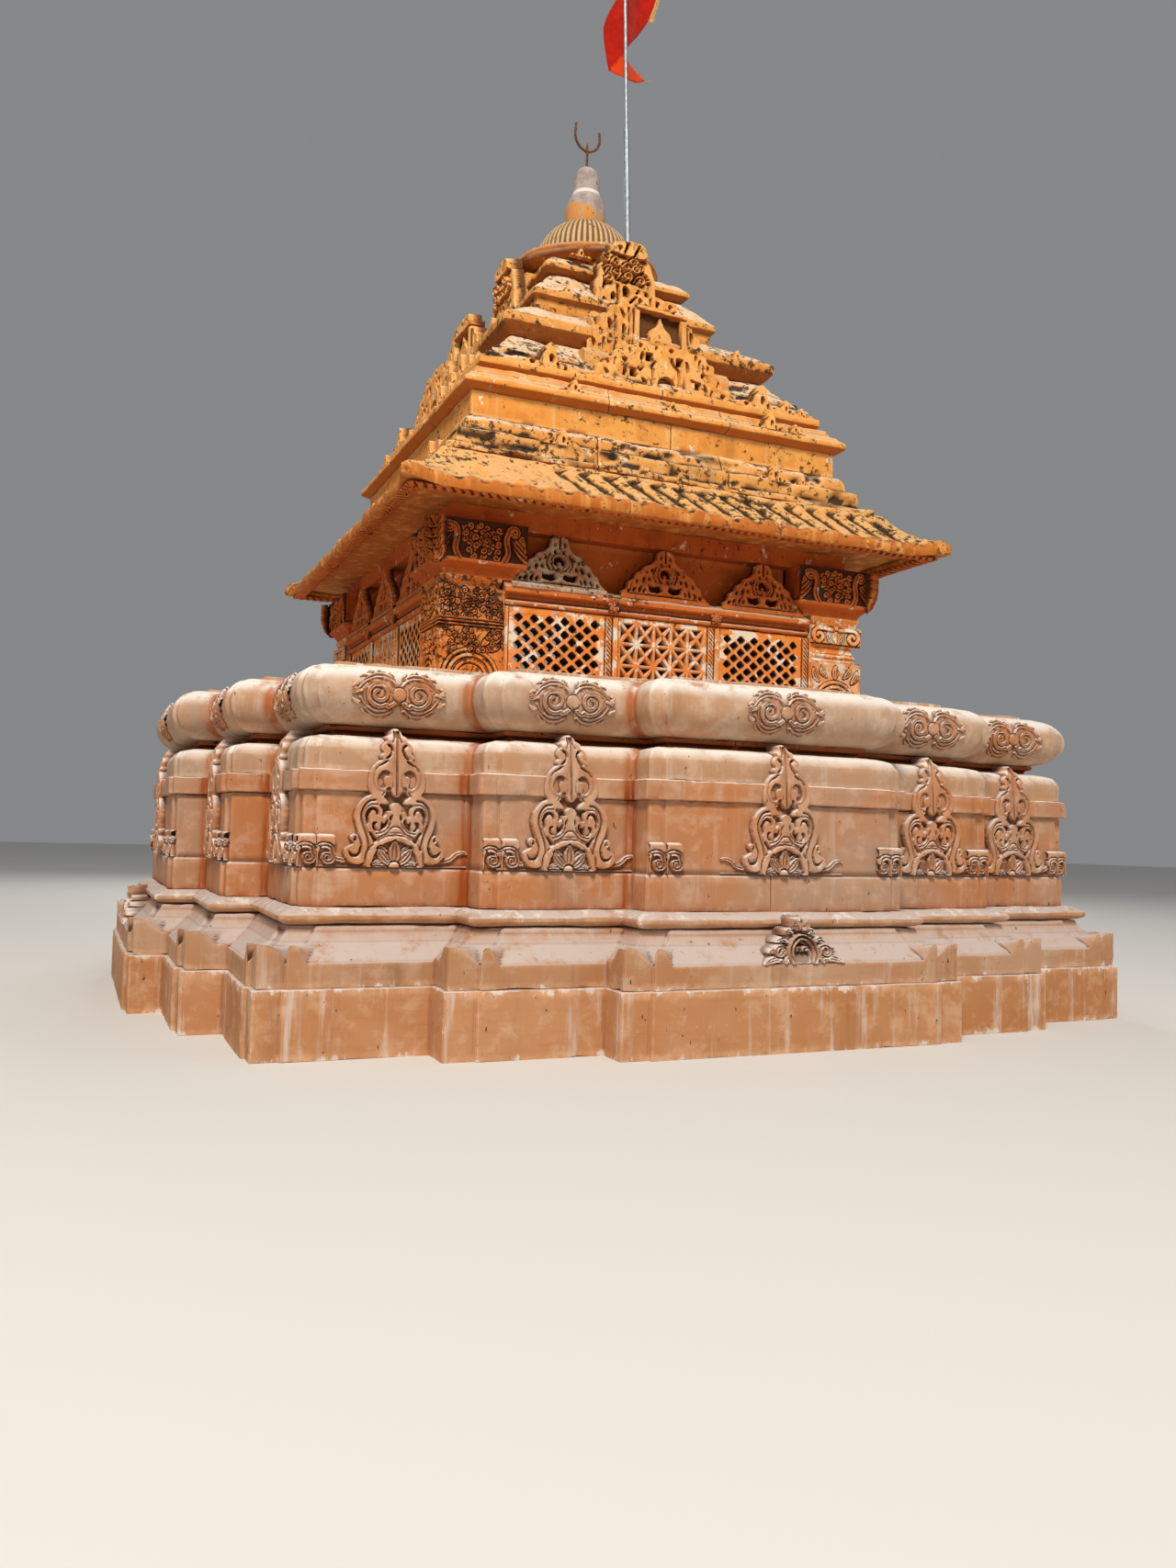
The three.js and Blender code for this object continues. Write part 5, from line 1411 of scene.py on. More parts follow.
def corner_tongue():
    """The leaf on the diagonal of a capital, a fan of ribs from the foot of the block to its top."""
    relief = Relief(-0.06, 0.06, 0, 0.2, 0.0045)
    relief.fill([(0, 0), (0.018, 0), (0.05, 0.06), (0.055, 0.14), (0.04, 0.2), (0, 0.2)], 0.6)
    for rise in (0.0, 0.045, 0.09, 0.135):
        relief.leaf([(0.0, rise + 0.01), (0.03, rise + 0.03), (0.052, rise + 0.075)], 0.03, 1.0, moat=0.006)
    return relief.mesh(0.05, keep=0.6)


tongue, tongue_faces = corner_tongue()
for turns, corner in enumerate(CORNERS):
    places = stations(bracket_plan, 0.03, 9, seed=60 + turns)
    core = course(bracket_plan, fine_profile(CAPITAL_FACE, 0.03, 0.003), places)
    copies = [plain(core[0], core[1])]
    middle = -(CAPITAL_OUTER - FIELD_HALF)
    for more, shift in ((0, middle), (3, -middle)):
        place = (CAPITAL_OUTER - 0.018, CARVED, more, shift, FIELD_FOOT)
        copies.append(on_face(field_mesh, *place, (0.95, 0.2, 0.75)))
    diagonal = math.radians(45)
    along, up, height = tongue.T
    out = (CAPITAL_OUTER * math.sqrt(2) - 0.03) + 0.07 * height * smooth_step(up, -0.05, 0.12)
    x = -out * math.cos(diagonal) + along * math.sin(diagonal)
    y = -out * math.sin(diagonal) - along * math.cos(diagonal)
    placed = np.column_stack([x, y, FIELD_FOOT - 0.03 + 1.22 * up])
    copies.append((placed, tongue_faces, hollows(height, 0.9, 0.2, 0.8)))
    wear = worn(63 + turns, 0.0025, 0.002, 0.002, 0.003)
    add_copies("capital_stone_" + corner, copies, turns, sheltered_saffron, "capital_" + corner, 45, wear)
print("capitals:", made["capital_stone_front_left"], "triangles each")

# %% [markdown]
# ## The pierced windows
# Between the pillars stands a wall of thin slabs, each sawn through in a pattern: small diamonds in
# the outer two, and squares with both diagonals in the middle one. A flat curve with holes, made thick
# and given a small bevel, is the same work as sawing a slab and rubbing its edges. Posts with a rope
# and a plain strip stand between the slabs.

# %% Slab with holes
JALI_OUTER, JALI_THICK, JALI_TOP = 1.33, 0.08, 2.24
WINDOW_WIDTH, WINDOW_PITCH, WINDOW_FOOT, WINDOW_HEAD = 0.56, 0.67, 1.835, 2.215
DOOR_HALF = 0.35


def slab_with_holes(name, outline, holes, thick, bevel, seed):
    """A flat slab in X and Z, from y = 0 back, with its edges rounded. The holes' corners wander a little."""
    random = np.random.default_rng(seed)
    data = bpy.data.curves.new(name, "CURVE")
    data.dimensions, data.fill_mode = "2D", "BOTH"
    data.extrude, data.bevel_depth, data.bevel_resolution = thick / 2 - bevel, bevel, 0
    data.offset = -bevel
    for number, loop in enumerate([outline] + holes):
        spline = data.splines.new("POLY")
        spline.points.add(len(loop) - 1)
        wander = random.normal(0, 0.0011 if number else 0, (len(loop), 2))
        for point, (x, z), (dx, dz) in zip(spline.points, loop, wander):
            point.co = (x + dx, z + dz, 0, 1)
        spline.use_cyclic_u = True
    thing = bpy.data.objects.new(name, data)
    bpy.context.collection.objects.link(thing)
    mesh = bpy.data.meshes.new_from_object(thing.evaluated_get(bpy.context.evaluated_depsgraph_get()))
    bpy.data.objects.remove(thing)
    bpy.data.curves.remove(data)
    flat = points_of(mesh)
    faces = [tuple(f.vertices) for f in mesh.polygons]
    bpy.data.meshes.remove(mesh)
    return np.column_stack([flat[:, 0], flat[:, 2] + thick / 2, flat[:, 1]]), faces


def diamond(x, z, wide, tall, blunt=0.16):
    """A diamond hole with blunt corners."""
    quarter = [(wide, -tall * blunt), (wide, tall * blunt), (wide * blunt, tall), (-wide * blunt, tall)]
    return [(x + a, z + b) for a, b in quarter] + [(x - a, z - b) for a, b in quarter]


def diamond_window(centre, columns=6, rows=5):
    """Staggered rows of diamonds, with half diamonds left out at the frame."""
    pitch_x, pitch_z = WINDOW_WIDTH / columns, (WINDOW_HEAD - WINDOW_FOOT) / rows
    holes = []
    for row in range(2 * rows - 1):
        for column in range(columns - row % 2):
            x = centre - WINDOW_WIDTH / 2 + pitch_x * (column + 0.5 + 0.5 * (row % 2))
            holes.append(diamond(x, WINDOW_FOOT + pitch_z * (0.5 + row / 2), pitch_x * 0.27, pitch_z * 0.3))
    return holes


def crossed_window(centre, columns=5, rows=3, bar=0.0075):
    """Squares with both diagonals, which leave four triangles each."""
    pitch_x, pitch_z = WINDOW_WIDTH / columns, (WINDOW_HEAD - WINDOW_FOOT) / rows
    reach_x, reach_z = pitch_x / 2 - bar, pitch_z / 2 - bar
    holes = []
    for row in range(rows):
        for column in range(columns):
            x, z = centre - WINDOW_WIDTH / 2 + pitch_x * (column + 0.5), WINDOW_FOOT + pitch_z * (row + 0.5)
            for a, b in ((1, 0), (0, 1), (-1, 0), (0, -1)):
                tip = (x + a * bar * 1.6, z + b * bar * 1.6)
                out_x, out_z = x + a * reach_x, z + b * reach_z
                side = (reach_x if b else reach_z) - 1.5 * bar
                holes.append(
                    [tip, (out_x - b * side, out_z - a * side), (out_x + b * side, out_z + a * side)]
                )
    return holes


print("holes:", len(diamond_window(0)), "diamonds in a window, or", len(crossed_window(0)), "triangles")

# %% Windows and posts
def rope_post():
    """A narrow strip carved as a rope, beside a plain one."""
    relief = Relief(-0.045, 0.045, 0, JALI_TOP - FLOOR_TOP - 0.02, 0.005, mirrored=False)
    x, z = relief.real_x, relief.z
    rope = np.abs(x + 0.02) < 0.018
    twist = 0.5 + 0.5 * np.sin((z + (x + 0.02) * 1.1) * 2 * math.pi / 0.026)
    relief.height = np.where(
        rope, 0.45 + 0.5 * twist * np.sqrt(np.clip(1 - ((x + 0.02) / 0.02) ** 2, 0, 1)), 0.1,
    )
    relief.height[(x > 0.008) & (x < 0.038)] = 0.7
    return relief.mesh(0.022, keep=0.6, all_cells=True)


post_mesh = rope_post()


def post_places(centres, left, right):
    """Where posts stand, halfway between the windows and beside them."""
    edges = sorted({round(c + way * WINDOW_PITCH / 2, 3) for c in centres for way in (-1, 1)})
    return [edge for edge in edges if left < edge < right]


def window_wall(left, right, centres, seed):
    """A wall of windows with its posts, for one side or for half of one, set in front."""
    holes = []
    for centre in centres:
        holes += crossed_window(centre) if centre == 0 else diamond_window(centre)
    outline = [(left, FLOOR_TOP), (right, FLOOR_TOP), (right, JALI_TOP), (left, JALI_TOP)]
    slab, slab_faces = slab_with_holes("slab", outline, holes, JALI_THICK, 0.0035, seed)
    # The sides of the holes are stored as hollows, a painted shade inside the holes.
    reveal_shade = 0.75 * smooth_step(slab[:, 1], 0.006, 0.022) * (slab[:, 2] > FLOOR_TOP + 0.01)
    slab[:, 1] -= JALI_OUTER
    copies = [(slab, slab_faces, reveal_shade)]
    for x in post_places(centres, left - 0.01, right + 0.01):
        copies.append(on_face(post_mesh, JALI_OUTER, 0.022, 0, x, FLOOR_TOP + 0.01, (0.7, 0.1, 0.6)))
    return copies


ALL_WINDOWS = (-WINDOW_PITCH, 0, WINDOW_PITCH)
WALLS = [(name, turns, -PILLAR_INNER, PILLAR_INNER, ALL_WINDOWS) for name, turns in SIDES if name != "back"]
WALLS += [("back_left", 2, DOOR_HALF, PILLAR_INNER, (WINDOW_PITCH,))]
WALLS += [("back_right", 2, -PILLAR_INNER, -DOOR_HALF, (-WINDOW_PITCH,))]
for number, (name, turns, left, right, centres) in enumerate(WALLS):
    copies = window_wall(left, right, centres, 70 + number)
    wear, limed = worn(70 + number, 0.001, 0.0008, 0.0015, 0.003), JALI_OUTER - JALI_THICK + 0.006
    add_copies("window_wall_" + name, copies, turns, peeling_limewash, "jali_" + name, 40, wear, limed=limed)
print("windows:", made["window_wall_front"], "triangles in the front wall")

# %% [markdown]
# ## The ledge, its pediments and the frieze
# Over the windows lies a moulded ledge with a rope under it, and on the ledge a small pierced pediment
# stands before each window. Behind them the frieze fills up the wall to the ceiling, in deep shade.
# A strip of pale mortar mends the ledge over the first window. The ledge is a profile swept along its
# wall. A pediment is a relief as thick as its slab, flat in front, with its holes cut nearly to the back.

# %% Ledge and frieze
LEDGE_OUTER, FRIEZE_INNER = 1.372, 1.12
LEDGE_FACE = [
    (1.25, 2.241), (1.334, 2.241), (1.346, 2.246), (1.35, 2.256), (1.346, 2.266), (1.338, 2.27),
    (1.342, 2.284),
]
LEDGE_FACE += [
    (1.352, 2.298), (1.366, 2.306), (1.372, 2.31), (1.372, 2.333), (1.366, 2.34), (1.34, 2.362),
    (1.335, 2.37), (1.25, 2.37),
]
FRIEZE_HEIGHTS = [2.371 + 0.0495 * k for k in range(7)]
FRIEZE_FACE = [(FRIEZE_INNER, 2.371)] + [(1.219, z) for z in FRIEZE_HEIGHTS] + [(FRIEZE_INNER, 2.668)]


def swept(left, right, face, step=0.03):
    """A moulding along X, from a closed profile of (distance out to the front, height)."""
    count = max(2, math.ceil((right - left) / step) + 1)
    rows = len(face)
    points = [(x, -out, z) for x in np.linspace(left, right, count) for out, z in face]
    faces = [tuple(range(rows)), tuple(range((count - 1) * rows, count * rows))[::-1]]
    faces += [(a, d, c, b) for a, b, c, d in ring_faces(count, rows)]
    return np.array(points), faces


print("a ledge of 1 m:", len(swept(0, 1, LEDGE_FACE)[1]), "faces")


# %% A pediment
PEDIMENT_FOOT, PEDIMENT_BACK, PEDIMENT_THICK = 2.352, 1.298, 0.06
PEDIMENT_HALF_OUTLINE = [
    (0.285, 0), (0.282, 0.04), (0.25, 0.06), (0.242, 0.1), (0.205, 0.12), (0.19, 0.155), (0.15, 0.175),
]
PEDIMENT_HALF_OUTLINE += [
    (0.135, 0.2), (0.09, 0.215), (0.062, 0.245), (0.055, 0.285), (0.03, 0.302), (0.0, 0.306),
]


def mirrored_loop(half):
    """A closed outline from its right half, drawn upwards."""
    return half + [(-x, z) for x, z in half[::-1] if x > 0]


def pediment():
    """The pierced pediment, a lotus under a round arch between stepped leaves."""
    relief = Relief(-0.29, 0.29, 0, 0.31, 0.0048)
    relief.fill(mirrored_loop(PEDIMENT_HALF_OUTLINE), 0.84)
    relief.stroke([(0, 0.012), (0.285, 0.012)], 0.03, 1.0, groove=0, smooth=False)
    relief.stroke(arc(0, 0.156, 0.045, -60, 90), 0.014, 1.0, groove=0)
    relief.pierce(arc(0, 0.156, 0.034, -30, 210), 0.04)
    relief.stroke([(0, 0.125), (0, 0.15)], 0.024, 0.7, groove=0, smooth=False)
    relief.pierce(
        [(0.018, 0.062), (0.03, 0.092), (0.075, 0.082), (0.11, 0.092), (0.1, 0.055), (0.05, 0.048)], 0.04,
    )
    for x, z, wide, tall, turn in (
        (0.135, 0.055, 0.007, 0.014, 20), (0.162, 0.06, 0.009, 0.022, 15), (0.2, 0.055, 0.009, 0.016, 25),
        (0.235, 0.045, 0.009, 0.012, 30),
        (0.105, 0.125, 0.009, 0.012, 0), (0.14, 0.12, 0.01, 0.018, 15), (0.185, 0.105, 0.008, 0.012, 20),
        (0.085, 0.18, 0.009, 0.014, 25),
        (0.025, 0.215, 0.007, 0.013, -10), (0.03, 0.255, 0.006, 0.013, 0), (0.12, 0.165, 0.007, 0.008, 0),
    ):
        sawn(relief, DROP, x, z, wide, tall, turn)
    relief.line([(0.0, 0.23), (0.0, 0.3)], 0.009, 0.35)
    relief.line([(0.06, 0.11), (0.078, 0.15), (0.06, 0.2)], 0.008, 0.45)
    return relief.mesh(PEDIMENT_THICK, keep=0.33)


def flower():
    """An eight-petalled flower on the head of a window post."""
    relief = Relief(-0.045, 0.045, -0.045, 0.045, 0.0036, mirrored=False)
    relief.fill([(-0.03, -0.044), (0.03, -0.044), (0.03, 0.044), (-0.03, 0.044)], 0.4)
    for angle in range(0, 360, 45):
        x, z = math.cos(math.radians(angle)), math.sin(math.radians(angle))
        relief.leaf(
            [(0.008 * x, 0.008 * z), (0.022 * x, 0.022 * z), (0.04 * x, 0.04 * z)], 0.022, 0.85, moat=0.003,
        )
    relief.boss(0, 0, 0.01, 1.0, moat=0.003)
    return relief.mesh(0.022, keep=0.6)


pediment_mesh, flower_mesh = pediment(), flower()
for number, (name, turns, left, right, centres) in enumerate(WALLS):
    copies = [plain(*swept(left, right, LEDGE_FACE))]
    for x in post_places(centres, left + 0.05, right - 0.05):
        copies.append(on_face(flower_mesh, LEDGE_OUTER - 0.012, 0.022, 0, x, 2.295, (0.8, 0.1, 0.6)))
    wear = worn(80 + number, 0.003, 0.0018, 0.005)
    add_copies("ledge_moulding_" + name, copies, turns, ledge_limewash, "ledge_" + name, 40, wear)
    copies = [plain(*swept(max(left, -arm), min(right, arm), FRIEZE_FACE, 0.05))]
    wear, limed = worn(80 + number, 0.003, 0.001, 0.001), FRIEZE_INNER + 0.01
    add_copies("frieze_" + name, copies, turns, sheltered_saffron, None, 38, wear, limed=limed)
    for k, centre in enumerate(centres):
        place = (PEDIMENT_BACK, PEDIMENT_THICK, 0, centre, PEDIMENT_FOOT)
        copies = [on_face(pediment_mesh, *place, (0.95, 0.15, 0.6), mirror=k % 2 == 1)]
        bare = name == "front" and k == 0  # the pediment that has lost its paint
        finish, broken = (flaked_limewash, (0.005, 0.006)) if bare else (sheltered_saffron, (0.001, 0.002))
        wear = worn(90 + 5 * number + k, 0.003, *broken)
        add_copies(f"pediment_{name}_{k + 1}", copies, turns, finish, wear=wear)
MEND_FACE = [(1.25, 2.334), (1.374, 2.334), (1.379, 2.34), (1.379, 2.356), (1.366, 2.37), (1.25, 2.374)]
mend, mend_faces = swept(-0.96, -0.45, MEND_FACE, 0.04)
add_piece("ledge_mend", mend, mend_faces, flaked_limewash, wear=worn(97, 0.004, 0.003, 0.006))
bpy.data.objects["ceiling_slab"].data.materials[0] = sheltered_saffron
print("front pediment:", made["pediment_front_2"], "triangles")

# %% [markdown]
# ## The roof's slabs
# The roof is a pile of square slabs, each set back from the one below. Wind and rain have worked on
# them for long, so their edges wave and are broken at the corners. They are courses as in the podium,
# moved a little to the right as a whole, as the real roof lies. The eave's long slope is carved with
# slanting ribs, with black lichen in the grooves between them. Its lip has a wavy top edge, a rope
# moulding below and a flat horn at each corner.

# %% Roof sizes
ROOF_SHIFT = 0.04
EAVE_LIP, EAVE_TOP = 2.735, 3.04
RIB_PITCH, RIB_FOOT = 0.15, 2.8
ROUGH = {"wave": 0.009, "pit": 0.0045, "chip": 0.02, "sharp": 0.004}


def slab(name, node, half, profile, finish, seed, step, wear=None, shape=None, longest=0.035, ring=False):
    """A square roof slab. The profile is (half width, height), and shape(points) may move its points.
    A hollow one is a closed ring without an inside."""
    plan = square_plan(half)
    face = fine_profile([(half - out, height) for out, height in profile], longest, 0.006)
    places = stations(plan, step, 0.95, seed=seed)
    points, faces, _, joint = course(plan, face, places, joint_depth=0.009, shift=ROOF_SHIFT)
    if ring:
        count = len(places)
        last = count * (len(face) - 1)
        faces = faces[:-2] + [(last + k, last + (k + 1) % count, (k + 1) % count, k) for k in range(count)]
    hollow, rust = joint * 0.8, None
    if shape:
        points, carved, rust = shape(points)
        hollow = np.maximum(hollow, carved)
    wear = {**ROUGH, "seed": seed, **(wear or {})}
    return add_piece(name, points, faces, finish, node, 40, wear, rust, hollow)


def side_places(points):
    """How far along its own side each point lies, how far out, and the way out."""
    x, y = points[:, 0] - ROOF_SHIFT, points[:, 1]
    on_x = np.abs(x) > np.abs(y)
    along = np.where(on_x, np.where(x > 0, y, -y), np.where(y > 0, -x, x))
    out = np.maximum(np.abs(x), np.abs(y))
    way = np.column_stack([np.where(on_x, np.sign(x), 0), np.where(on_x, 0, np.sign(y))])
    return along, out, way


def carve_eave(points):
    """Flat ribs that lean down to the right between narrow grooves, a lip with a wavy top edge, and horns."""
    along, out, way = side_places(points)
    z = points[:, 2]
    near_end = 1 - smooth_step(np.abs(along), out - 0.15, out - 0.05)
    slope = smooth_step(out, 1.44, 1.49) * (1 - smooth_step(out, 1.64, 1.668)) * (z > RIB_FOOT)
    lean = 0.6 * (z - 2.835) - 0.016 * np.sin((z - 2.835) * 30)
    share = along / RIB_PITCH + 0.35
    blade = share - np.floor(share)
    worn = smooth_step(smooth_noise(points, 0.55, 5) + 0.9 * smooth_step(along, -0.9, 0.1), -0.25, 0.55)
    groove = smooth_step(blade, 0.5, 0.76) * (1 - smooth_step(blade, 0.88, 0.97))
    depth = 0.026 * groove * slope * near_end * (0.1 + 0.9 * worn)
    lip = smooth_step(out, 1.655, 1.675) * (z > EAVE_LIP + 0.04)
    wavy = 0.5 + 0.5 * np.cos(2 * math.pi * (share - 0.4)) + 0.8 * smooth_noise(points, 0.05, 9)
    horn = smooth_step(np.abs(along) / out, 0.87, 1.0) * smooth_step(out, 1.5, 1.7)
    points = points.copy()
    sideways = np.column_stack([-way[:, 1], way[:, 0]])
    points[:, :2] -= way * (0.55 * depth)[:, None] + sideways * (lean * slope * near_end)[:, None]
    points[:, :2] += np.sign(points[:, :2] - (ROOF_SHIFT, 0)) * (0.043 * horn**2)[:, None]
    points[:, 2] += 0.026 * horn - 0.83 * depth + lip * (0.019 * wavy - 0.008)
    dark = smooth_step(blade, 0.45, 0.62) * (1 - smooth_step(blade, 0.9, 0.97)) * slope * near_end * worn
    # A deeper orange on the lip and the underside: unbleached paint, and on the underside also painted shade.
    painted = 0.75 * np.maximum(smooth_step(out, 1.655, 1.68), z < RIB_FOOT - 0.01)
    return points, np.clip(0.95 * dark, 0, 1), painted


def twist_rope(points):
    """Slanting teeth, as on a rope."""
    along, out, _ = side_places(points)
    phase = (along + 0.5 * out) / 0.05
    tooth = phase - np.floor(phase)
    points = points.copy()
    points[:, 2] += 0.011 * smooth_step(tooth, 0.3, 0.9) * smooth_step(out, 1.6, 1.625)
    return points, 0.9 * smooth_step(tooth, 0.55, 0.8), np.zeros(len(points))


def rough_steps(points):
    """Broken edges for the thin bedding slabs."""
    _, _, way = side_places(points)
    bite = smooth_step(smooth_noise(points * (1, 1, 3), 0.13, 21), 0.05, 0.6)
    points = points.copy()
    points[:, :2] -= way * (0.022 * bite)[:, None]
    points[:, 2] += 0.006 * smooth_noise(points, 0.3, 23)
    return points, 0.5 * bite, np.zeros(len(points))


# %% Slabs from the eave to the upper tier
EAVE_FACE = [
    (1.29, 2.782), (1.592, 2.782), (1.606, 2.745), (1.625, 2.741), (1.69, 2.735), (1.697, 2.74),
    (1.699, 2.785),
]
EAVE_FACE += [
    (1.665, 2.822), (1.6, 2.865), (1.55, 2.912), (1.51, 2.95), (1.47, 3.0), (1.445, 3.034), (1.4, 3.04),
]
CARVED_EDGE, FINE_EDGE = {"wave": 0.004, "chip": 0.009}, {"wave": 0.002, "pit": 0.001, "chip": 0.004}
EAVE_WEAR = {"wave": 0.005, "chip": 0.014}
slab(
    "eave_stone", "eave_slab", 1.7, EAVE_FACE, eave_limewash, 101, RIB_PITCH / 7, EAVE_WEAR, carve_eave,
    0.024,
)
ROPE_FACE = [
    (1.60, 2.75), (1.608, 2.735), (1.63, 2.728), (1.66, 2.727), (1.683, 2.731), (1.689, 2.742), (1.66, 2.75),
]
slab("eave_rope", None, 1.689, ROPE_FACE, sheltered_saffron, 102, 0.0165, FINE_EDGE, twist_rope, ring=True)
BEDDING_FACE = [
    (1.38, EAVE_TOP), (1.413, 3.041), (1.415, 3.078), (1.40, 3.084), (1.337, 3.096), (1.335, 3.19),
    (1.32, 3.196),
]
BEDDING_FACE += [(1.277, 3.203), (1.275, 3.265), (1.24, 3.308), (1.2, 3.31)]
slab(
    "bedding_stone", "bedding_slabs", 1.415, BEDDING_FACE, lichen_limewash, 103, 0.03, {"wave": 0.008},
    rough_steps, 0.03,
)
DRUM_FACE = [(1.1, 3.305), (1.22, 3.305), (1.22, 3.462), (1.1, 3.462)]
slab("drum_stone", "drum", 1.22, DRUM_FACE, bleached_saffron, 105, 0.04, FINE_EDGE)
CORNICE_FACE = [
    (1.1, 3.46), (1.226, 3.46), (1.24, 3.468), (1.272, 3.485), (1.276, 3.49), (1.276, 3.52), (1.25, 3.538),
    (1.24, 3.541),
]
CORNICE_FACE += [(1.238, 3.556), (1.205, 3.572), (1.19, 3.6), (1.186, 3.618), (1.1, 3.62)]
slab(
    "lower_cornice_stone", "lower_cornice", 1.276, CORNICE_FACE, bleached_saffron, 107, 0.03, CARVED_EDGE,
    longest=0.03,
)
UPPER_FACE = [
    (1.0, 3.62), (1.122, 3.62), (1.135, 3.635), (1.158, 3.65), (1.16, 3.655), (1.16, 3.696), (1.15, 3.70),
    (1.0, 3.70),
]
slab(
    "upper_cornice_stone", "upper_cornice", 1.16, UPPER_FACE, bleached_saffron, 109, 0.03, CARVED_EDGE,
    longest=0.03,
)
SKIRT_FACE = [
    (1.0, 3.70), (1.128, 3.70), (1.13, 3.71), (1.1, 3.755), (1.06, 3.77), (1.05, 3.806), (1.04, 3.812),
    (0.98, 3.86), (0.93, 3.915), (0.88, 3.968), (0.8, 3.97),
]
slab("roof_skirt_stone", "roof_skirt", 1.13, SKIRT_FACE, lichen_limewash, 111, 0.026, None, rough_steps)
LOWER_TIER_FACE = [
    (0.8, 3.97), (0.878, 3.971), (0.935, 4.033), (0.938, 4.04), (0.938, 4.088), (0.93, 4.094), (0.8, 4.18),
    (0.69, 4.256), (0.6, 4.26),
]
slab("lower_tier_stone", "lower_roof_tier", 0.938, LOWER_TIER_FACE, lichen_limewash, 113, 0.024)
MIDDLE_TIER_FACE = [
    (0.55, 4.26), (0.625, 4.262), (0.63, 4.35), (0.652, 4.371), (0.656, 4.376), (0.656, 4.41),
    (0.648, 4.417), (0.56, 4.51), (0.48, 4.6), (0.4, 4.603),
]
slab("middle_tier_stone", "middle_roof_tier", 0.656, MIDDLE_TIER_FACE, lichen_limewash, 115, 0.022)
UPPER_TIER_FACE = [
    (0.4, 4.604), (0.46, 4.605), (0.52, 4.631), (0.526, 4.636), (0.526, 4.664), (0.518, 4.67),
    (0.455, 4.736), (0.3, 4.74),
]
slab("upper_tier_stone", "upper_roof_tier", 0.526, UPPER_TIER_FACE, lichen_limewash, 117, 0.02)
print("eave:", made["eave_stone"], "triangles")

# %% [markdown]
# ## The gables
# In the middle of each side three gables stand one behind and above the other. The lowest is a flat
# slab pierced with square and drop-shaped holes, round a small arch between two curved stems. The
# middle one frames a niche with a spade-shaped leaf. The top one is a worn block with little left of
# its carving. Each is a relief as thick as the slab it was cut from. The same kind of relief makes the
# small leaf crests that stand on the slabs' edges.

# %% Gables
LOWER_GABLE_FOOT, MIDDLE_GABLE_FOOT, UPPER_GABLE_FOOT = 3.70, 3.94, 4.30


def lower_gable():
    """A pierced slab with a small arch between two curved stems."""
    relief = Relief(-0.6, 0.6, 0, 0.31, 0.0052, mirrored=False)
    left = [
        (-0.53, 0), (-0.51, 0.035), (-0.46, 0.05), (-0.45, 0.1), (-0.405, 0.115), (-0.39, 0.16),
        (-0.345, 0.165),
    ]
    left += [
        (-0.33, 0.21), (-0.28, 0.22), (-0.255, 0.255), (-0.2, 0.26), (-0.185, 0.295), (-0.13, 0.3),
        (-0.09, 0.278),
    ]
    right = [
        (-0.03, 0.29), (0.03, 0.302), (0.08, 0.288), (0.14, 0.302), (0.19, 0.28), (0.285, 0.275),
        (0.3, 0.235),
    ]
    right += [
        (0.345, 0.22), (0.355, 0.165), (0.4, 0.15), (0.41, 0.095), (0.455, 0.08), (0.48, 0.045),
        (0.545, 0.04), (0.585, 0),
    ]
    relief.fill(left + right, 0.9, smooth=True)
    relief.stroke([(-0.52, 0.008), (0.58, 0.008)], 0.022, 1.0, groove=0, smooth=False)
    for shape, x, z, wide, tall, turn in (
        (SQUARE, -0.105, 0.199, 0.022, 0.025, 0), (SQUARE, 0.105, 0.199, 0.022, 0.026, 0),
        (SQUARE, -0.214, 0.088, 0.023, 0.027, 8), (SQUARE, 0.236, 0.078, 0.021, 0.022, 0),
        (DROP, -0.152, 0.198, 0.015, 0.024, -12), (DROP, -0.271, 0.156, 0.019, 0.017, 40),
        (DROP, -0.269, 0.078, 0.016, 0.024, -10),
        (DROP, -0.39, 0.06, 0.015, 0.021, 30), (DROP, -0.138, 0.045, 0.013, 0.026, 35),
        (DROP, 0.158, 0.18, 0.012, 0.036, 8),
        (DROP, 0.289, 0.059, 0.012, 0.034, 10), (DROP, 0.27, 0.15, 0.015, 0.013, -30),
        (DROP, 0.165, 0.022, 0.024, 0.01, 15),
        (DROP, -0.385, 0.125, 0.008, 0.016, 20), (DROP, 0.375, 0.11, 0.008, 0.018, -10),
        (DROP, 0.41, 0.04, 0.018, 0.014, 20),
        (DROP, -0.165, 0.262, 0.012, 0.012, 0), (DROP, -0.06, 0.262, 0.008, 0.014, 0),
        (DROP, 0.045, 0.265, 0.016, 0.009, 0),
        (DROP, 0.215, 0.25, 0.008, 0.018, 0), (DROP, -0.24, 0.215, 0.006, 0.018, 0),
        (DROP, 0.3, 0.2, 0.008, 0.016, 15),
    ):
        sawn(relief, shape, x, z, wide, tall, turn)
    relief.pierce(arc(0.013, 0.04, 0.055, -30, 210), 0.04)
    relief.fill(arc(0.004, 0.012, 0.036, 0, 180, 1.25), 0.5)
    relief.line([(-0.066, 0.175), (-0.082, 0.14), (-0.08, 0.09), (-0.086, 0.03)], 0.012, 0.75)
    relief.line(
        [(0.048, 0.212), (0.06, 0.18), (0.095, 0.145), (0.101, 0.08), (0.1, 0.03), (0.115, 0.008)], 0.013,
        0.8,
    )
    for line in (
        [(-0.34, 0.11), (-0.335, 0.15)], [(-0.18, 0.12), (-0.165, 0.11), (-0.15, 0.125)],
        [(0.19, 0.105), (0.205, 0.1)], [(0.33, 0.02), (0.335, 0.06)], [(0.24, 0.19), (0.245, 0.235)],
    ):
        relief.line(line, 0.011, 0.6)
    return relief.mesh(0.11, keep=0.3)


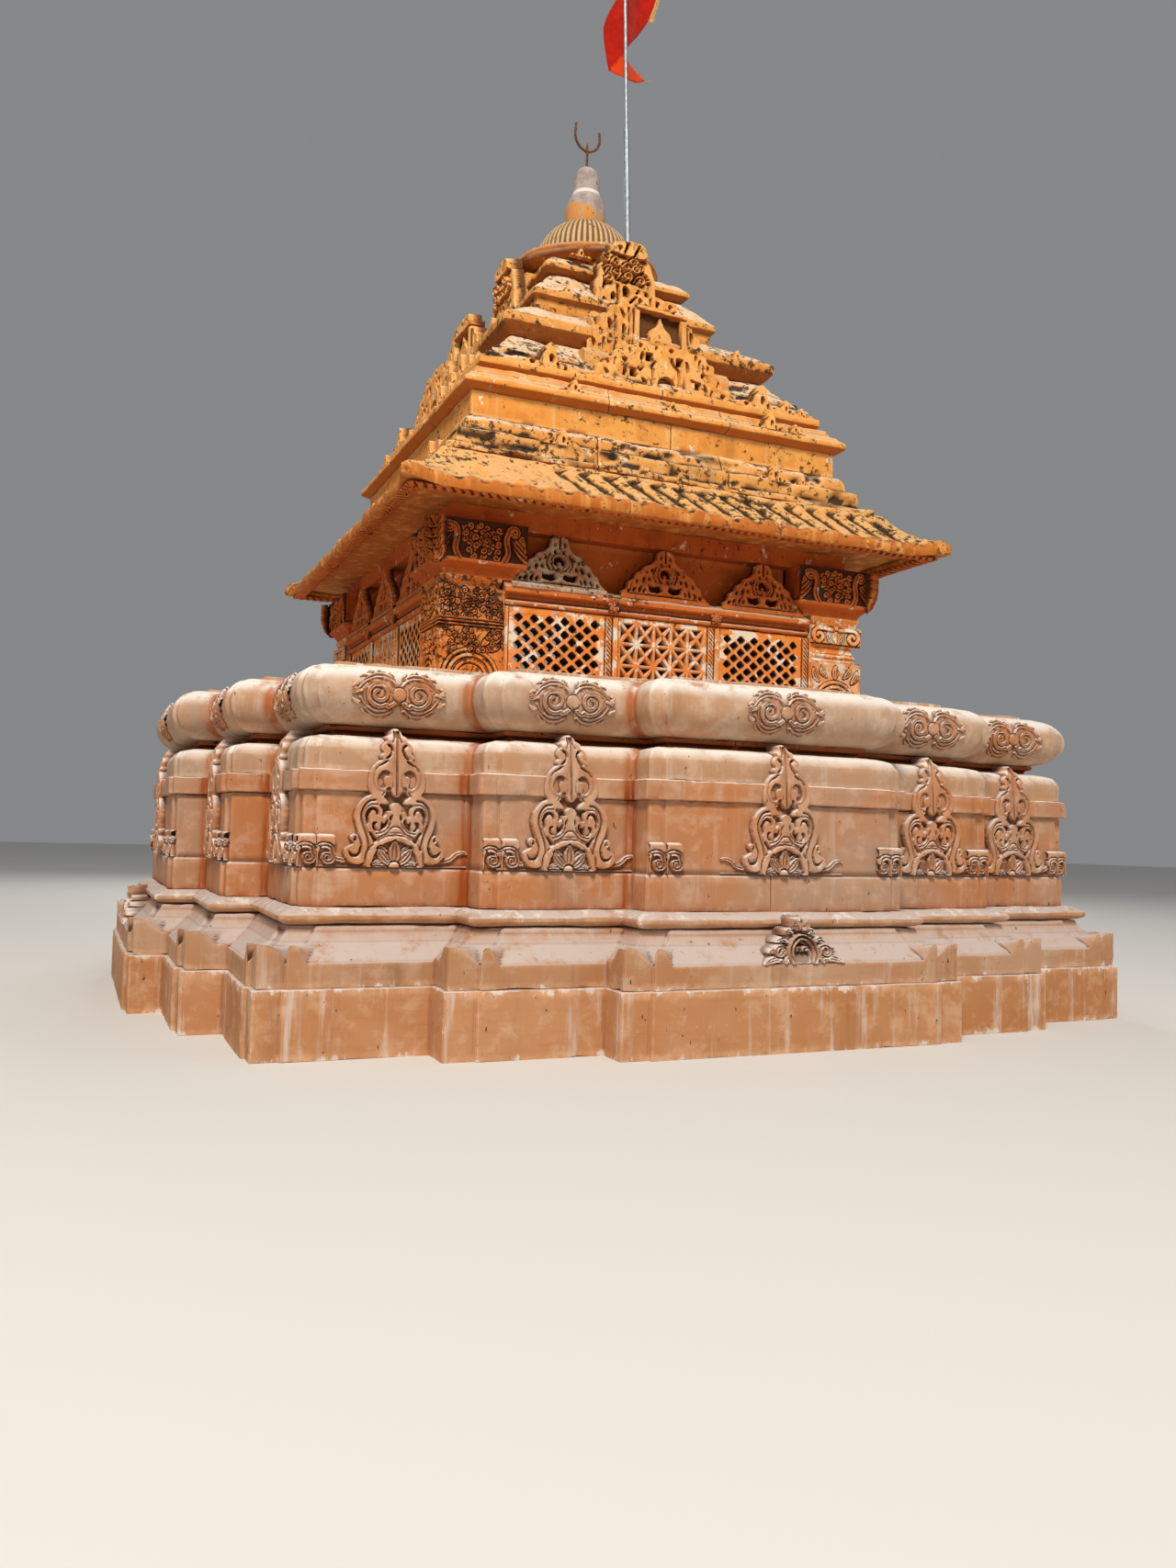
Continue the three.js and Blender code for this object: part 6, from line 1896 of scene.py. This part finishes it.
def middle_gable():
    """A frame round a niche with a spade-shaped leaf."""
    relief = Relief(-0.43, 0.43, 0, 0.45, 0.0056, mirrored=False)
    left = [
        (-0.42, 0), (-0.425, 0.07), (-0.395, 0.1), (-0.4, 0.165), (-0.35, 0.185), (-0.345, 0.25),
        (-0.29, 0.27), (-0.275, 0.32),
    ]
    left += [(-0.22, 0.335), (-0.2, 0.385), (-0.15, 0.395), (-0.11, 0.425), (-0.02, 0.425)]
    right = [
        (0.03, 0.438), (0.1, 0.425), (0.185, 0.415), (0.195, 0.36), (0.24, 0.34), (0.25, 0.3), (0.3, 0.285),
        (0.315, 0.24),
    ]
    right += [(0.355, 0.225), (0.36, 0.175), (0.4, 0.15), (0.41, 0.08), (0.425, 0)]
    relief.fill(left + right, 0.85, smooth=True)
    relief.fill([(-0.1, 0.33), (0.26, 0.315), (0.265, 0.345), (-0.1, 0.358)], 1.0)
    relief.fill([(-0.12, 0.06), (-0.075, 0.06), (-0.075, 0.32), (-0.115, 0.33)], 1.0)
    relief.fill([(0.215, 0.05), (0.265, 0.05), (0.255, 0.31), (0.215, 0.31)], 1.0)
    relief.pierce([(-0.07, 0.085), (0.21, 0.085), (0.21, 0.312), (-0.07, 0.325)], 0.42)
    relief.fill(
        [
            (0.075, 0.31), (0.05, 0.255), (0.0, 0.21), (-0.005, 0.15), (0.03, 0.09), (0.13, 0.09),
            (0.155, 0.14), (0.15, 0.2), (0.1, 0.25),
        ],
        0.85, smooth=True,
    )
    for shape, x, z, wide, tall, turn in (
        (DROP, -0.276, 0.201, 0.018, 0.034, 10), (DROP, -0.274, 0.104, 0.02, 0.03, -10),
        (DROP, -0.384, 0.065, 0.014, 0.03, 15),
        (DROP, 0.295, 0.215, 0.012, 0.034, 5), (DROP, 0.35, 0.131, 0.013, 0.03, 0),
        (DROP, -0.073, 0.383, 0.014, 0.014, 0),
        (DROP, 0.049, 0.385, 0.014, 0.016, 0), (DROP, 0.14, 0.385, 0.014, 0.013, 0),
        (DROP, -0.19, 0.28, 0.01, 0.03, 25),
        (DROP, -0.18, 0.17, 0.012, 0.045, 0), (DROP, -0.34, 0.14, 0.008, 0.02, 0),
        (DROP, 0.3, 0.1, 0.008, 0.03, 10),
    ):
        sawn(relief, shape, x, z, wide, tall, turn)
    for line in (
        [(-0.24, 0.03), (-0.23, 0.16), (-0.24, 0.25)], [(-0.15, 0.04), (-0.14, 0.2), (-0.15, 0.32)],
        [(-0.32, 0.03), (-0.315, 0.1)], [(0.33, 0.02), (0.325, 0.08)], [(-0.14, 0.36), (-0.1, 0.4)],
        [(0.0, 0.365), (0.0, 0.42)], [(0.19, 0.36), (0.15, 0.345)],
    ):
        relief.line(line, 0.013, 0.6)
    return relief.mesh(0.1, keep=0.3)


def upper_gable():
    """A worn block with little left of its carving."""
    relief = Relief(-0.26, 0.26, 0, 0.57, 0.0065, mirrored=False)
    left = [
        (-0.245, 0), (-0.25, 0.12), (-0.215, 0.16), (-0.22, 0.25), (-0.19, 0.3), (-0.2, 0.37), (-0.16, 0.4),
        (-0.165, 0.46),
    ]
    left += [(-0.12, 0.48), (-0.115, 0.535), (-0.05, 0.545)]
    right = [
        (0.02, 0.558), (0.1, 0.55), (0.135, 0.51), (0.13, 0.47), (0.17, 0.44), (0.195, 0.37), (0.215, 0.3),
        (0.22, 0.2),
    ]
    relief.fill(left + right + [(0.25, 0.13), (0.25, 0)], 0.72, smooth=True)
    relief.fill(
        [(-0.12, 0.455), (0.11, 0.44), (0.14, 0.5), (0.08, 0.55), (-0.05, 0.54), (-0.115, 0.51)], 1.0,
        smooth=True,
    )
    foliage(relief, -0.15, 0.15, 0.28, 0.42, 14, 5, 0.06)
    for x, z, wide, tall, turn in (
        (-0.15, 0.12, 0.016, 0.035, 5), (-0.155, 0.24, 0.014, 0.03, -10), (-0.09, 0.17, 0.02, 0.03, 0),
        (0.0, 0.21, 0.03, 0.045, 0),
        (0.09, 0.16, 0.02, 0.03, 10), (0.16, 0.12, 0.016, 0.035, 0), (0.15, 0.22, 0.014, 0.025, 10),
        (-0.06, 0.49, 0.014, 0.014, 0),
    ):
        sawn(relief, DROP, x, z, wide, tall, turn)
    for line in (
        [(-0.09, 0.05), (-0.05, 0.12), (-0.06, 0.25)], [(0.05, 0.04), (0.045, 0.12), (0.09, 0.24)],
        [(-0.02, 0.47), (0.0, 0.53)], [(0.05, 0.46), (0.08, 0.52)],
    ):
        relief.line(line, 0.016, 0.55)
    return relief.mesh(0.11, keep=0.32)


GABLES = [  # relief, its back, its depth, how far it is off the middle, its foot
    (lower_gable(), 1.01, 0.11, 0.045, LOWER_GABLE_FOOT),
    (middle_gable(), 0.85, 0.1, 0.025, MIDDLE_GABLE_FOOT),
    (upper_gable(), 0.55, 0.11, -0.005, UPPER_GABLE_FOOT),
]
# the plain block behind each gable, from its face back into the slabs: left, right, back, front, low, high
BLOCKS = [
    (-0.5, 0.5, 0.66, 1.03, 3.70, 3.93), (-0.37, 0.37, 0.5, 0.87, 3.9, 4.2),
    (-0.17, 0.17, 0.45, 0.57, 4.3, 4.74),
]
for name, turns in SIDES:
    copies = []
    for gable, behind in zip(GABLES, BLOCKS):
        carved, gable_back, depth, middle, foot = gable
        left, right, back, front, low, high = behind
        copies.append(on_face(carved, gable_back, depth, 0, middle, foot, (0.95, 0.25, 0.72)))
        section = [(back, low), (front, low), (front, high - 0.04), (front - 0.04, high), (back, high)]
        block, block_faces = swept(left, right, section, 0.05)
        copies.append(plain(block + (middle, 0, 0), block_faces, 0.3))
    wear = worn(120 + turns, 0.004, 0.0025, 0.004, 0.0045)
    add_copies("gable_stone_" + name, copies, turns, bleached_saffron, "gable_" + name, 45, wear, ROOF_SHIFT)
print("gables:", made["gable_stone_front"], "triangles on a side")

# %% Leaf crests on the slabs
CREST_PLACES = [  # across, how far out, foot, size
    (-0.70, 1.325, 3.185, 0.75), (0.72, 1.325, 3.185, 0.85), (0.92, 1.325, 3.185, 0.45),
    (-0.61, 1.268, 3.53, 0.6), (0.03, 1.268, 3.53, 0.45),
    (0.72, 1.268, 3.53, 0.85), (0.9, 1.268, 3.53, 0.5), (-0.72, 1.15, 3.695, 1.2),
    (0.72, 1.15, 3.695, 1.2), (0.9, 1.15, 3.695, 0.7),
    (1.02, 1.15, 3.695, 0.45), (0.66, 0.937, 4.08, 0.5), (-0.42, 0.655, 4.405, 0.5), (-0.3, 0.57, 4.715, 0.5),
]


def crest():
    """A leaf that stands on an edge between two low curls."""
    relief = Relief(-0.16, 0.16, 0, 0.14, 0.005, mirrored=False)
    left = [
        (-0.15, 0), (-0.14, 0.025), (-0.1, 0.04), (-0.062, 0.03), (-0.05, 0.06), (-0.028, 0.105), (0, 0.135),
    ]
    right = [
        (0.028, 0.12), (0.035, 0.08), (0.045, 0.045), (0.07, 0.028), (0.1, 0.036), (0.135, 0.02), (0.15, 0),
    ]
    relief.fill(left + right, 0.85, smooth=True)
    for x, z, wide, tall in (
        (0.008, 0.05, 0.014, 0.021), (-0.095, 0.018, 0.012, 0.01), (0.08, 0.014, 0.01, 0.009),
    ):
        sawn(relief, DROP, x, z, wide, tall)
    relief.line([(-0.045, 0.005), (-0.05, 0.04), (-0.03, 0.09)], 0.011, 0.6)
    relief.line([(0.045, 0.005), (0.04, 0.03)], 0.011, 0.6)
    return relief.mesh(0.09, keep=0.24)


crest_points, crest_faces = crest()
for name, turns in SIDES:
    copies = []
    for across, out, foot, size in CREST_PLACES:
        scaled = (crest_points * (size, size, 1), crest_faces)
        copies.append(on_face(scaled, out - 0.09, 0.1, 0, across, foot, (0.9, 0.1, 0.5)))
    wear = worn(130 + turns, 0.003, 0.002, 0.004)
    add_copies("leaf_crests_" + name, copies, turns, bleached_saffron, None, 45, wear, ROOF_SHIFT)
print("roof pieces:", [k for k in made if "tier" in k or "gable" in k])

# %% [markdown]
# ## The crown
# On the top slab lies a round disc with a worn edge, and on it a fluted bell whose ribs were painted
# white. The cement pot above it, whose foot was dipped in orange, holds the iron trident. The flag
# pole stands beside the bell. The bell, disc and pot are turned shapes with ribs and dents worked in.

# %% Turned pieces
DISC_FACE = [
    (0.0, 4.742), (0.365, 4.742), (0.372, 4.75), (0.392, 4.815), (0.45, 4.828), (0.5, 4.834), (0.513, 4.845),
    (0.514, 4.87),
]
DISC_FACE += [(0.51, 4.888), (0.5, 4.894), (0.42, 4.895), (0.33, 4.894), (0.0, 4.89)]
BELL_FACE = [
    (0.0, 4.894), (0.326, 4.894), (0.335, 4.9), (0.343, 4.93), (0.344, 4.96), (0.338, 5.0), (0.329, 5.04),
    (0.31, 5.082),
]
BELL_FACE += [
    (0.285, 5.12), (0.257, 5.152), (0.225, 5.18), (0.19, 5.203), (0.15, 5.219), (0.1, 5.222), (0.0, 5.222),
]
POT_FACE = [
    (0.0, 5.215), (0.13, 5.218), (0.134, 5.225), (0.14, 5.26), (0.1415, 5.3), (0.1395, 5.345),
    (0.133, 5.385), (0.121, 5.418),
]
POT_FACE += [
    (0.103, 5.444), (0.096, 5.453), (0.099, 5.46), (0.098, 5.466), (0.094, 5.476), (0.0915, 5.53),
    (0.088, 5.57),
]
POT_FACE += [(0.082, 5.6), (0.071, 5.625), (0.056, 5.645), (0.037, 5.657), (0.018, 5.663), (0.0, 5.665)]
BELL_RIBS, CROWN_CORNERS = 54, 324


def divided(outline, longest, closed=True):
    """The same outline with its long sides cut into shorter ones."""
    ends = outline[1:] + outline[:1] if closed else outline[1:]
    out = []
    for (x0, z0), (x1, z1) in zip(outline, ends):
        count = max(1, math.ceil(math.hypot(x1 - x0, z1 - z0) / longest))
        out += [(x0 + (x1 - x0) * k / count, z0 + (z1 - z0) * k / count) for k in range(count)]
    return out


def turned(profile, corners=CROWN_CORNERS, longest=0.02):
    """A turned shape about Z from a profile of (radius, height), bottom axis point to top axis point."""
    rows = [row for row in divided(profile, longest, closed=False) if row[0] > 0.004]
    angles = np.arange(corners) * 2 * math.pi / corners
    around = [(radius * math.cos(a), radius * math.sin(a), z) for radius, z in rows for a in angles]
    points = [(0, 0, profile[0][1])] + around + [(0, 0, profile[-1][1])]
    faces = [(0, 1 + (k + 1) % corners, 1 + k) for k in range(corners)]
    faces += ring_faces(len(rows), corners, 1)
    last = 1 + (len(rows) - 1) * corners
    faces += [(last + k, last + (k + 1) % corners, len(points) - 1) for k in range(corners)]
    return np.array(points), faces


disc, disc_faces = turned(DISC_FACE, 216)
angle = np.arctan2(disc[:, 1], disc[:, 0])
rim = smooth_step(np.hypot(disc[:, 0], disc[:, 1]), 0.4, 0.5)
round_it = np.column_stack([np.cos(angle), np.sin(angle), 0 * angle])
dent = np.clip(smooth_noise(round_it, 0.33, 7), 0, 1) * rim
disc[:, :2] *= (1 - 0.045 * dent)[:, None]
wear = worn(141, 0.003, 0.0025, 0.01)
add_piece("disc_stone", disc, disc_faces, crown_limewash, "crown_disc", 45, wear, hollow=0.2 * dent)

bell, bell_faces = turned(BELL_FACE)
angle = np.arctan2(bell[:, 1], bell[:, 0])
radius = np.hypot(bell[:, 0], bell[:, 1])
side = smooth_step(radius, 0.12, 0.2) * smooth_step(bell[:, 2], 4.896, 4.93)
rib = 0.5 + 0.5 * np.cos(angle * BELL_RIBS)
bell[:, :2] *= (1 - 0.035 * side * (1 - rib ** 0.6))[:, None]
grooves = 0.9 * side * (1 - smooth_step(rib, 0.2, 0.5))
wear = worn(143, 0.002, 0.0015, 0.004)
add_piece("bell_stone", bell, bell_faces, ribbed_limewash, "ribbed_bell", 50, wear, hollow=grooves)

pot, pot_faces = turned(POT_FACE, 96, 0.014)
dipped_to = 5.315 - 0.42 * pot[:, 0] + 0.015 * smooth_noise(pot, 0.05, 3)
painted = 1 - smooth_step(pot[:, 2], dipped_to - 0.006, dipped_to)
# A thin pale band on the neck is a painted highlight, laid in the hollow layer.
neck_highlight = smooth_step(pot[:, 2], 5.448, 5.453) * (1 - smooth_step(pot[:, 2], 5.465, 5.47))
wear = worn(145, 0.002, 0.001, 0.0, 0.01)
add_piece("pot_cement", pot, pot_faces, dipped_cement, "finial_pot", 60, wear, painted, 0.9 * neck_highlight)
bpy.data.objects["trident"].data.materials[0] = rusty_iron
bpy.data.objects["flag_pole"].data.materials[0] = galvanised_steel
print("bell:", made["bell_stone"], "triangles")

# %% [markdown]
# ## The flag
# A pennant of thin cotton is tied to the pole and blown across it, so it passes behind the tube. Its
# lower tip is folded over along a crease and painted a paler red as painted light, with a torn edge.
# Along the straight edge runs a golden fringe. Only the lower end is seen in the photograph. The
# cloth was drawn in this shape, so it needs no simulation.

# %% The cloth
POLE_FOOT, POLE_LEAN = (0.152, -0.385, 4.895), 0.036
CLOTH_LEFT = [
    (-0.012, 7.48), (-0.016, 7.2), (-0.02, 6.95), (-0.032, 6.76), (-0.054, 6.665), (-0.098, 6.581),
    (-0.123, 6.519), (-0.137, 6.465),
]
CLOTH_LEFT += [
    (-0.135, 6.378), (-0.127, 6.311), (-0.118, 6.231), (-0.106, 6.167), (-0.065, 6.15), (-0.012, 6.14),
    (0.051, 6.143), (0.124, 6.168),
]
CLOTH_TORN = [
    (0.183, 6.196), (0.167, 6.207), (0.158, 6.221), (0.145, 6.218), (0.138, 6.236), (0.122, 6.228),
    (0.11, 6.245), (0.092, 6.236),
]
CLOTH_TORN += [(0.078, 6.251), (0.06, 6.243), (0.045, 6.256), (0.022, 6.262), (-0.008, 6.294)]
CLOTH_RIGHT = [
    (0.01, 6.33), (0.04, 6.375), (0.09, 6.442), (0.143, 6.514), (0.178, 6.569), (0.205, 6.614),
    (0.211, 6.634), (0.238, 6.702), (0.252, 6.757),
]
CLOTH_RIGHT += [(0.254, 6.9), (0.245, 7.1), (0.2, 7.3), (0.09, 7.43), (0.012, 7.48)]
CREASE = ((-0.106, 6.167), (-0.008, 6.294))
FOLDS = [
    (-0.19, 0.078), (-0.13, 0.058), (-0.065, 0.03), (0, 0.0135), (0.065, 0.033), (0.13, 0.06), (0.195, 0.05),
]
FOLDS = curve(FOLDS + [(0.265, 0.018)])
CLOTH_STEP, CLOTH_THICK = 0.013, 0.0012


def past_crease(flat):
    """How far points lie beyond the crease, on the folded tip."""
    (x0, z0), (x1, z1) = CREASE
    length = math.hypot(x1 - x0, z1 - z0)
    beyond = ((flat[:, 0] - x0) * (z1 - z0) - (flat[:, 1] - z0) * (x1 - x0)) / length
    return np.where(flat[:, 1] < z1, np.maximum(beyond, 0), 0)


def hung(flat):
    """Points of the cloth in space, from how far they are across from the pole and how high."""
    rough = np.column_stack([flat[:, 0], 0 * flat[:, 0], flat[:, 1]])
    off_pole = smooth_step(np.abs(flat[:, 0]), 0.015, 0.06)
    ripple = 0.006 * smooth_noise(rough * (1, 1, 0.5), 0.07, 31) * off_pole
    depth = np.interp(flat[:, 0], FOLDS[:, 0], FOLDS[:, 1]) + ripple + 0.12 * past_crease(flat)
    x = POLE_FOOT[0] - POLE_LEAN * (flat[:, 1] - POLE_FOOT[2]) + flat[:, 0]
    return np.column_stack([x, POLE_FOOT[1] + depth, flat[:, 1]])


loop = divided(CLOTH_LEFT + CLOTH_TORN + CLOTH_RIGHT, CLOTH_STEP)
panel = Relief(-0.2, 0.3, 6.1, 7.5, CLOTH_STEP, mirrored=False)
inside = panel.cover(loop, False) > 0.99
seeds = loop + list(zip(panel.x[inside].tolist(), panel.z[inside].tolist()))
border = [list(range(len(loop)))]
cut = geometry.delaunay_2d_cdt([Vector(p) for p in seeds], [], border, 1, 1e-5)
flat_points, cloth_faces = np.array([tuple(p) for p in cut[0]]), cut[2]
cloth = add_piece("flag_cloth", hung(flat_points), cloth_faces, red_cotton, "flag", 60)
# The folded tip is marked for its paler red, a painted light.
store_stains_light_and_shade(cloth.data, smooth_step(past_crease(flat_points), 0.0, 0.004))
thickness = cloth.modifiers.new("cotton", "SOLIDIFY")
thickness.thickness, thickness.offset = CLOTH_THICK, 0
print("cloth:", len(cloth_faces), "triangles")

# %% Fringe and ties
def thread(path, radius, sides=5):
    """A round thread along points."""
    path = np.array(path, float)
    along = np.gradient(path, axis=0)
    along /= np.linalg.norm(along, axis=1)[:, None]
    across = np.cross(along, (0.31, 0.93, 0.2))
    across /= np.linalg.norm(across, axis=1)[:, None]
    third = np.cross(along, across)
    points = []
    for middle, side_way, third_way in zip(path, across, third):
        for a in np.arange(sides) * 2 * math.pi / sides:
            points.append(middle + radius * (math.cos(a) * side_way + math.sin(a) * third_way))
    faces = [tuple(range(sides))[::-1], tuple(range((len(path) - 1) * sides, len(path) * sides))]
    return plain(np.vstack(points), faces + ring_faces(len(path), sides))


def thread_from(start, steps, radius):
    """A thin thread on the cloth, from a point and the steps that it takes from there."""
    path = [start] + [(start[0] + across, start[1] + up) for across, up in steps]
    return thread(hung(np.array(path)), radius, 4)


edge = np.array(divided(CLOTH_RIGHT[6:12], 0.006, closed=False))
threads = [thread(hung(edge + (0.001, 0)), 0.0028)]
for k, start in enumerate(edge):
    sway = 0.006 * math.sin(1.9 * k) + 0.004 * math.sin(0.7 * k)
    threads.append(thread_from(start, [(0.012, -0.004 + sway / 2), (0.021, -0.012 + sway)], 0.0016))
for k in range(9):
    turn = math.radians(200 + 22 * k)
    tip = (0.008 + 0.026 * math.cos(turn), -0.012 + 0.026 * math.sin(turn))
    threads.append(thread_from(edge[0], [(0.008, -0.012), tip], 0.002))
threads.append(thread_from(CLOTH_TORN[0], [(0.016, 0.002), (0.03, 0.008), (0.046, 0.004)], 0.001))
fringe = add_copies("flag_fringe", threads, 0, gold_thread, smooth=60)

ties = []
for height in (7.46, 7.2, 6.93):
    middle = np.array([POLE_FOOT[0] - POLE_LEAN * (height - POLE_FOOT[2]), POLE_FOOT[1], height])
    turns = np.radians(np.linspace(0, 360 * 3, 60))
    coil = [middle + (0.0138 * math.cos(t), 0.0138 * math.sin(t), 0.0012 * t / math.pi) for t in turns]
    ties.append(thread(coil, 0.0016))
ties = add_copies("flag_ties", ties, 0, red_cotton, smooth=60)

# %% [markdown]
# ## The end
# The triangles of the dressed temple are counted and printed, with its largest piece.

# %% Triangle count
print("triangles:", sum(made.values()), "largest piece:", max(made.items(), key=lambda item: item[1]))
